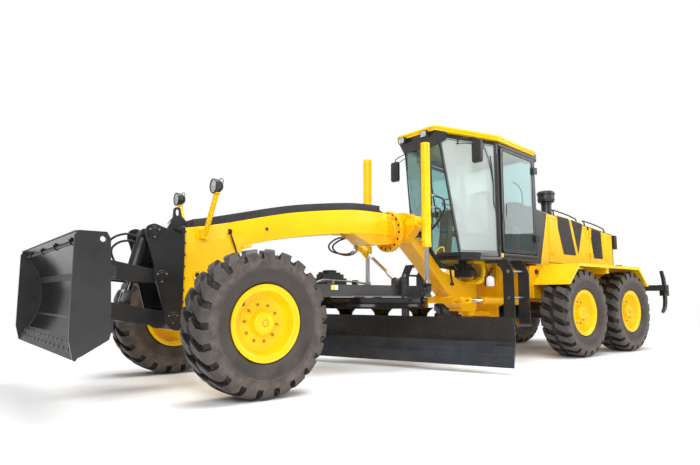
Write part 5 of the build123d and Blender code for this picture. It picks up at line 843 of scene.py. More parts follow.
nose = [loft([np.column_stack([outline[:, 0], nose_half(outline[:, 0]) + out, outline[:, 1]])
    for out in (-0.002, 0.005)]), lathe([(0.028, 0), (0.052, 0), (0.056, 0.005), (0.052, 0.012),
    (0.034, 0.012), (0.028, 0.008), (0.028, 0)], (3.933, 0.22, 1.125), (-0.2, 1, 0), 36),
    lathe([(0.021, 0), (0.031, 0), (0.033, 0.003), (0.03, 0.006), (0.021, 0.006), (0.021, 0)],
    (3.083, 0.1395, 1.677), LEFT, 28), lathe([(0.03, 0), (0.038, 0), (0.038, 0.004), (0.03, 0.004),
    (0.03, 0)], (3.542, 0.1395, 1.611), LEFT, 28), plate([(3.275, 1.485), (3.385, 1.455), (3.385, 1.425),
    (3.275, 1.452)], 0.008, 0.07, 0.152)]
put("nose_side_plates", both(nose), "yellow", "front_frame", bevel=0.002)
holes = [rod((3.933, 0.221, 1.125), (3.932, 0.226, 1.125), 0.027, 24),
    rod((3.083, 0.1395, 1.677), (3.083, 0.142, 1.677), 0.021, 20),
    rod((3.542, 0.1395, 1.611), (3.542, 0.1415, 1.611), 0.03, 20)]
put("beam_side_holes", both(holes), "black", "front_frame")
put("nose_cables", both([tube([(3.552, 0.139, 1.612), (3.548, 0.16, 1.6), (3.52, 0.166, 1.53),
    (3.48, 0.166, 1.43), (3.455, 0.163, 1.34), (3.44, 0.15, 1.24), (3.46, 0.1, 1.2)], 0.009, 10)]), "hose",
    "front_frame")
near = stations[::4]
seams = [tube(np.column_stack([near, nose_half(near) - 0.0015, under[::4] + 0.01])[:14], 0.005, 8,
    smooth=False), tube([(1.95, 0.1385, 1.712), (1.5, 0.1385, 1.745), (1.2, 0.1385, 1.75)], 0.006, 8,
    smooth=False)]
put("beam_weld_seams", both(seams), "yellow", "front_frame")
# black plate along the beam's top, in lengths with narrow joints
COVER_JOINTS = (3.955, 3.6, 3.18, 2.68, 2.2, 1.7, 1.345)
cover = []
for start, stop in zip(COVER_JOINTS, COVER_JOINTS[1:]):
    x = np.linspace(stop + 0.002, start - 0.002, 9)
    line = soft_line(BEAM_TOP, x)
    cover.append(box_run(x, 0.1395, line + 0.001, line + 0.09, 0.005))
put("beam_top_cover", cover, "cover_black", "front_frame", angle=30, hides=("beam_cover",))

# bolted flange, saddle casting under and behind it, and the gooseneck down to the articulation
BELLY = [(1.8, 1.765), (1.8, 1.715), (1.508, 1.597), (1.308, 1.602), (1.202, 1.615), (0.888, 1.67),
    (0.7, 1.745), (0.86, 1.9)]
saddle = [plate([(-0.154, 1.728), (0.154, 1.728), (0.154, 2.03), (-0.154, 2.03)], 0.02, 1.141, 1.199, "x"),
    plate(BELLY, 0.05, -0.059, 0.1385), prism([*BELLY[:4], (1.308, 1.665), (1.202, 1.665), *BELLY[4:]],
    -0.1385, -0.0585), plate([(-0.47, 1.862), (-0.47, 1.956), (-0.25, 2.06), (0.25, 2.06), (0.47, 1.956),
    (0.47, 1.862), (0.23, 1.64), (-0.23, 1.64)], 0.05, 0.851, 1.009, "x"),
    *both([rod((0.93, 0.43, 1.909), (0.93, 0.532, 1.909), 0.03, 24)]),
    block((1.076, -0.65, 1.756), (1.164, -0.2, 1.844)), rod((1.081, -0.65, 1.8), (1.2185, -0.65, 1.8), 0.0495,
    28, 0.003), rod((1.2, -0.65, 1.8), (1.299, -0.65, 1.8), 0.0248, 24, 0.003),
    lathe([(0.02, 0.0), (0.195, 0.0), (0.2, 0.006), (0.2, 0.055), (0.278, 0.06), (0.285, 0.066),
    (0.285, 0.122), (0.278, 0.13), (0.02, 0.13)], (0.961, 0, SADDLE_Z), AHEAD, 72)]
# the saddle casting takes the yellow's painted shade
put("saddle_casting", saddle, "yellow_painted_shade", "front_frame", bevel=0.008, angle=40)
neck = [prism(rounded([(1.16, 2.012), (0.86, 2.0), (0.448, 1.603), (0.121, 1.286), (-0.33, 1.142),
    (-0.33, 0.722), (0.039, 0.995), (0.457, 1.394), (0.792, 1.688), (1.16, 1.745)], 0.06, 6), -BEAM_HALF,
    BEAM_HALF), block((-0.65, -0.1245, 0.691), (-0.321, 0.1245, 1.149)),
    lathe([(0.0556, 0.0), (0.124, 0.0), (0.13, 0.006), (0.13, 0.06), (0.1285, 0.066), (0.1285, 0.394),
    (0.13, 0.4), (0.13, 0.453), (0.124, 0.459), (0.0556, 0.459), (0.0556, 0.0)], (-0.65, 0, 0.6905), UP, 48)]
neck += both([prism([(-0.3, 0.801), (0.11, 0.819), (0.2595, 0.819), (0.2595, 0.897), (0.05, 0.905),
    (-0.06, 0.94), (-0.3, 1.039)], 0.111, 0.1405), block((0.111, 0.121, 0.819), (0.259, 0.449, 0.897)),
    block((0.126, 0.441, 0.8465), (0.244, 0.549, 0.8695)), rod((0.185, 0.55, 0.8465), (0.185, 0.55, 0.8695),
    0.0595, 32, 0.002)])
# the gooseneck takes the yellow's painted shade
put("gooseneck", neck, "yellow_painted_shade", "front_frame", bevel=0.01, angle=40)

# ---------------------------------------- headlamps on stalks
LAMP = np.array((3.868, 0.492, 2.018))
LAMP_AIM = (1.0, 0.0, -0.04)
stalks = [plate([(3.842, 1.5), (3.918, 1.5), (3.918, 1.6), (3.842, 1.6)], 0.012, 0.2, 0.268),
    rod((3.874, 0.252, 1.545), (3.868, 0.486, 1.945), 0.027, 20, 0.004),
    lathe([(0.03, 0), (0.04, 0.002), (0.04, 0.012), (0.03, 0.014)], (3.868, 0.489, 1.938), UP, 24)]
cups = [lathe([(0.018, -0.058), (0.036, -0.052), (0.056, -0.034), (0.068, -0.006), (0.074, 0.018),
    (0.0765, 0.045), (0.073, 0.049), (0.068, 0.045), (0.064, 0.028)], LAMP, LAMP_AIM, 40),
    rod((3.868, 0.492, 1.945), (3.868, 0.492, 1.975), 0.02, 20, 0.003)]
lens = lathe([(0.067, 0.04), (0.055, 0.046), (0.032, 0.049), (0.006, 0.05)], LAMP, LAMP_AIM, 40)
wire = tube([LAMP + spot for spot in ((-0.02, 0.066, 0.0), (-0.03, 0.078, 0.045), (-0.035, 0.03, 0.078),
    (-0.035, -0.03, 0.078), (-0.03, -0.07, 0.045), (-0.02, -0.064, 0.0))], 0.0045, 8)
put("headlamp_stalks", both(stalks), "yellow", "front_frame", bevel=0.002, hides=("headlamps",))
put("headlamp_cups", both(cups), "plastic", "front_frame", angle=30)
put("headlamp_lenses", both([lens]), "lamp_glass", "front_frame", angle=30)
put("headlamp_wires", both([wire]), "plastic", "front_frame")

# ---------------------------------------- saddle: indexing ring, yoke and lift cylinders
ring = [lathe([(0.115, 0), (0.2, 0), (0.205, 0.006), (0.19, 0.045), (0.16, 0.052), (0.115, 0.052),
    (0.115, 0)], (1.09, 0, SADDLE_Z), AHEAD, 60)]
# the indexing ring takes the yellow's painted shade
put("saddle_ring", ring, "yellow_painted_shade", "front_frame", angle=30)
holes = [rod(spot, spot + np.array((0.0015, 0, 0)), 0.018, 20)
    for spot in on_circle((1.0915, 0, SADDLE_Z), AHEAD, 0.247, 16, 0.1)]
put("saddle_ring_holes", holes, "black", "front_frame")
flange = [bolt for x, way in ((1.2005, 1), (1.1395, -1)) for bolt in hexes([(x, y, z)
    for y in (0.1475, -0.1475) for z in np.linspace(1.76, 2.0, 5)], (way, 0, 0), 0.014, 0.014)]
put("beam_flange_bolts", flange, "yellow", "front_frame")
put("beam_diamond_patches", both([plate([(1.21, 2.0), (1.42, 1.89), (1.21, 1.77)], 0.03, 0.1395, 0.1465)]),
    "yellow", "front_frame", bevel=0.002)
yoke = [lathe([(0.062, 0.0), (0.076, 0.004), (0.08, 0.016), (0.08, 0.042), (0.074, 0.05), (0.062, 0.053)],
    (LIFT_X, 0.43, 1.909), LEFT, 40), plate([(0.845, 1.856), (0.845, 1.962), (1.015, 1.962), (1.015, 1.856)],
    0.02, 0.3, 0.452), *hexes([(0.87 + dx, 0.36, 1.9625) for dx in (0, 0.06, 0.12)], UP, 0.012, 0.012)]
put("lift_yoke_bosses", both(yoke), "yellow", "front_frame", bevel=0.003)
arch = [plate([(-0.3, 1.99), (-0.22, 2.055), (0.22, 2.055), (0.3, 1.99), (0.24, 1.93), (-0.24, 1.93)], 0.03,
    0.842, 1.018, "x")]
arch += hexes([(x, y, 2.056) for x in (0.88, 0.98) for y in (-0.18, -0.06, 0.06, 0.18)], UP, 0.013, 0.012)
put("saddle_bridge", arch, "yellow", "front_frame", bevel=0.006)
base = np.array((LIFT_X, LIFT_Y, 1.56))
barrel = [lathe([(0.032, 0.002), (0.064, 0.004), (0.0655, 0.01), (0.0655, 0.056), (0.062, 0.062),
    (0.0615, 0.3), (0.0615, 1.36), (0.062, 1.368), (0.062, 1.404), (0.06, 1.414), (0.03, 1.419),
    (0.006, 1.4195)], base, UP, 48), lathe([(0.063, 0), (0.066, 0.004), (0.066, 0.076), (0.063, 0.08)],
    base + (0, 0, 0.309), UP, 48), rod(base + (0, -0.055, 0.349), base + (0, -0.104, 0.349), 0.04, 28, 0.004),
    block(base + (0.04, -0.02, 0.08), base + (0.078, 0.02, 0.125))]
put("lift_cylinder_tubes", both(barrel), "yellow", "lift_barrels", angle=32, hides=("lift_barrels",))
collar = lathe([(0.03, 0.075), (0.044, 0.08), (0.046, 0.11), (0.04, 0.122), (0.031, 0.126)],
    (LIFT_X, LIFT_Y, 1.0), UP, 32)
put("lift_rod_collars", both([collar]), "steel", "lift_rods", angle=32)

# ---------------------------------------- cab: frame, panes, doors and roof
FLOOR_Z = 1.494
ROOF_SLOPE = (3.375 - 3.235) / (0.514 + 1.5)
FRONT_LOW, FRONT_HIGH = np.array((0.08, 0.49)), np.array((0.378, 0.376))
PILLAR_X, REAR_X = -0.51, -1.44


def roof_top(x):
    """Height of the roof's upper face: it falls evenly towards the rear."""
    return 3.235 + (x + 1.5) * ROOF_SLOPE


def rail_z(x):
    """Middle of the cab's top rail."""
    return roof_top(x) - 0.1086


def post(low, high, half_x, half_y, radius=0.012):
    """A post of rounded rectangular section, level across, from one point to another."""
    loop = round_box(half_x, 2 * half_y, radius, 4)
    rows = np.empty((2, len(loop), 3))
    rows[:, :, :2] = loop[None]
    rows[:, :, 2] = 0
    return loft(rows + np.array([low, high])[:, None])


def slab(outline, thick, top_of, rise=0.0):
    """A level outline (x, y) as a plate under a sloping height: z = top_of(x) + rise, less its thickness."""
    outline = np.asarray(outline, float)
    rows = np.stack([np.column_stack([outline, top_of(outline[:, 0]) + rise - drop])
        for drop in (thick, 0.0)])
    return loft(rows)


def halves(points):
    """A left half outline and its mirror image, as one closed outline."""
    points = [tuple(point) for point in points]
    return points + [(x, -y) for x, y in points[::-1] if abs(y) > 1e-6]


def front_corner(z):
    """The cab's front corner line at a height, as x and y."""
    share = (z - 1.484) / (rail_z(FRONT_HIGH[0]) - 1.484)
    return FRONT_LOW - (0, 0.031) + (FRONT_HIGH - FRONT_LOW) * share


low, high = front_corner(1.5), front_corner(rail_z(FRONT_HIGH[0]))
side_parts = [post((-0.476, 0.719, 1.49), (-0.476, 0.705, rail_z(PILLAR_X)), 0.034, 0.03, 0.018),
    post((-0.56, 0.7, 1.49), (-0.56, 0.69, rail_z(PILLAR_X)), 0.026, 0.022, 0.012),
    post((REAR_X, 0.717, 1.49), (REAR_X, 0.703, rail_z(REAR_X)), 0.03, 0.03, 0.014),
    post((*low, 1.49), (*high, rail_z(high[0])), 0.013, 0.013, 0.006)]
for line, z_of, size in (([low, (-0.51, 0.719), (-1.44, 0.719)], lambda x: 1.525, 0.028),
        ([high, (-0.51, 0.704), (-1.44, 0.704)], rail_z, 0.029)):
    for start, stop in zip(line[:-1], line[1:]):
        ends = [np.array((*point, z_of(point[0]))) for point in (start, stop)]
        way, across, up = frame_of(ends[1] - ends[0])
        loop = round_box(size, 2 * size, 0.01, 3)
        side_parts.append(loft([end + loop[:, :1] * across + loop[:, 1:] * up for end in ends]))
frame_parts = [plate(halves([(0.08, 0.485), (-0.51, 0.748), (-1.44, 0.748)]), 0.03, FLOOR_Z - 0.049, FLOOR_Z,
    "z")]
frame_parts += both(side_parts)
for (x, half), z in ((front_corner(1.5), 1.525), (front_corner(3.1), rail_z(0.36)),
        ((REAR_X, 0.71), rail_z(REAR_X))):
    thick = 0.028 if x == REAR_X else 0.026
    frame_parts.append(block((x - thick, -half, z - 0.028), (x + thick, half, z + 0.028)))
put("cab_posts", frame_parts, "cab_black", "rear_frame", bevel=0.003, hides=("cab_frame",))
back = [block((REAR_X - 0.03, -0.705, 1.5), (REAR_X - 0.006, 0.705, 2.35))]
back += [block((REAR_X - 0.0305, y - 0.012, 1.56), (REAR_X - 0.024, y + 0.012, 2.3))
    for y in (-0.48, -0.16, 0.16, 0.48)]
back += [block((REAR_X - 0.03, -0.705, 2.33), (REAR_X + 0.01, 0.705, 2.352))]
put("cab_back_wall", back, "cab_black", "rear_frame", bevel=0.002)
start, stop = np.array((0.06, 0.484)), np.array((-0.5, 0.7535))
way = (stop - start) / np.linalg.norm(stop - start)
out = np.array((way[1], -way[0]))
sill = [prism([start + out * proud, stop + out * proud, stop - out * 0.006, start - out * 0.006], low, high,
    "z") for low, high, proud in ((1.5, 1.553, 0.0035), (1.452, 1.492, 0.001))]
put("cab_sill_strips", both(sill), "steel", "rear_frame", bevel=0.001)
put("cab_corner_plates", both([block((-0.545, 0.7495, 1.488), (-0.485, 0.753, 1.545))]), "bright_yellow",
    "rear_frame", bevel=0.001)

# panes: the windshield, the two slanted quarter panes and the rear pane, glued edge to edge
GLASS = 0.006


def pane(corners):
    """A flat sheet of glass through four corners, given its thickness along its own normal."""
    corners = np.asarray(corners, float)
    normal = np.cross(corners[1] - corners[0], corners[3] - corners[0])
    normal /= np.linalg.norm(normal)
    return loft(np.stack([corners - normal * GLASS / 2, corners + normal * GLASS / 2]))


LOW_PANE, HIGH_PANE = 1.556, rail_z(0.35) - 0.03
low, high = front_corner(LOW_PANE), front_corner(HIGH_PANE)
shield_low, shield_high = low[1] - 0.014, high[1] - 0.014
put("windshield", [pane([(low[0], -shield_low, LOW_PANE), (low[0], shield_low, LOW_PANE),
    (high[0], shield_high, HIGH_PANE), (high[0], -shield_high, HIGH_PANE)])], "shield_glass", "rear_frame",
    hides=("cab_glass",))
pillar_top = rail_z(PILLAR_X) - 0.03
corners = np.array([(low[0] - 0.012, low[1] + 0.01, LOW_PANE), (-0.44, 0.722, LOW_PANE),
    (-0.44, 0.712, pillar_top), (high[0] - 0.012, high[1] + 0.01, HIGH_PANE)])
inner = corners + (corners.mean(axis=0) - corners) * 0.02
seals = [rod(first, second, 0.006, 8) for first, second in zip(np.roll(inner, 1, axis=0), inner)]
put("quarter_panes", both([pane(corners)]), "glass", "rear_frame")
put("quarter_pane_seals", both(seals), "plastic", "rear_frame")
put("rear_pane", [block((REAR_X - 0.003, -0.668, 2.356), (REAR_X + 0.003, 0.668, rail_z(REAR_X) - 0.03))],
    "shield_glass", "rear_frame")

# doors: a thin rounded frame, its pane, a black rubber line, a handle and two hinges
for side_name, side in SIDES:
    outline = np.array([(-1.403, 1.562), (-0.547, 1.562), (-0.547, 3.153), (-1.403, 3.094)])
    outer = rounded(outline, 0.05, 5)
    middle = outline.mean(axis=0)
    inner = rounded(outline + np.sign(middle - outline) * 0.045, 0.035, 5)
    rows = [upright(line, side * depth) for line, depth in ((outer, 0.714), (outer, 0.744),
        (outer * 0.998 + middle * 0.002, 0.7475), (inner, 0.7475), (inner, 0.714))]
    put(f"door_frame_{side_name}", [loft(rows, closed=True)], "cab_black", f"cab_door_{side_name}", angle=30,
        hides=(f"cab_door_{side_name}",))
    hinges = []
    for z in (1.76, 2.85):
        hinges.append(rod((REAR_X, side * 0.772, z + 0.001), (REAR_X, side * 0.772, z + 0.109), 0.0158, 20,
            0.003))
        hinges.append(block((REAR_X + 0.006, side * 0.751, z + 0.003),
            (REAR_X + 0.076, side * 0.78, z + 0.107)))
        hinges += hexes([(REAR_X + dx, side * 0.78, z + 0.055 + dz) for dx in (0.035, 0.062)
            for dz in (-0.03, 0.03)], (0, side, 0), 0.007, 0.006)
    put(f"door_hinges_{side_name}", hinges, "cab_black", f"cab_door_{side_name}", bevel=0.002)
    put(f"door_pane_{side_name}", [prism(inner - np.sign(middle - inner) * 0.004, side * 0.7395,
        side * 0.7455)], "door_glass", f"cab_door_{side_name}")
    rim = upright(inner, side * 0.7465)
    put(f"door_seal_{side_name}", [tube(np.vstack([rim, rim[:1]]), 0.006, 8, smooth=False)], "plastic",
        f"cab_door_{side_name}")
    handle = [tube([(-0.66, side * 0.728, 2.1), (-0.66, side * 0.742, 2.12), (-0.66, side * 0.742, 2.28),
        (-0.66, side * 0.728, 2.3)], 0.009, 10), block((-0.59, side * 0.747, 2.02),
        (-0.556, side * 0.753, 2.16)), rod((-0.573, side * 0.7525, 2.06), (-0.573, side * 0.7565, 2.06),
        0.013, 16)]
    put(f"door_handle_{side_name}", handle, "plastic", f"cab_door_{side_name}", bevel=0.001)

# roof: a thin slab with a raised lip, and the black visor hung under its front
ROOF_LINE = halves([(0.512, 0.398), (-0.47, 0.787), (-1.497, 0.757)])
put("roof_slab", [slab(rounded(ROOF_LINE, 0.05, 5), 0.044, roof_top)], "yellow", "rear_frame", bevel=0.012,
    hides=("cab_roof",), segments=3)
put("roof_under_lip", [slab(rounded(np.array(ROOF_LINE) * 0.985, 0.05, 5), 0.031, roof_top, -0.043)],
    "yellow", "rear_frame", bevel=0.006)
ribs = []
for y in (-0.42, -0.14, 0.14, 0.42):
    line = np.array([(-1.38, y - 0.05), (0.02, y - 0.05), (0.02, y + 0.05), (-1.38, y + 0.05)])
    ribs.append(slab(rounded(line, 0.03), 0.012, roof_top, 0.006))
put("roof_ribs", ribs, "yellow", "rear_frame", bevel=0.005)
eyes = []
for x, y in ((-0.1, 0.56), (-1.1, 0.68), (-0.1, -0.56), (-1.1, -0.68)):
    turn = np.linspace(0, pi, 13)
    eyes.append(tube(np.column_stack([x + 0.026 * np.cos(turn), np.full(13, y),
        roof_top(x) - 0.004 + 0.036 * np.sin(turn)]), 0.006, 8, smooth=False))
put("roof_eyes", eyes, "yellow", "rear_frame")
VISOR_LOW, UNDER_ROOF = 3.115, 0.076
corner = front_corner(VISOR_LOW) + (0.03, 0)
front = [[(corner[0] + out, -corner[1], VISOR_LOW), (corner[0] + out, corner[1], VISOR_LOW),
    (x, half, roof_top(x) - UNDER_ROOF), (x, -half, roof_top(x) - UNDER_ROOF)]
    for out, x, half in ((0, 0.48, 0.375), (0.008, 0.492, 0.38))]
cheek = [[(corner[0], corner[1] + out, VISOR_LOW), (0.492, 0.38 + out, roof_top(0.492) - UNDER_ROOF),
    (0.3, 0.44 + out, roof_top(0.3) - UNDER_ROOF), (0.29, 0.42 + out, 3.19)] for out in (0, 0.006)]
visor = [loft(front), *[loft(np.array(cheek) * (1, side, 1)) for side in (1, -1)]]
put("front_visor", visor, "plastic", "rear_frame", bevel=0.002)
centre = np.array((0.535, 0.225, 3.262))
loop = round_box(0.06, 0.1, 0.016, 4)
lamps = both([facing(centre, loop, ((-0.045, 0.72), (-0.03, 0.92), (0.0, 1.0), (0.042, 1.0), (0.045, 0.94),
    (0.04, 0.9))), tube([centre + (-0.03, 0, 0.03), centre + (-0.04, 0, 0.045), centre + (-0.075, 0, 0.03)],
    0.01, 8)])
lamp_faces = both([facing(centre, loop, ((0.0405, 0.86), (0.0435, 0.8)))])
centre = (-1.545, 0.59, 3.155)
loop = round_box(0.108, 0.126, 0.02, 4)
lamps.append(facing(centre, loop, ((0.043, 0.95), (0.02, 1.0), (-0.036, 1.0), (-0.043, 0.93))))
lamp_faces.append(facing(centre, loop, ((-0.0425, 0.86), (-0.0448, 0.8))))
put("roof_lamps", lamps, "plastic", "rear_frame", bevel=0.001, hides=("cab_fittings",))
put("roof_lamp_lenses", lamp_faces, "lamp_glass", "rear_frame", angle=30)

# mirrors on thin bent wires, wipers and the handrails
MIRROR = (0.12, 0.839, 2.954)
shell = facing(MIRROR, round_box(0.083, 0.335, 0.035, 5), ((0.034, 0.8), (0.026, 0.95), (0.0, 1.0),
    (-0.022, 0.985), (-0.03, 0.9)))
wires = [tube([(0.155, 0.5, 3.195), (0.15, 0.6, 3.19), (0.135, 0.78, 3.165), (0.122, 0.842, 3.12),
    (0.12, 0.845, 3.02)], 0.0075, 10), tube([(0.165, 0.5, 3.13), (0.155, 0.62, 3.11), (0.135, 0.78, 3.07),
    (0.124, 0.835, 3.045), (0.121, 0.845, 2.98)], 0.0065, 10),
    rod((0.16, 0.52, 3.12), (0.15, 0.52, 3.2), 0.012, 12)]
put("mirror_shells", both([shell]), "plastic", "rear_frame", angle=40)
put("mirror_wires", both(wires), "plastic", "rear_frame")
put("mirror_faces", both([facing(MIRROR, round_box(0.07, 0.29, 0.028, 5),
    ((-0.0295, 1.0), (-0.0325, 0.97)))]), "chrome", "rear_frame")


def on_shield(share, y):
    """A point just outside the windshield: a share of its height, and a place across."""
    z = LOW_PANE + (HIGH_PANE - LOW_PANE) * share
    return np.array((front_corner(z)[0] + 0.016, y, z))


def on_quarter(share_along, share_up):
    """A point just outside the left quarter pane: a share of the way to the pillar, and of its height."""
    z = LOW_PANE + (HIGH_PANE - LOW_PANE) * share_up
    start, stop = front_corner(z) + (0, 0.012), np.array((-0.44, 0.724))
    spot = start + (stop - start) * share_along
    return np.array((spot[0] + 0.006, spot[1] + 0.014, z))


wipers = [tube([on_shield(*spot) for spot in line], radius, 8)
    for line, radius in ((((0.97, 0.03), (0.8, 0.05), (0.62, 0.09), (0.5, 0.11)), 0.008),
    (((0.97, 0.0), (0.8, 0.02), (0.58, 0.06)), 0.006), (((0.78, 0.085), (0.55, 0.105), (0.22, 0.13)), 0.01))]
wipers.append(rod(on_shield(0.97, 0.015) - (0.02, 0, 0), on_shield(0.97, 0.015) + (0.012, 0, 0), 0.026, 20,
    0.004))
SIDE_WIPER = ((((0.8, 0.93), (0.88, 0.8), (0.93, 0.62)), 0.007),
    (((0.9, 0.86), (0.935, 0.66), (0.935, 0.42)), 0.01), (((0.93, 0.45), (0.97, 0.38), (1.0, 0.33)), 0.008))
for side in (1, -1):
    wipers += [tube([on_quarter(*spot) * (1, side, 1) for spot in line], radius, 8)
        for line, radius in SIDE_WIPER]
    motor = on_quarter(0.76, 0.95) * (1, side, 1)
    wipers.append(block(motor - (0.04, 0.012, 0.035), motor + (0.04, 0.012, 0.035)))
put("wipers", wipers, "plastic", "rear_frame", bevel=0.002)
rails = both([tube([(-0.455, 0.752, 1.66), (-0.45, 0.756, 1.76), (-0.45, 0.754, 2.6), (-0.455, 0.742, 2.95),
    (-0.462, 0.738, 3.02)], 0.014, 12)])
put("cab_handrails", rails, "cab_black", "rear_frame")

# inside the cab: seat, console, wheel, floor mat, extinguisher, handrail


def cushion(centre, half, way="z"):
    """A crowned pad drawn in at its seam, its height from s = ((1 - |u|^6) (1 - |v|^6))^0.5."""
    share = np.linspace(-1, 1, 25)
    u, v = np.meshgrid(share, share)
    swell = ((1 - np.abs(u) ** 6) * (1 - np.abs(v) ** 6)) ** 0.5
    groove = 1 - 0.1 * np.exp(-((np.abs(v) - 0.62) / 0.05) ** 2)
    x, y = u * half[0] * (1 - 0.04 * v ** 2), v * half[1] * (1 - 0.04 * u ** 2)
    high = half[2] * (0.55 * swell * groove + 0.45 * swell ** 0.4)
    points = np.array([np.stack([x, y, face * high], axis=-1) for face in (1, -1)]).reshape(-1, 3)
    upper = ring_faces(25, 25, closed_columns=False)
    lower = [face[::-1] for face in ring_faces(25, 25, closed_columns=False, offset=625)]
    if way == "x":
        points = points[:, [2, 1, 0]]
        points[:, 0] -= 0.08 * (points[:, 2] + half[0])
    return points + centre, upper + lower


SEAT_PADS = {  # centre, half sizes, the way it faces, fill
    "seat_cushion": ((-0.755, 0, 1.92), (0.245, 0.245, 0.066), "z", 0.7),
    "seat_back": ((-0.955, 0, 2.33), (0.3, 0.225, 0.055), "x", 0.7),
    "seat_armrest_left": ((-0.77, 0.29, 2.095), (0.205, 0.039, 0.033), "z", 0.8),
    "seat_armrest_right": ((-0.77, -0.29, 2.095), (0.205, 0.039, 0.033), "z", 0.8),
    "seat_headrest": ((-1.005, 0, 2.59), (0.045, 0.13, 0.045), "x", 0.8),
}
for name, (centre, half, way, fill) in SEAT_PADS.items():
    pad = put(name, [cushion(centre, half, way)], "seat_cloth", "rear_frame", angle=60,
        hides=("operator_station",) if name == "seat_cushion" else ())
inside = [plate([(-0.95, 1.5), (-0.65, 1.5), (-0.63, 1.6), (-0.66, 1.855), (-0.94, 1.855), (-0.97, 1.6)],
    0.02, -0.128, 0.128), plate([(-0.145, 1.5), (0.005, 1.5), (-0.09, 1.8), (-0.122, 2.226), (-0.228, 2.226),
    (-0.19, 1.8)], 0.02, -0.088, 0.088), plate([(-0.298, 2.16), (-0.152, 2.152), (-0.152, 2.225),
    (-0.2, 2.258), (-0.298, 2.235)], 0.015, -0.298, 0.298), block((-0.955, -0.328, 2.0),
    (-0.905, 0.328, 2.06)), rod((-0.33, 0, 2.33), (-0.25, 0, 2.17), 0.028, 20),
    rod((-0.345, 0, 2.335), (-0.32, 0, 2.325), 0.045, 24, 0.006)]
wheel_way = np.array((-0.5, 0, 1)) / np.hypot(0.5, 1)
ring_points = on_circle((-0.33, 0, 2.33), wheel_way, 0.176, 48)
inside.append(loft(np.array([lathe([(0.01, 0), (0.01, 0.001)], spot,
    np.cross(wheel_way, spot - (-0.33, 0, 2.33)), 10)[0][:10] for spot in ring_points]), closed=True))
for spot in on_circle((-0.33, 0, 2.33), wheel_way, 0.172, 3, 0.5):
    inside.append(rod((-0.33, 0, 2.33), spot, 0.01, 10))
for y in (-0.22, -0.13, -0.05, 0.05, 0.13, 0.22):
    inside.append(tube([(-0.27, y, 2.225), (-0.285, y, 2.255)], 0.009, 8, smooth=False))
put("seat_base_and_column", inside, "plastic", "rear_frame", bevel=0.003)
mat_line = np.array(halves([(0.04, 0.44), (-0.5, 0.68), (-1.4, 0.68)]))
put("floor_mat", [plate(mat_line, 0.03, FLOOR_Z + 0.0005, FLOOR_Z + 0.008, "z")], "plastic", "rear_frame",
    bevel=0.002)
bottle = [lathe([(0.01, 0), (0.046, 0.004), (0.05, 0.02), (0.05, 0.3), (0.044, 0.335), (0.02, 0.355),
    (0.018, 0.375), (0.006, 0.378)], (-1.12, 0.585, 1.6), UP, 32)]
put("extinguisher_bottle", bottle, "red", "rear_frame", angle=30)
fittings = [lathe([(0.0505, 0.0), (0.052, 0.002), (0.052, 0.016), (0.0505, 0.018)], (-1.12, 0.585, 1.8), UP,
    32), block((-1.14, 0.575, 1.975), (-1.08, 0.595, 2.0)), tube([(-1.12, 0.61, 1.965), (-1.1, 0.655, 1.93),
    (-1.11, 0.655, 1.8), (-1.12, 0.65, 1.7)], 0.008, 10), block((-1.19, 0.545, 1.502), (-1.05, 0.625, 1.6))]
put("extinguisher_fittings", fittings, "plastic", "rear_frame", bevel=0.002)
put("cab_inner_handrail", [tube([(-1.26, 0.62, 1.6), (-1.26, 0.62, 2.4), (-1.245, 0.62, 2.56),
    (-1.16, 0.62, 2.66), (-1.05, 0.62, 2.69)], 0.013, 12)], "grey", "rear_frame")

# ---------------------------------------- hood: shell, band, doors, crown


def hood_side_top(x):
    """Height of the hood's side: it falls evenly from the cab to the rear."""
    return 2.369 + (2.1 - 2.369) * (-1.48 - x) / (-1.48 + 4.35)


def under_side_top(x, drop):
    """A point (x, z) a drop below the top of the hood's side."""
    return x, hood_side_top(x) - drop


WALL = (0.52, 0.5495)         # the hood's side walls, inside and outside
walls = [prism([(start, 1.44), under_side_top(start, 0.004), under_side_top(stop, 0.004), (stop, 1.44)],
    *WALL) for start, stop in ((-1.48, -2.087), (-3.383, -3.457), (-4.293, -4.35))]
walls.append(prism([(-2.087, 1.44), (-2.087, 1.478), (-4.293, 1.478), (-4.293, 1.44)], *WALL))
walls.append(prism([under_side_top(x, drop) for x, drop in ((-2.087, 0.058), (-2.087, 0.004), (-4.293, 0.004),
    (-4.293, 0.058))], *WALL))
shell = [part for wall in walls for part in both([wall])]
for half, top, low, high in ((WALL[1], 2.364, -1.511, -1.481), (WALL[1], 2.098, -4.3495, -4.32)):
    shell.append(prism([(-half, 1.44), (-half, top), (half, top), (half, 1.44)], low, high, "x"))
put("hood_walls", shell, "yellow", "rear_frame", bevel=0.003, hides=("hood_shell",))
band_line = [(-1.482, 1.446), under_side_top(-1.482, 0.006), under_side_top(-2.062, 0.006), (-1.835, 1.446)]
put("hood_side_band", both([plate(band_line, 0.004, 0.549, 0.552)]), "plastic", "rear_frame", bevel=0.001)
seam = rod((-2.062, 0.5515, hood_side_top(-2.062) - 0.008), (-1.835, 0.5515, 1.448), 0.003, 8)
put("hood_band_edge", both([seam]), "yellow", "rear_frame")
put("radiator_screen", [block((-4.352, -0.44, 1.5), (-4.3495, 0.44, 2.02))], "mesh_black", "rear_frame")
slats = [prism([(-4.3525, z), (-4.365, z - 0.012), (-4.3635, z - 0.015), (-4.3525, z - 0.006)], -0.43, 0.43)
    for z in np.linspace(1.53, 1.99, 14)]
slats += [block((-4.3665, y - 0.012, 1.49), (-4.35, y + 0.012, 2.03)) for y in (-0.445, -0.15, 0.15, 0.445)]
slats += [block((-4.3665, -0.457, z - 0.012), (-4.35, 0.457, z + 0.012)) for z in (1.49, 2.03)]
put("radiator_louvres", slats, "black", "rear_frame", bevel=0.002)


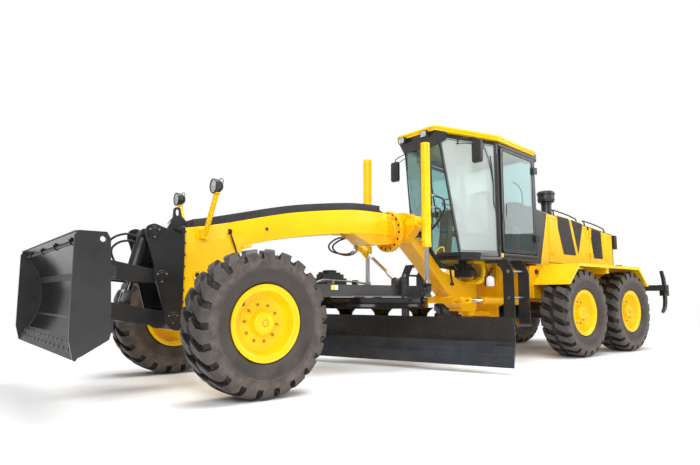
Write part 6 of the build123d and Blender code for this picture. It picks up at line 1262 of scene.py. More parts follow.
def bulge(x0, x1, z0, z1, y, depth, side):
    """A long rounded swelling on a side panel: y + depth * ((1 - u^4)(1 - v^10))^0.6 over the patch."""
    shape = (21, 41)
    u, v = np.meshgrid(*(np.linspace(-1, 1, count) for count in shape), indexing="ij")
    swell = np.clip((1 - u ** 4) * (1 - v ** 10), 0, 1) ** 0.6
    x = (x0 + x1) / 2 + (x1 - x0) / 2 * u * (1 - 0.35 * np.abs(v) ** 14)
    z = (z0 + z1) / 2 + (z1 - z0) / 2 * v
    front = np.stack([x, side * (y + depth * swell), z], axis=-1).reshape(-1, 3)
    back = np.stack([x, np.full(shape, side * (y - 0.003)), z], axis=-1).reshape(-1, 3)
    faces = ring_faces(*shape, closed_columns=False)
    faces += [face[::-1] for face in ring_faces(*shape, closed_columns=False, offset=u.size)]
    index = np.arange(u.size).reshape(shape)
    rim = np.concatenate([index[0, :-1], index[:-1, -1], index[-1, :0:-1], index[:0:-1, 0]])
    faces += [[int(a), int(b), int(b) + u.size, int(a) + u.size] for a, b in zip(rim, np.roll(rim, -1))]
    return np.vstack([front, back]), faces


GRILLES = {  # door: its screens' outlines
    "front": ([(-2.374, 2.3), (-2.754, 2.276), (-2.96, 1.64), (-2.544, 1.64), (-2.385, 2.1)],
              [(-2.83, 2.27), (-3.215, 2.226), (-3.205, 2.15), (-3.052, 1.69), (-3.02, 1.69)]),
    "rear": ([(-3.535, 2.18), (-3.884, 2.146), (-3.925, 1.62), (-3.585, 1.615), (-3.5, 1.99)],),
}
DOOR_SPAN = {"front": (-3.375, -2.095), "rear": (-4.285, -3.465)}
DOOR_FACE = 0.5535
for side_name, side in SIDES:
    for door, (rear_x, front_x) in DOOR_SPAN.items():
        body = f"engine_door_{door}_{side_name}"
        line = [(rear_x, 1.486), (front_x, 1.486), under_side_top(front_x, 0.066),
            under_side_top(rear_x, 0.066)]
        parts = [plate(line, 0.018, side * 0.5335, side * DOOR_FACE)]
        hinge, way = (rear_x, 1) if door == "front" else (front_x, -1)
        for z in (1.63, 2.0):
            spot = np.array((hinge - way * 0.001, side * 0.564, z + 0.001))
            parts.append(rod(spot, spot + (0, 0, 0.088), 0.0118, 16, 0.002))
            parts.append(block((hinge, side * 0.553, z + 0.002),
                (hinge + way * 0.044, side * 0.5635, z + 0.088)))
        put(f"hood_door_{door}_{side_name}", parts, "yellow", body, bevel=0.003, hides=(body,))
        patch = (-2.275, -2.115, 1.61, 2.235) if door == "front" else (-4.135, -3.985, 1.6, 2.12)
        put(f"door_bulge_{door}_{side_name}", [bulge(*patch, DOOR_FACE, 0.022, side)], "yellow", body,
            angle=60)
        screens, frames = [], []
        for outline in GRILLES[door]:
            soft = rounded(outline, 0.014)
            screens.append(prism(soft, side * 0.553, side * 0.5545))
            middle = soft.mean(axis=0)
            wide = soft + (soft - middle) / np.linalg.norm(soft - middle, axis=1)[:, None] * 0.01
            rows = [upright(ring, side * y) for ring, y in ((wide, 0.553), (wide, 0.5562), (soft, 0.5575),
                (soft, 0.553))]
            frames.append(loft(rows, closed=True))
        put(f"door_screen_{door}_{side_name}", screens, "mesh_black", body)
        put(f"door_screen_rims_{door}_{side_name}", frames, "yellow", body)
        if door == "rear":
            slats = [prism([(side * 0.5545, z + 0.01), (side * 0.564, z - 0.004), (side * 0.563, z - 0.008),
                (side * 0.5545, z + 0.002)], -3.87 - (2.146 - z) * 0.078, -3.53 - max(0, 1.98 - z) * 0.15,
                "x") for z in np.linspace(1.66, 2.13, 15)]
            put(f"door_louvres_{side_name}", slats, "black", body)
dots = [lathe([(0.007, 0), (0.007, 0.003), (0.004, 0.005)], (-3.42, 0.5495, z), LEFT, 16)
    for z in (1.64, 1.715, 2.01, 2.085)]
put("hinge_post_dots", both(dots), "white", "rear_frame")

# crown: three flats with softened folds, service lids, guard loops, pre-cleaner and tail lamps
rows = []
for x, lift in ((-1.4805, 0.11), (-1.6, 0.11), (-2.9, 0.095), (-4.2, 0.08), (-4.3, 0.07), (-4.3495, 0.03)):
    z = hood_side_top(x)
    half = [(0.5495, 0.003), (0.548, 0.01), (0.36, lift * 0.9), (0.335, lift * 0.985), (0.3, lift)]
    loop = [(y, z + dz) for y, dz in half] + [(-y, z + dz) for y, dz in half[::-1]]
    rows.append([(x, y, height) for y, height in loop])
# the crown's black paint is drawn blue-grey, a painted sky reflection
put("hood_crown", [loft(np.array(rows))], "hood_painted_sky_reflection", "rear_frame", angle=24, hides=("hood_top",))


def crown_z(x, y):
    """Height of the crown's surface: full in the middle, falling to the side past 0.33."""
    lift = 0.11 + (0.077 - 0.11) * (-1.48 - x) / 2.87
    return hood_side_top(x) + lift * np.clip((0.55 - abs(y)) / (0.55 - 0.33), 0, 1)


lids = []
for x0, x1, y0, y1 in ((-2.52, -3.1, 0.345, 0.5), (-3.52, -4.12, 0.345, 0.5), (-1.6, -2.2, -0.26, 0.02),
        (-2.95, -4.15, -0.27, 0.27), (-2.52, -3.1, -0.5, -0.345), (-3.52, -4.12, -0.5, -0.345)):
    corners = [(x0, y0), (x1, y0), (x1, y1), (x0, y1)]
    low = np.array([(x, y, crown_z(x, y) - 0.002) for x, y in corners])
    lids.append(loft(np.stack([low, low + (0, 0, 0.01)])))
# the lids take the same painted sky reflection
put("crown_lids", lids, "hood_painted_sky_reflection", "rear_frame", bevel=0.003)
screws = [np.array((x, y, crown_z(x, y) + 0.007)) for x in (-1.63, -2.17, -2.98, -3.55, -4.12)
    for y in (-0.24, 0.0)]
put("crown_screws", hexes(screws, UP, 0.009, 0.006), "black", "rear_frame")
guards = []
for x0, x1 in ((-2.42, -3.18), (-3.46, -4.2)):
    bend = [(x0, 0.475, crown_z(x0, 0.475) - 0.01), (x0 - 0.006, 0.455, crown_z(x0, 0.42) + 0.055)]
    bend += [(x, 0.405, crown_z(x, 0.4) + lift) for x, lift in ((x0 - 0.05, 0.085), (x0 - 0.2, 0.095),
        (x1 + 0.2, 0.095), (x1 + 0.05, 0.085))]
    bend += [(x1 + 0.006, 0.455, crown_z(x1, 0.42) + 0.055), (x1, 0.475, crown_z(x1, 0.475) - 0.01)]
    guards.append(tube(bend, 0.012, 10))
    guards.append(rod((x0, 0.2, crown_z(x0, 0.2) - 0.004), (x0, 0.32, crown_z(x0, 0.32) + 0.028), 0.01, 10))
put("crown_guards", both(guards), "black", "rear_frame")
bowl = []
turn = np.linspace(0, 2 * pi, 96, endpoint=False)
for radius, z, ripple in ((0.06, 2.588, 0), (0.128, 2.59, 0), (0.14, 2.6, 0), (0.15, 2.64, 0),
        (0.146, 2.645, 1), (0.143, 2.715, 1), (0.146, 2.722, 0), (0.152, 2.724, 0), (0.1545, 2.73, 0),
        (0.1545, 2.75, 0), (0.146, 2.772, 0), (0.12, 2.79, 0), (0.06, 2.7985, 0), (0.004, 2.7995, 0)):
    around = radius - 0.004 * ripple * (1 + np.cos(24 * turn)) / 2
    bowl.append(np.column_stack([-2.56 + around * np.cos(turn), 0.25 + around * np.sin(turn),
        np.full(96, z)]))
cleaner = [loft(np.array(bowl)), lathe([(0.1, 0), (0.092, 0.006), (0.088, 0.02), (0.088, 0.16), (0.096, 0.17),
    (0.096, 0.182), (0.088, 0.186), (0.088, 0.205)], (-2.56, 0.25, 2.385), UP, 48)]
put("pre_cleaner", cleaner, "plastic", "rear_frame", angle=28)
pipe = [lathe([(0.06, 0), (0.06, 0.16), (0.062, 0.165), (0.062, 0.175), (0.052, 0.175), (0.052, 0.05),
    (0.01, 0.05)], (-2.3, -0.22, 2.39), UP, 36)]
put("exhaust_pipe", pipe, "steel", "rear_frame", angle=30)
centre = np.array((-4.405, 0.525, 1.965))
tail = facing(centre, round_box(0.0595, 0.268, 0.012, 3), ((0.0545, 1.0), (-0.05, 1.0), (-0.054, 0.96)))
reds = [facing(centre + (0, 0, z), round_box(0.046, tall, 0.01, 3), ((-0.053, 1.0), (-0.0549, 0.93)))
    for z, tall in ((0.075, 0.085), (-0.035, 0.105))]
put("tail_lamp_boxes", both([tail]), "black", "rear_frame", bevel=0.002)
put("tail_lamp_lenses", both(reds), "red", "rear_frame")

# ---------------------------------------- fenders, with treaded front slopes
FENDER_LINE = np.array([(-1.326, 1.1005), (-1.65, 1.425), (-3.68, 1.425), (-4.004, 1.1005)])


def tread_patch(start, stop, low_y, high_y, rows=60, columns=72, high=0.0022):
    """A treaded plate: lozenges on a slope, height = high * soft step of cos u + cos v, turned 45 degrees."""
    start, stop = np.asarray(start), np.asarray(stop)
    along = np.linalg.norm(stop - start)
    u, v = np.meshgrid(np.linspace(0, 1, rows), np.linspace(0, 1, columns), indexing="ij")
    across = high_y - low_y
    p, q = (u * along + v * across) / 0.03, (u * along - v * across) / 0.03
    step = 1 / (1 + np.exp(-9 * (np.cos(p * 2 * pi / 1.414) + 0.6 * np.cos(q * 2 * pi / 1.414) - 0.55)))
    normal = np.array((-(stop - start)[1], (stop - start)[0])) / along
    normal = normal * np.sign(normal[1])
    x = start[0] + (stop - start)[0] * u + normal[0] * (0.0005 + high * step)
    z = start[1] + (stop - start)[1] * u + normal[1] * (0.0005 + high * step)
    top = np.stack([x, low_y + across * v, z], axis=-1).reshape(-1, 3)
    return top, ring_faces(rows, columns, closed_columns=False)


fender = rounded(np.vstack([FENDER_LINE, FENDER_LINE[::-1] + (0, -0.008)]), 0.02, 6)
plates = [prism(fender, 0.701, 1.3095), *[block((x - 0.06, 0.73, 1.181), (x + 0.06, 0.76, 1.42))
    for x in (-2.15, -3.15)], prism([(-2.605, 1.291), (-2.695, 1.291), (-2.695, 1.42), (-2.605, 1.42)], 0.856,
    1.248), prism([(-2.58, 1.418), (-2.72, 1.418), (-2.66, 1.3), (-2.64, 1.3)], 1.246, 1.254)]
inner = np.array([(-1.376, 1.1005), (-1.668, 1.378), (-3.662, 1.378), (-3.954, 1.1005)])
lip = prism(np.vstack([FENDER_LINE, inner[::-1]]), 1.3028, 1.3098)
put("fender_plates", both(plates), "yellow", "rear_frame", bevel=0.002, hides=("rear_fenders",))
put("fender_lips", both([lip]), "bright_yellow", "rear_frame", bevel=0.0015)
for side_name, side in SIDES:
    treads = [tread_patch((-1.334, 1.111), (-1.644, 1.4225), *sorted((side * 0.72, side * 1.295))),
        tread_patch((-1.665, 1.4255), (-3.668, 1.4255), *sorted((side * 0.72, side * 1.295)), rows=200,
        columns=60)]
    put(f"fender_treads_{side_name}", treads, "yellow", "rear_frame", angle=60)
base = np.array((-3.6, 1.0, 1.4272))
heads = [block(base + (-0.12, -0.06, 0), base + (0.1, 0.06, 0.018)),
    rod(base + (-0.1, 0, 0.026), base + (0.08, 0, 0.026), 0.0245, 28, 0.006),
    rod(base + (0.08, 0, 0.026), base + (0.125, 0, 0.026), 0.016, 20, 0.004)]
put("fender_filter_heads", both(heads), "plastic", "rear_frame", bevel=0.003)

# ---------------------------------------- ladders, steps and small things under the cab
outline = rounded([(0.931, 0.502), (1.109, 0.502), (1.109, 1.25), (1.01, 1.437), (0.641, 1.437),
    (0.641, 1.386), (0.85, 1.386), (0.931, 1.25)], 0.03)
LADDER_BLOCKS = ((-0.614, -0.266, 0.901, 1.129, 0.501, 0.529), (-0.614, -0.266, 0.641, 0.849, 1.396, 1.437),
    (-0.999, -0.626, 0.641, 0.699, 1.386, 1.437), (-0.999, -0.941, 0.351, 0.699, 1.386, 1.437))
ladders = []
for side in (1, -1):
    ladders += [prism(outline * (side, 1), x - 0.006, x + 0.006, "x") for x in (-0.62, -0.26)]
    for x0, x1, y0, y1, z0, z1 in LADDER_BLOCKS:
        low, high = sorted((side * y0, side * y1))
        ladders.append(block((x0, low, z0), (x1, high, z1)))
put("ladder_plates", ladders, "black", "rear_frame", bevel=0.002, hides=("access_ladders",))
rungs = [rod((low, 1.02, z), (high, 1.02, z), radius, count) for z in (0.9, 1.265)
    for low, high, radius, count in ((-0.6205, -0.2595, 0.0188, 20), (-0.628, -0.6205, 0.03, 6),
    (-0.2595, -0.252, 0.03, 6))]
put("ladder_rungs", both(rungs), "steel", "rear_frame")
for side_name, side in SIDES:
    low, high = sorted((side * 0.905, side * 1.125))
    u, v = np.meshgrid(np.linspace(0, 1, 24), np.linspace(0, 1, 36), indexing="ij")
    height = 0.5305 + 0.005 * (np.sin(u * 2 * pi * 4) * np.sin(v * 2 * pi * 6) > 0.1)
    step = np.stack([-0.612 + 0.344 * v, low + (high - low) * u, height], axis=-1).reshape(-1, 3)
    upper = np.stack([-0.612 + 0.344 * v, side * 0.655 + (side * 0.19) * u, height + 0.9085],
        axis=-1).reshape(-1, 3)
    faces = ring_faces(24, 36, closed_columns=False)
    put(f"step_treads_{side_name}", [(step, faces), (upper, faces)], "steel", "rear_frame", angle=20)
bottle = [lathe([(0.004, 0.0), (0.052, 0.002), (0.058, 0.012), (0.058, 0.105), (0.052, 0.125), (0.026, 0.136),
    (0.022, 0.15), (0.006, 0.152)], (-0.25, 0.72, 1.06), UP, 32)]
put("washer_bottle", bottle, "white", "rear_frame", angle=35)
put("washer_bottle_cap", [rod((-0.25, 0.72, 1.208), (-0.25, 0.72, 1.228), 0.027, 20, 0.004),
    tube([(-0.25, 0.72, 1.225), (-0.28, 0.71, 1.27), (-0.34, 0.66, 1.31), (-0.42, 0.6, 1.33)], 0.005, 8),
    block((-0.3, 0.655, 1.06), (-0.2, 0.664, 1.2))], "plastic", "rear_frame")

# ---------------------------------------- rear frame: side tanks, wall ribs, articulation plates
tanks = [plate([(-1.6, 0.9), (-1.25, 0.9), (-1.25, 1.375), (-1.29, 1.395), (-1.56, 1.395), (-1.6, 1.375)],
    0.03, 0.4, 0.715), *[block((x - 0.012, 0.4, 0.892), (x + 0.012, 0.722, 1.396)) for x in (-1.34, -1.51)],
    plate([(-0.942, 1.43), (-1.24, 1.43), (-1.24, 0.905), (-1.16, 0.83), (-0.942, 0.76)], 0.03, 0.35, 0.362),
    plate([(-0.938, 1.43), (-0.76, 1.43), (-0.82, 1.33), (-0.938, 1.26)], 0.02, 0.25, 0.262)]
# the side tanks take the yellow's painted shade
put("side_tanks", both(tanks), "yellow_painted_shade", "rear_frame", bevel=0.004)
put("side_tank_caps", both([rod((-1.425, 0.715, 1.3), (-1.425, 0.742, 1.3), 0.04, 24, 0.005)]), "black",
    "rear_frame", bevel=0.001)
bolts = []
for side in (1, -1):
    spots = [(x, side * 0.362, z) for x, z in ((-1.0, 1.38), (-1.19, 1.38), (-1.0, 0.86), (-1.19, 0.95),
        (-1.0, 1.12))]
    bolts += hexes(spots, (0, side, 0), 0.011, 0.009)
    bolts += hexes([(x, side * 0.15, 1.2115) for x in (-0.68, -0.6, -0.52)], UP, 0.011, 0.009)
put("rear_frame_bolts", bolts, "steel", "rear_frame")
pin_caps = []
for z, way in ((1.2112, 1), (0.6288, -1)):
    pin_caps.append(lathe([(0.004, 0), (0.105, 0), (0.108, 0.004), (0.108, 0.012), (0.06, 0.014),
        (0.058, 0.022), (0.004, 0.024)], (-0.65, 0, z), (0, 0, way), 40))
    pin_caps += hexes(on_circle((-0.65, 0, z + way * 0.012), UP, 0.085, 8), (0, 0, way), 0.009, 0.008)
# the articulation pin caps take the yellow's painted shade
put("articulation_pin_caps", pin_caps, "yellow_painted_shade", "rear_frame", angle=32)
frame_hoses = []
for number in range(3):
    y, drop = 0.3 - 0.03 * number, 0.05 * number
    frame_hoses.append(tube([(-0.935, y, 1.35 - drop), (-0.86, y, 1.345 - drop),
        (-0.79, y + 0.02, 1.3 - drop), (-0.77, y + 0.03, 1.23 - 0.6 * drop), (-0.82, y + 0.02, 1.17),
        (-0.935, y, 1.13 - 0.4 * drop)], 0.011, 10))
put("rear_frame_hoses", both(frame_hoses), "hose", "rear_frame")

# ---------------------------------------- tandem cases: covers and breathers
covers = []
for side in (1, -1):
    for x in (-1.88, -3.42):
        covers.append(lathe([(0.004, 0), (0.15, 0), (0.152, 0.004), (0.152, 0.01), (0.12, 0.012),
            (0.004, 0.013)], (x, side * 0.659, AXLE_Z), (0, -side, 0), 48))
        covers += hexes(on_circle((x, side * 0.649, AXLE_Z), LEFT, 0.137, 10), (0, -side, 0), 0.01, 0.008)
covers += both([plate([(-2.46, 0.845), (-2.84, 0.845), (-2.8, 0.87), (-2.5, 0.87)], 0.01, 0.68, 0.815),
    rod((-2.65, 0.745, 0.868), (-2.65, 0.745, 0.9), 0.022, 16, 0.004)])
put("tandem_covers", covers, "black", "rear_frame", bevel=0.001)

# ---------------------------------------- ripper: teeth, holders' pins, beam end caps
# a tooth's corners: x and its growth, z and its growth, side
TOOTH = ((0.1, 0.13, -0.415, -0.055, -1), (0.1, 0.13, -0.415, -0.055, 1), (0.125, 0.12, -0.352, -0.105, 1),
    (0.125, 0.12, -0.352, -0.105, -1))
teeth, pins, caps = [], [], []
for y in (-1.09, -0.545, 0.0, 0.545, 1.09):
    teeth.append(loft([[(-5.31 + x + more * step, y + way * 0.03 * (1 - 0.75 * step), 1.085 + z + drop * step)
        for x, more, z, drop, way in TOOTH] for step in (0.0, 0.5, 1.0)]))
    pins += [rod((x, y - 0.056, z), (x, y + 0.056, z), 0.014, 16, 0.002)
        for x, z in ((-5.27, 1.04), (-5.15, 1.1))]
    caps += [block((-5.308, y - 0.052, z), (-5.28, y + 0.052, z + 0.02)) for z in (0.938, 1.122)]
loop = round_box(0.066, 0.104, 0.01, 3) + (-5.05, 1.085)
caps += both([loft([upright(loop, y) for y in (1.192, 1.206)]),
    rod((-5.05, 1.198, 1.03), (-5.05, 1.198, 0.985), 0.024, 20, 0.005),
    plate([(-4.98, 1.14), (-4.98, 1.03), (-4.88, 0.96), (-4.88, 1.0)], 0.01, 0.32, 0.332)])
put("ripper_teeth", teeth, "steel", "ripper_frame", angle=30)
put("ripper_pins", pins, "steel", "ripper_frame")
put("ripper_beam_caps", caps, "black", "ripper_frame", bevel=0.002)

# ---------------------------------------- moldboard: face in painted shade above a painted sky reflection, edge, end bit, bolts
CIRCLE_CENTRE, CIRCLE_TURN = (1.42, 0.0, 0.0), radians(21)
BOARD_LOW, BOARD_HIGH = -1.786, 1.872


def on_circle_place(shells):
    """Shells drawn square to the machine, carried to the circle's own turned place."""
    return turned(shells, CIRCLE_CENTRE, CIRCLE_TURN)


board_front = arc((-0.066, 0.665), (-0.155, 0.38), (-0.084, 0.145), 48)
# the face's upper part carries painted shade and its lower part a painted sky reflection
for name, line, paint in (("moldboard_upper_face", board_front[:27], "board_painted_shade"),
        ("moldboard_lower_face", board_front[27:], "board_painted_sky_reflection")):
    put(name, on_circle_place([sheet_between(line, line + (0.002, 0.0), BOARD_LOW, BOARD_HIGH)]), paint,
        "moldboard", angle=60)
edge_line = [(-0.0645, 0.0865), (-0.0985, 0.235), (-0.105, 0.2375), (-0.072, 0.0865)]
edge_parts = [plate(edge_line, 0.002, BOARD_LOW, 1.618), plate(edge_line, 0.002, 1.622, BOARD_HIGH),
    plate([(-0.062, 0.0865), (-0.096, 0.23), (-0.1, 0.33), (-0.108, 0.33), (-0.105, 0.235), (-0.072, 0.0865)],
    0.002, 1.624, BOARD_HIGH - 0.001)]
# the cutting edge carries the same painted sky reflection
put("moldboard_cutting_edge", on_circle_place(edge_parts), "board_painted_sky_reflection", "moldboard", bevel=0.0015)
studs = [(-0.0905, y, 0.205) for y in np.arange(-1.7, 1.6, 0.1524)]
studs += [(-0.0905, y, z) for y in (1.67, 1.82) for z in (0.15, 0.205)]
put("moldboard_edge_bolts", on_circle_place(hexes(studs, (0.97, 0, 0.22), 0.0095, 0.005)), "board_black",
    "moldboard")
ribs = [plate(outline, 0.01, y - 0.006, y + 0.006) for y in (-1.2, -0.6, 0.0, 0.6, 1.2)
    for outline in ([(-0.107, 0.62), (-0.196, 0.42), (-0.222, 0.52), (-0.222, 0.56), (-0.125, 0.655)],
    [(-0.176, 0.36), (-0.14, 0.17), (-0.222, 0.215), (-0.222, 0.255)])]
put("moldboard_back_ribs", on_circle_place(ribs), "board_black", "moldboard", bevel=0.001)

# ---------------------------------------- circle: drum rim, gussets down to the arms
drum = [lathe([(0.7805, 0.766), (0.7835, 0.77), (0.7835, 0.8), (0.7805, 0.806), (0.7805, 0.866),
    (0.7835, 0.872), (0.7835, 0.897), (0.7805, 0.9), (0.77, 0.9), (0.77, 0.766), (0.7805, 0.766)], (0, 0, 0),
    UP, 128)]
for y in (-0.575, 0.0, 0.575):
    drum.append(plate([(y - 0.205, 0.767), (y + 0.205, 0.767), (y + 0.15, 0.73), (y + 0.11, 0.69),
        (y + 0.095, 0.628), (y - 0.095, 0.628), (y - 0.11, 0.69), (y - 0.15, 0.73)], 0.02, -0.372, -0.35,
        "x"))
put("circle_drum", on_circle_place(drum), "gloss_black", "circle", bevel=0.002)
spots = on_circle((0, 0, 0.81), UP, 0.6375, 64, pi / 2)
teeth = [rod(spot, spot + (0, 0, 0.06), 0.013, 8, 0.003) for spot in spots]
put("circle_teeth", on_circle_place(teeth), "copper", "circle")

# ---------------------------------------- drawbar: drive motor, pipes, label, slide edge
drive = [plate([(1.88, -0.12), (2.26, -0.12), (2.26, 0.12), (1.88, 0.12)], 0.04, 1.06, 1.14, "z"),
    plate([(1.9, -0.09), (2.24, -0.09), (2.24, 0.09), (1.9, 0.09)], 0.05, 1.14, 1.19, "z"),
    lathe([(0.004, 0.0), (0.09, 0.0), (0.092, 0.004), (0.092, 0.018), (0.083, 0.022), (0.083, 0.03),
    (0.09, 0.034), (0.09, 0.044), (0.07, 0.052), (0.004, 0.053)], (2.08, 0, 1.1905), UP, 40),
    *hexes(on_circle((2.08, 0, 1.234), UP, 0.078, 8), UP, 0.007, 0.006),
    *[lathe([(0.004, 0), (0.04, 0), (0.04, 0.022), (0.034, 0.026), (0.004, 0.027)], (x, 0, 1.19), UP, 28)
    for x in (1.955, 2.205)]]
put("circle_drive_housing", drive, "black", "drawbar", bevel=0.004)
pipes = [tube([(2.45, y * 0.72, 1.068), (2.36, y * 0.9, 1.095 + 0.008 * number), (2.2, y, 1.105),
    (1.98, y, 1.098), (1.8, y + 0.01, 1.085), (1.66, y + 0.02, 1.068)], 0.0095, 10)
    for number, y in enumerate((0.215, 0.245, 0.275))]
pipes += [block((x - 0.015, 0.195, 1.056), (x + 0.015, 0.295, 1.116)) for x in (2.24, 1.86)]
put("drawbar_pipes", pipes, "steel", "drawbar", bevel=0.001)
slide = [block((1.245, y, 0.908), (2.06, y + 0.0032, 0.921)) for y in (0.4148, -0.418)]
slide += hexes([(x, y, 0.9145) for y in (0.418, -0.418) for x in np.linspace(1.3, 2.0, 5)], LEFT, 0.005,
    0.002)
put("drawbar_slide_edges", slide, "steel", "drawbar")
for name, x0, x1, paint in (("yellow", 2.316, 2.366, "bright_yellow"), ("white", 2.262, 2.314, "white")):
    put(f"drawbar_plate_{name}", [plate([(x0, 0.989), (x1, 0.989), (x1, 1.045), (x0, 1.045)], 0.004, 0.4148,
        0.4168)], paint, "drawbar", bevel=0.0005)
post = [plate([(1.205, 0.955), (1.29, 0.955), (1.29, 1.15), (1.262, 1.17), (1.225, 1.16), (1.205, 1.12)],
    0.02, 0.445, 0.5), block((1.2, 0.415, 0.93), (1.292, 0.5, 0.958))]
post += hexes([np.array((1.247, 0.5, z)) for z in (1.0, 1.1)], LEFT, 0.011, 0.008)
put("swing_post", post, "black", "drawbar", bevel=0.004)

# ---------------------------------------- swing cylinder, lift rods, articulation rods
SWING_START = np.array((1.255, -0.65, 1.8))
swing_way = np.array((1.255, 0.39, 1.085)) - SWING_START
swing_way /= np.linalg.norm(swing_way)
swing = [lathe([(0.03, 0.06), (0.052, 0.064), (0.058, 0.075), (0.058, 0.47), (0.066, 0.474), (0.066, 0.53),
    (0.04, 0.532), (0.03, 0.53)], SWING_START, swing_way, 40),
    rod(SWING_START - (0.031, 0, 0), SWING_START + (0.031, 0, 0), 0.058, 32, 0.003),
    block(SWING_START + swing_way * 0.4 + (0.05, -0.03, -0.03),
    SWING_START + swing_way * 0.4 + (0.085, 0.03, 0.03))]
put("swing_cylinder_tube", swing, "yellow", "swing_barrel", angle=32, hides=("swing_barrel",))
port = SWING_START + swing_way * 0.335
put("swing_port_block", [block(port + (0.05, -0.028, -0.03), port + (0.1, 0.028, 0.03)),
    rod(port + (0.075, 0, -0.03), port + (0.075, 0, -0.065), 0.016, 6)], "steel", "swing_barrel", bevel=0.003)
cup = np.array((1.255, 0.375, 1.098))
put("swing_ball_cup", [lathe([(0.004, -0.05), (0.034, -0.044), (0.05, -0.02), (0.053, 0.0), (0.05, 0.02),
    (0.04, 0.036), (0.032, 0.06), (0.027, 0.085), (0.004, 0.086)], cup, -swing_way, 32)], "black",
    "swing_rod", angle=40)
foot = np.array((LIFT_X, LIFT_Y, 0.0))
ring = [(0.888, 1.075), (0.888, 0.985), (0.905, 0.962), (0.93, 0.957), (0.955, 0.962), (0.972, 0.985),
    (0.972, 1.075)]
clevis = [rod(foot + (0, 0, 1.055), foot + (0, 0, 1.125), 0.041, 28, 0.004), plate(ring, 0.01, 0.559, 0.574),
    plate(ring, 0.01, 0.626, 0.641), block((0.888, 0.559, 1.052), (0.972, 0.641, 1.08))]
put("lift_rod_chrome", both([rod(foot + (0, 0, 1.08), foot + (0, 0, 2.45), 0.03, 32, 0.002)]), "chrome",
    "lift_rods", angle=32, hides=("lift_rods",))
put("lift_rod_clevises", both(clevis), "black", "lift_rods", bevel=0.003)
for side_name, side in SIDES:
    y = side * 0.55
    put(f"articulation_rod_{side_name}", [rod((-0.71, y, 0.858), (0.01, y, 0.858), 0.0268, 28, 0.002)],
        "chrome", f"artic_rod_{side_name}", angle=32, hides=(f"artic_rod_{side_name}",))
    fork = [lathe([(0.02, 0), (0.038, 0), (0.044, 0.008), (0.044, 0.05), (0.038, 0.058), (0.02, 0.06)],
        (0.0, y, 0.858), AHEAD, 28)]
    ring = [(0.185 + 0.0445 * cos(angle), y + 0.0445 * sin(angle))
        for angle in np.linspace(-pi / 2, pi / 2, 15)]
    for low, high in ((0.8165, 0.8395), (0.8765, 0.8995)):
        fork.append(prism([(0.05, y - 0.038), *ring, (0.05, y + 0.038)], low, high, "z"))
    fork.append(rod((0.185, y, 0.808), (0.185, y, 0.908), 0.0245, 24, 0.002))
    put(f"articulation_clevis_{side_name}", fork, "yellow", f"artic_rod_{side_name}", bevel=0.002)

# ---------------------------------------- hoses: lift, swing and the bundle down the gooseneck
def ferrules_of(line, radius):
    """A steel ferrule at each end of a hose."""
    ends = []
    for end, inward in ((line[0], line[1]), (line[-1], line[-2])):
        way = (inward - end) / np.linalg.norm(inward - end)
        ends.append(rod(end - way * 0.004, end + way * 0.045, radius * 1.25, 14, 0.002))
    return ends


SWING_HOSES = [  # from the beam's side down to the swing cylinder
    [(1.75, -0.14, 1.7), (1.86, -0.17, 1.665), (1.93, -0.22, 1.585), (1.85, -0.27, 1.515),
     (1.66, -0.31, 1.49), (1.5, -0.35, 1.5), (1.38, -0.375, 1.545)],
    [(1.72, -0.12, 1.69), (1.83, -0.15, 1.64), (1.89, -0.19, 1.57), (1.8, -0.24, 1.505),
     (1.62, -0.29, 1.475), (1.46, -0.33, 1.49), (1.36, -0.35, 1.535)]]
LIFT_HOSES = [  # from a lift cylinder's ports in to the saddle, on the left
    [(0.88, 0.655, 2.262), (0.802, 0.665, 2.252), (0.633, 0.65, 2.221), (0.526, 0.56, 2.089),
     (0.53, 0.42, 1.92), (0.6, 0.3, 1.8), (0.7, 0.17, 1.76)],
    [(0.88, 0.65, 2.1), (0.83, 0.655, 2.092), (0.71, 0.64, 2.087), (0.59, 0.56, 2.016),
     (0.6, 0.43, 1.88), (0.64, 0.32, 1.79), (0.72, 0.16, 1.735)]]
NECK_LINE = np.array([(0.76, 0.0, 1.94), (0.599, 0.0, 1.79), (0.323, 0.0, 1.49), (0.2, 0.0, 1.375),
    (0.05, 0.0, 1.325), (-0.14, 0.0, 1.32)])
NECK_HOSES = [NECK_LINE + (0.0, 0.15 + 0.026 * (number % 3), 0.03 * (number // 3)) + np.linspace(0, 1,
    len(NECK_LINE))[:, None] * (0, 0.014, 0.0) for number in range(5)]
RIGHT_LIFT_HOSES = np.array(LIFT_HOSES) * (1, -1, 1)
ferrules = []
for name, lines, radius in (("swing_hoses", SWING_HOSES, 0.0115), ("lift_hoses_left", LIFT_HOSES, 0.013),
        ("lift_hoses_right", RIGHT_LIFT_HOSES, 0.013), ("neck_hoses", NECK_HOSES, 0.0125)):
    put(name, [tube(line, radius) for line in lines], "hose", "front_frame")
    for line in lines:
        ferrules += ferrules_of(np.asarray(line), radius)
put("hose_ferrules", ferrules, "steel", "front_frame")
clamp = [tube([(0.26, 0.139, 1.5), (0.25, 0.15, 1.56), (0.22, 0.19, 1.62), (0.2, 0.245, 1.625),
    (0.2, 0.26, 1.56)], 0.009, 10), plate([(-0.38, 1.456), (-0.52, 1.462), (-0.597, 1.428), (-0.612, 1.3),
    (-0.586, 1.169), (-0.5, 1.11), (-0.423, 1.093), (-0.423, 1.15), (-0.5, 1.165), (-0.54, 1.205),
    (-0.555, 1.3), (-0.545, 1.39), (-0.5, 1.41), (-0.38, 1.405)], 0.02, 0.33, 0.372),
    block((-0.44, 0.14, 1.1), (-0.4, 0.372, 1.14)), block((-0.4, 0.14, 1.41), (-0.34, 0.372, 1.45))]
put("hose_clamp_and_bracket", clamp, "yellow", "front_frame", bevel=0.003)
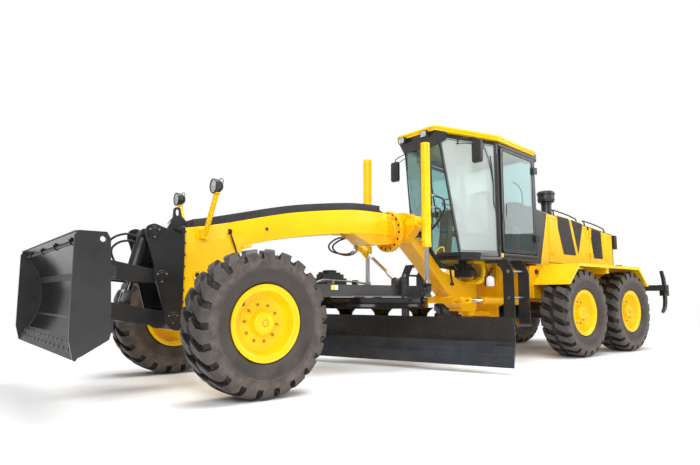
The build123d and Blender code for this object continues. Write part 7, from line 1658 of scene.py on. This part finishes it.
valves = [block((-0.33, 0.16, 1.2), (-0.13, 0.33, 1.4)), block((-0.3, 0.33, 1.23), (-0.16, 0.365, 1.38))]
for x in np.arange(4) * 0.045 - 0.3:
    valves.append(rod((x, 0.24, 1.4), (x, 0.24, 1.445), 0.016, 12, 0.003))
    valves.append(rod((x, 0.365, 1.33), (x, 0.385, 1.33), 0.014, 6))
valves.append(tube([(-0.001, 0.19, 1.358), (-0.01, 0.195, 1.26), (-0.034, 0.2, 1.108)], 0.015, 10))
valves.append(rod((-0.06, 0.2, 1.098), (-0.004, 0.2, 1.098), 0.024, 16, 0.006))
put("steering_valve_block", valves, "black", "front_frame", bevel=0.003)
loops = [tube([(-0.3 + 0.045 * number, 0.385 + 0.004 * number, 1.33),
    (-0.29 + 0.045 * number, 0.425 + 0.004 * number, 1.29), (-0.33 + 0.03 * number, 0.415 + 0.004 * number,
    1.225), (-0.38, 0.36, 1.19), (-0.4, 0.3, 1.17)], 0.01, 10) for number in range(4)]
put("valve_hoses", loops, "hose", "front_frame")

# ---------------------------------------- floor, light and camera
floor_finish = bpy.data.materials.new("studio_floor")
floor_finish.use_nodes = True
tree = floor_finish.node_tree
shader = tree.nodes["Principled BSDF"]
feed(tree, shader.inputs["Base Color"], (0.97, 0.97, 0.97))
feed(tree, shader.inputs["Roughness"], 0.75)
# far from the machine the floor shows plain white, so it meets the backdrop without a line
reach = add_node(tree, "VectorMath")
reach.operation = "LENGTH"
feed(tree, reach.inputs[0], object_place(tree))
white = add_node(tree, "Emission", Color=(1, 1, 1))
fade = span_node(tree, reach.outputs["Value"], 6.5, 10.0)
ray = add_node(tree, "LightPath").outputs
seen = number_node(tree, "MAXIMUM", ray["Is Camera Ray"], ray["Is Transmission Ray"])
meet = add_node(tree, "MixShader")
for socket, value in zip(meet.inputs, (number_node(tree, "MULTIPLY", fade, seen), shader.outputs[0],
        white.outputs[0])):
    feed(tree, socket, value)
feed(tree, tree.nodes["Material Output"].inputs["Surface"], meet.outputs[0])
floor_mesh = bpy.data.meshes.new("studio_floor")
floor_mesh.from_pydata([(-40, -40, 0), (40, -40, 0), (40, 40, 0), (-40, 40, 0)], [], [(0, 1, 2, 3)])
floor = bpy.data.objects.new("studio_floor", floor_mesh)
SCENE.collection.objects.link(floor)
floor_mesh.materials.append(floor_finish)

world = bpy.data.worlds.new("studio")
SCENE.world = world
world.use_nodes = True
sky = world.node_tree
sky.nodes.clear()
backdrop = add_node(sky, "Background", Color=(1, 1, 1), Strength=1.0)
way = add_node(sky, "TexCoord").outputs["Generated"]
height = span_node(sky, add_node(sky, "SeparateXYZ", Vector=way).outputs["Z"], -0.15, 0.55)
tint = mix_colour(sky, height, (0.62, 0.62, 0.63), (1.0, 1.0, 1.0))
soft = add_node(sky, "Background", Color=tint, Strength=0.62)
ray = add_node(sky, "LightPath").outputs
shown = number_node(sky, "MAXIMUM", ray["Is Camera Ray"], number_node(sky, "MULTIPLY",
    ray["Is Transmission Ray"], 0.8))
choose = add_node(sky, "MixShader")
for socket, value in zip(choose.inputs, (shown, soft.outputs[0], backdrop.outputs[0])):
    feed(sky, socket, value)
add_node(sky, "OutputWorld", Surface=choose.outputs[0])


def lamp(name, place, aim, size, power):
    """A soft square lamp at a place, turned towards an aim."""
    data = bpy.data.lights.new(name, "AREA")
    data.shape = "SQUARE"
    data.size = size
    data.energy = power
    thing = bpy.data.objects.new(name, data)
    SCENE.collection.objects.link(thing)
    thing.location = place
    thing.rotation_euler = (Vector(aim) - Vector(place)).to_track_quat("-Z", "Y").to_euler()
    return thing


lamp("overhead", (1.5, 1.0, 12.0), (0, 0, 0), 9.0, 1500)
lamp("front_left", (10.0, 9.0, 7.0), (1.0, 0, 1.5), 6.0, 850)
lamp("rear_left", (-9.0, 8.0, 6.0), (-1.0, 0, 1.5), 6.0, 420)

YAW, PITCH, ROLL = radians(38.716), radians(6.721), radians(0.103)
forward = Vector((-sin(YAW) * cos(PITCH), -cos(YAW) * cos(PITCH), sin(PITCH)))
right = forward.cross(Vector(UP)).normalized()
above = right.cross(forward)
right, above = right * cos(ROLL) + above * sin(ROLL), above * cos(ROLL) - right * sin(ROLL)
camera_data = bpy.data.cameras.new("camera")
camera_data.sensor_width = 36.0
camera_data.lens = 36.0 * 542.66 / 700.0
camera = bpy.data.objects.new("camera", camera_data)
SCENE.collection.objects.link(camera)
turn = Matrix((right, above, -forward)).transposed().to_4x4()
camera.matrix_world = Matrix.Translation((6.196, 5.548, 0.912)) @ turn
SCENE.camera = camera
SCENE.view_settings.view_transform = "Standard"
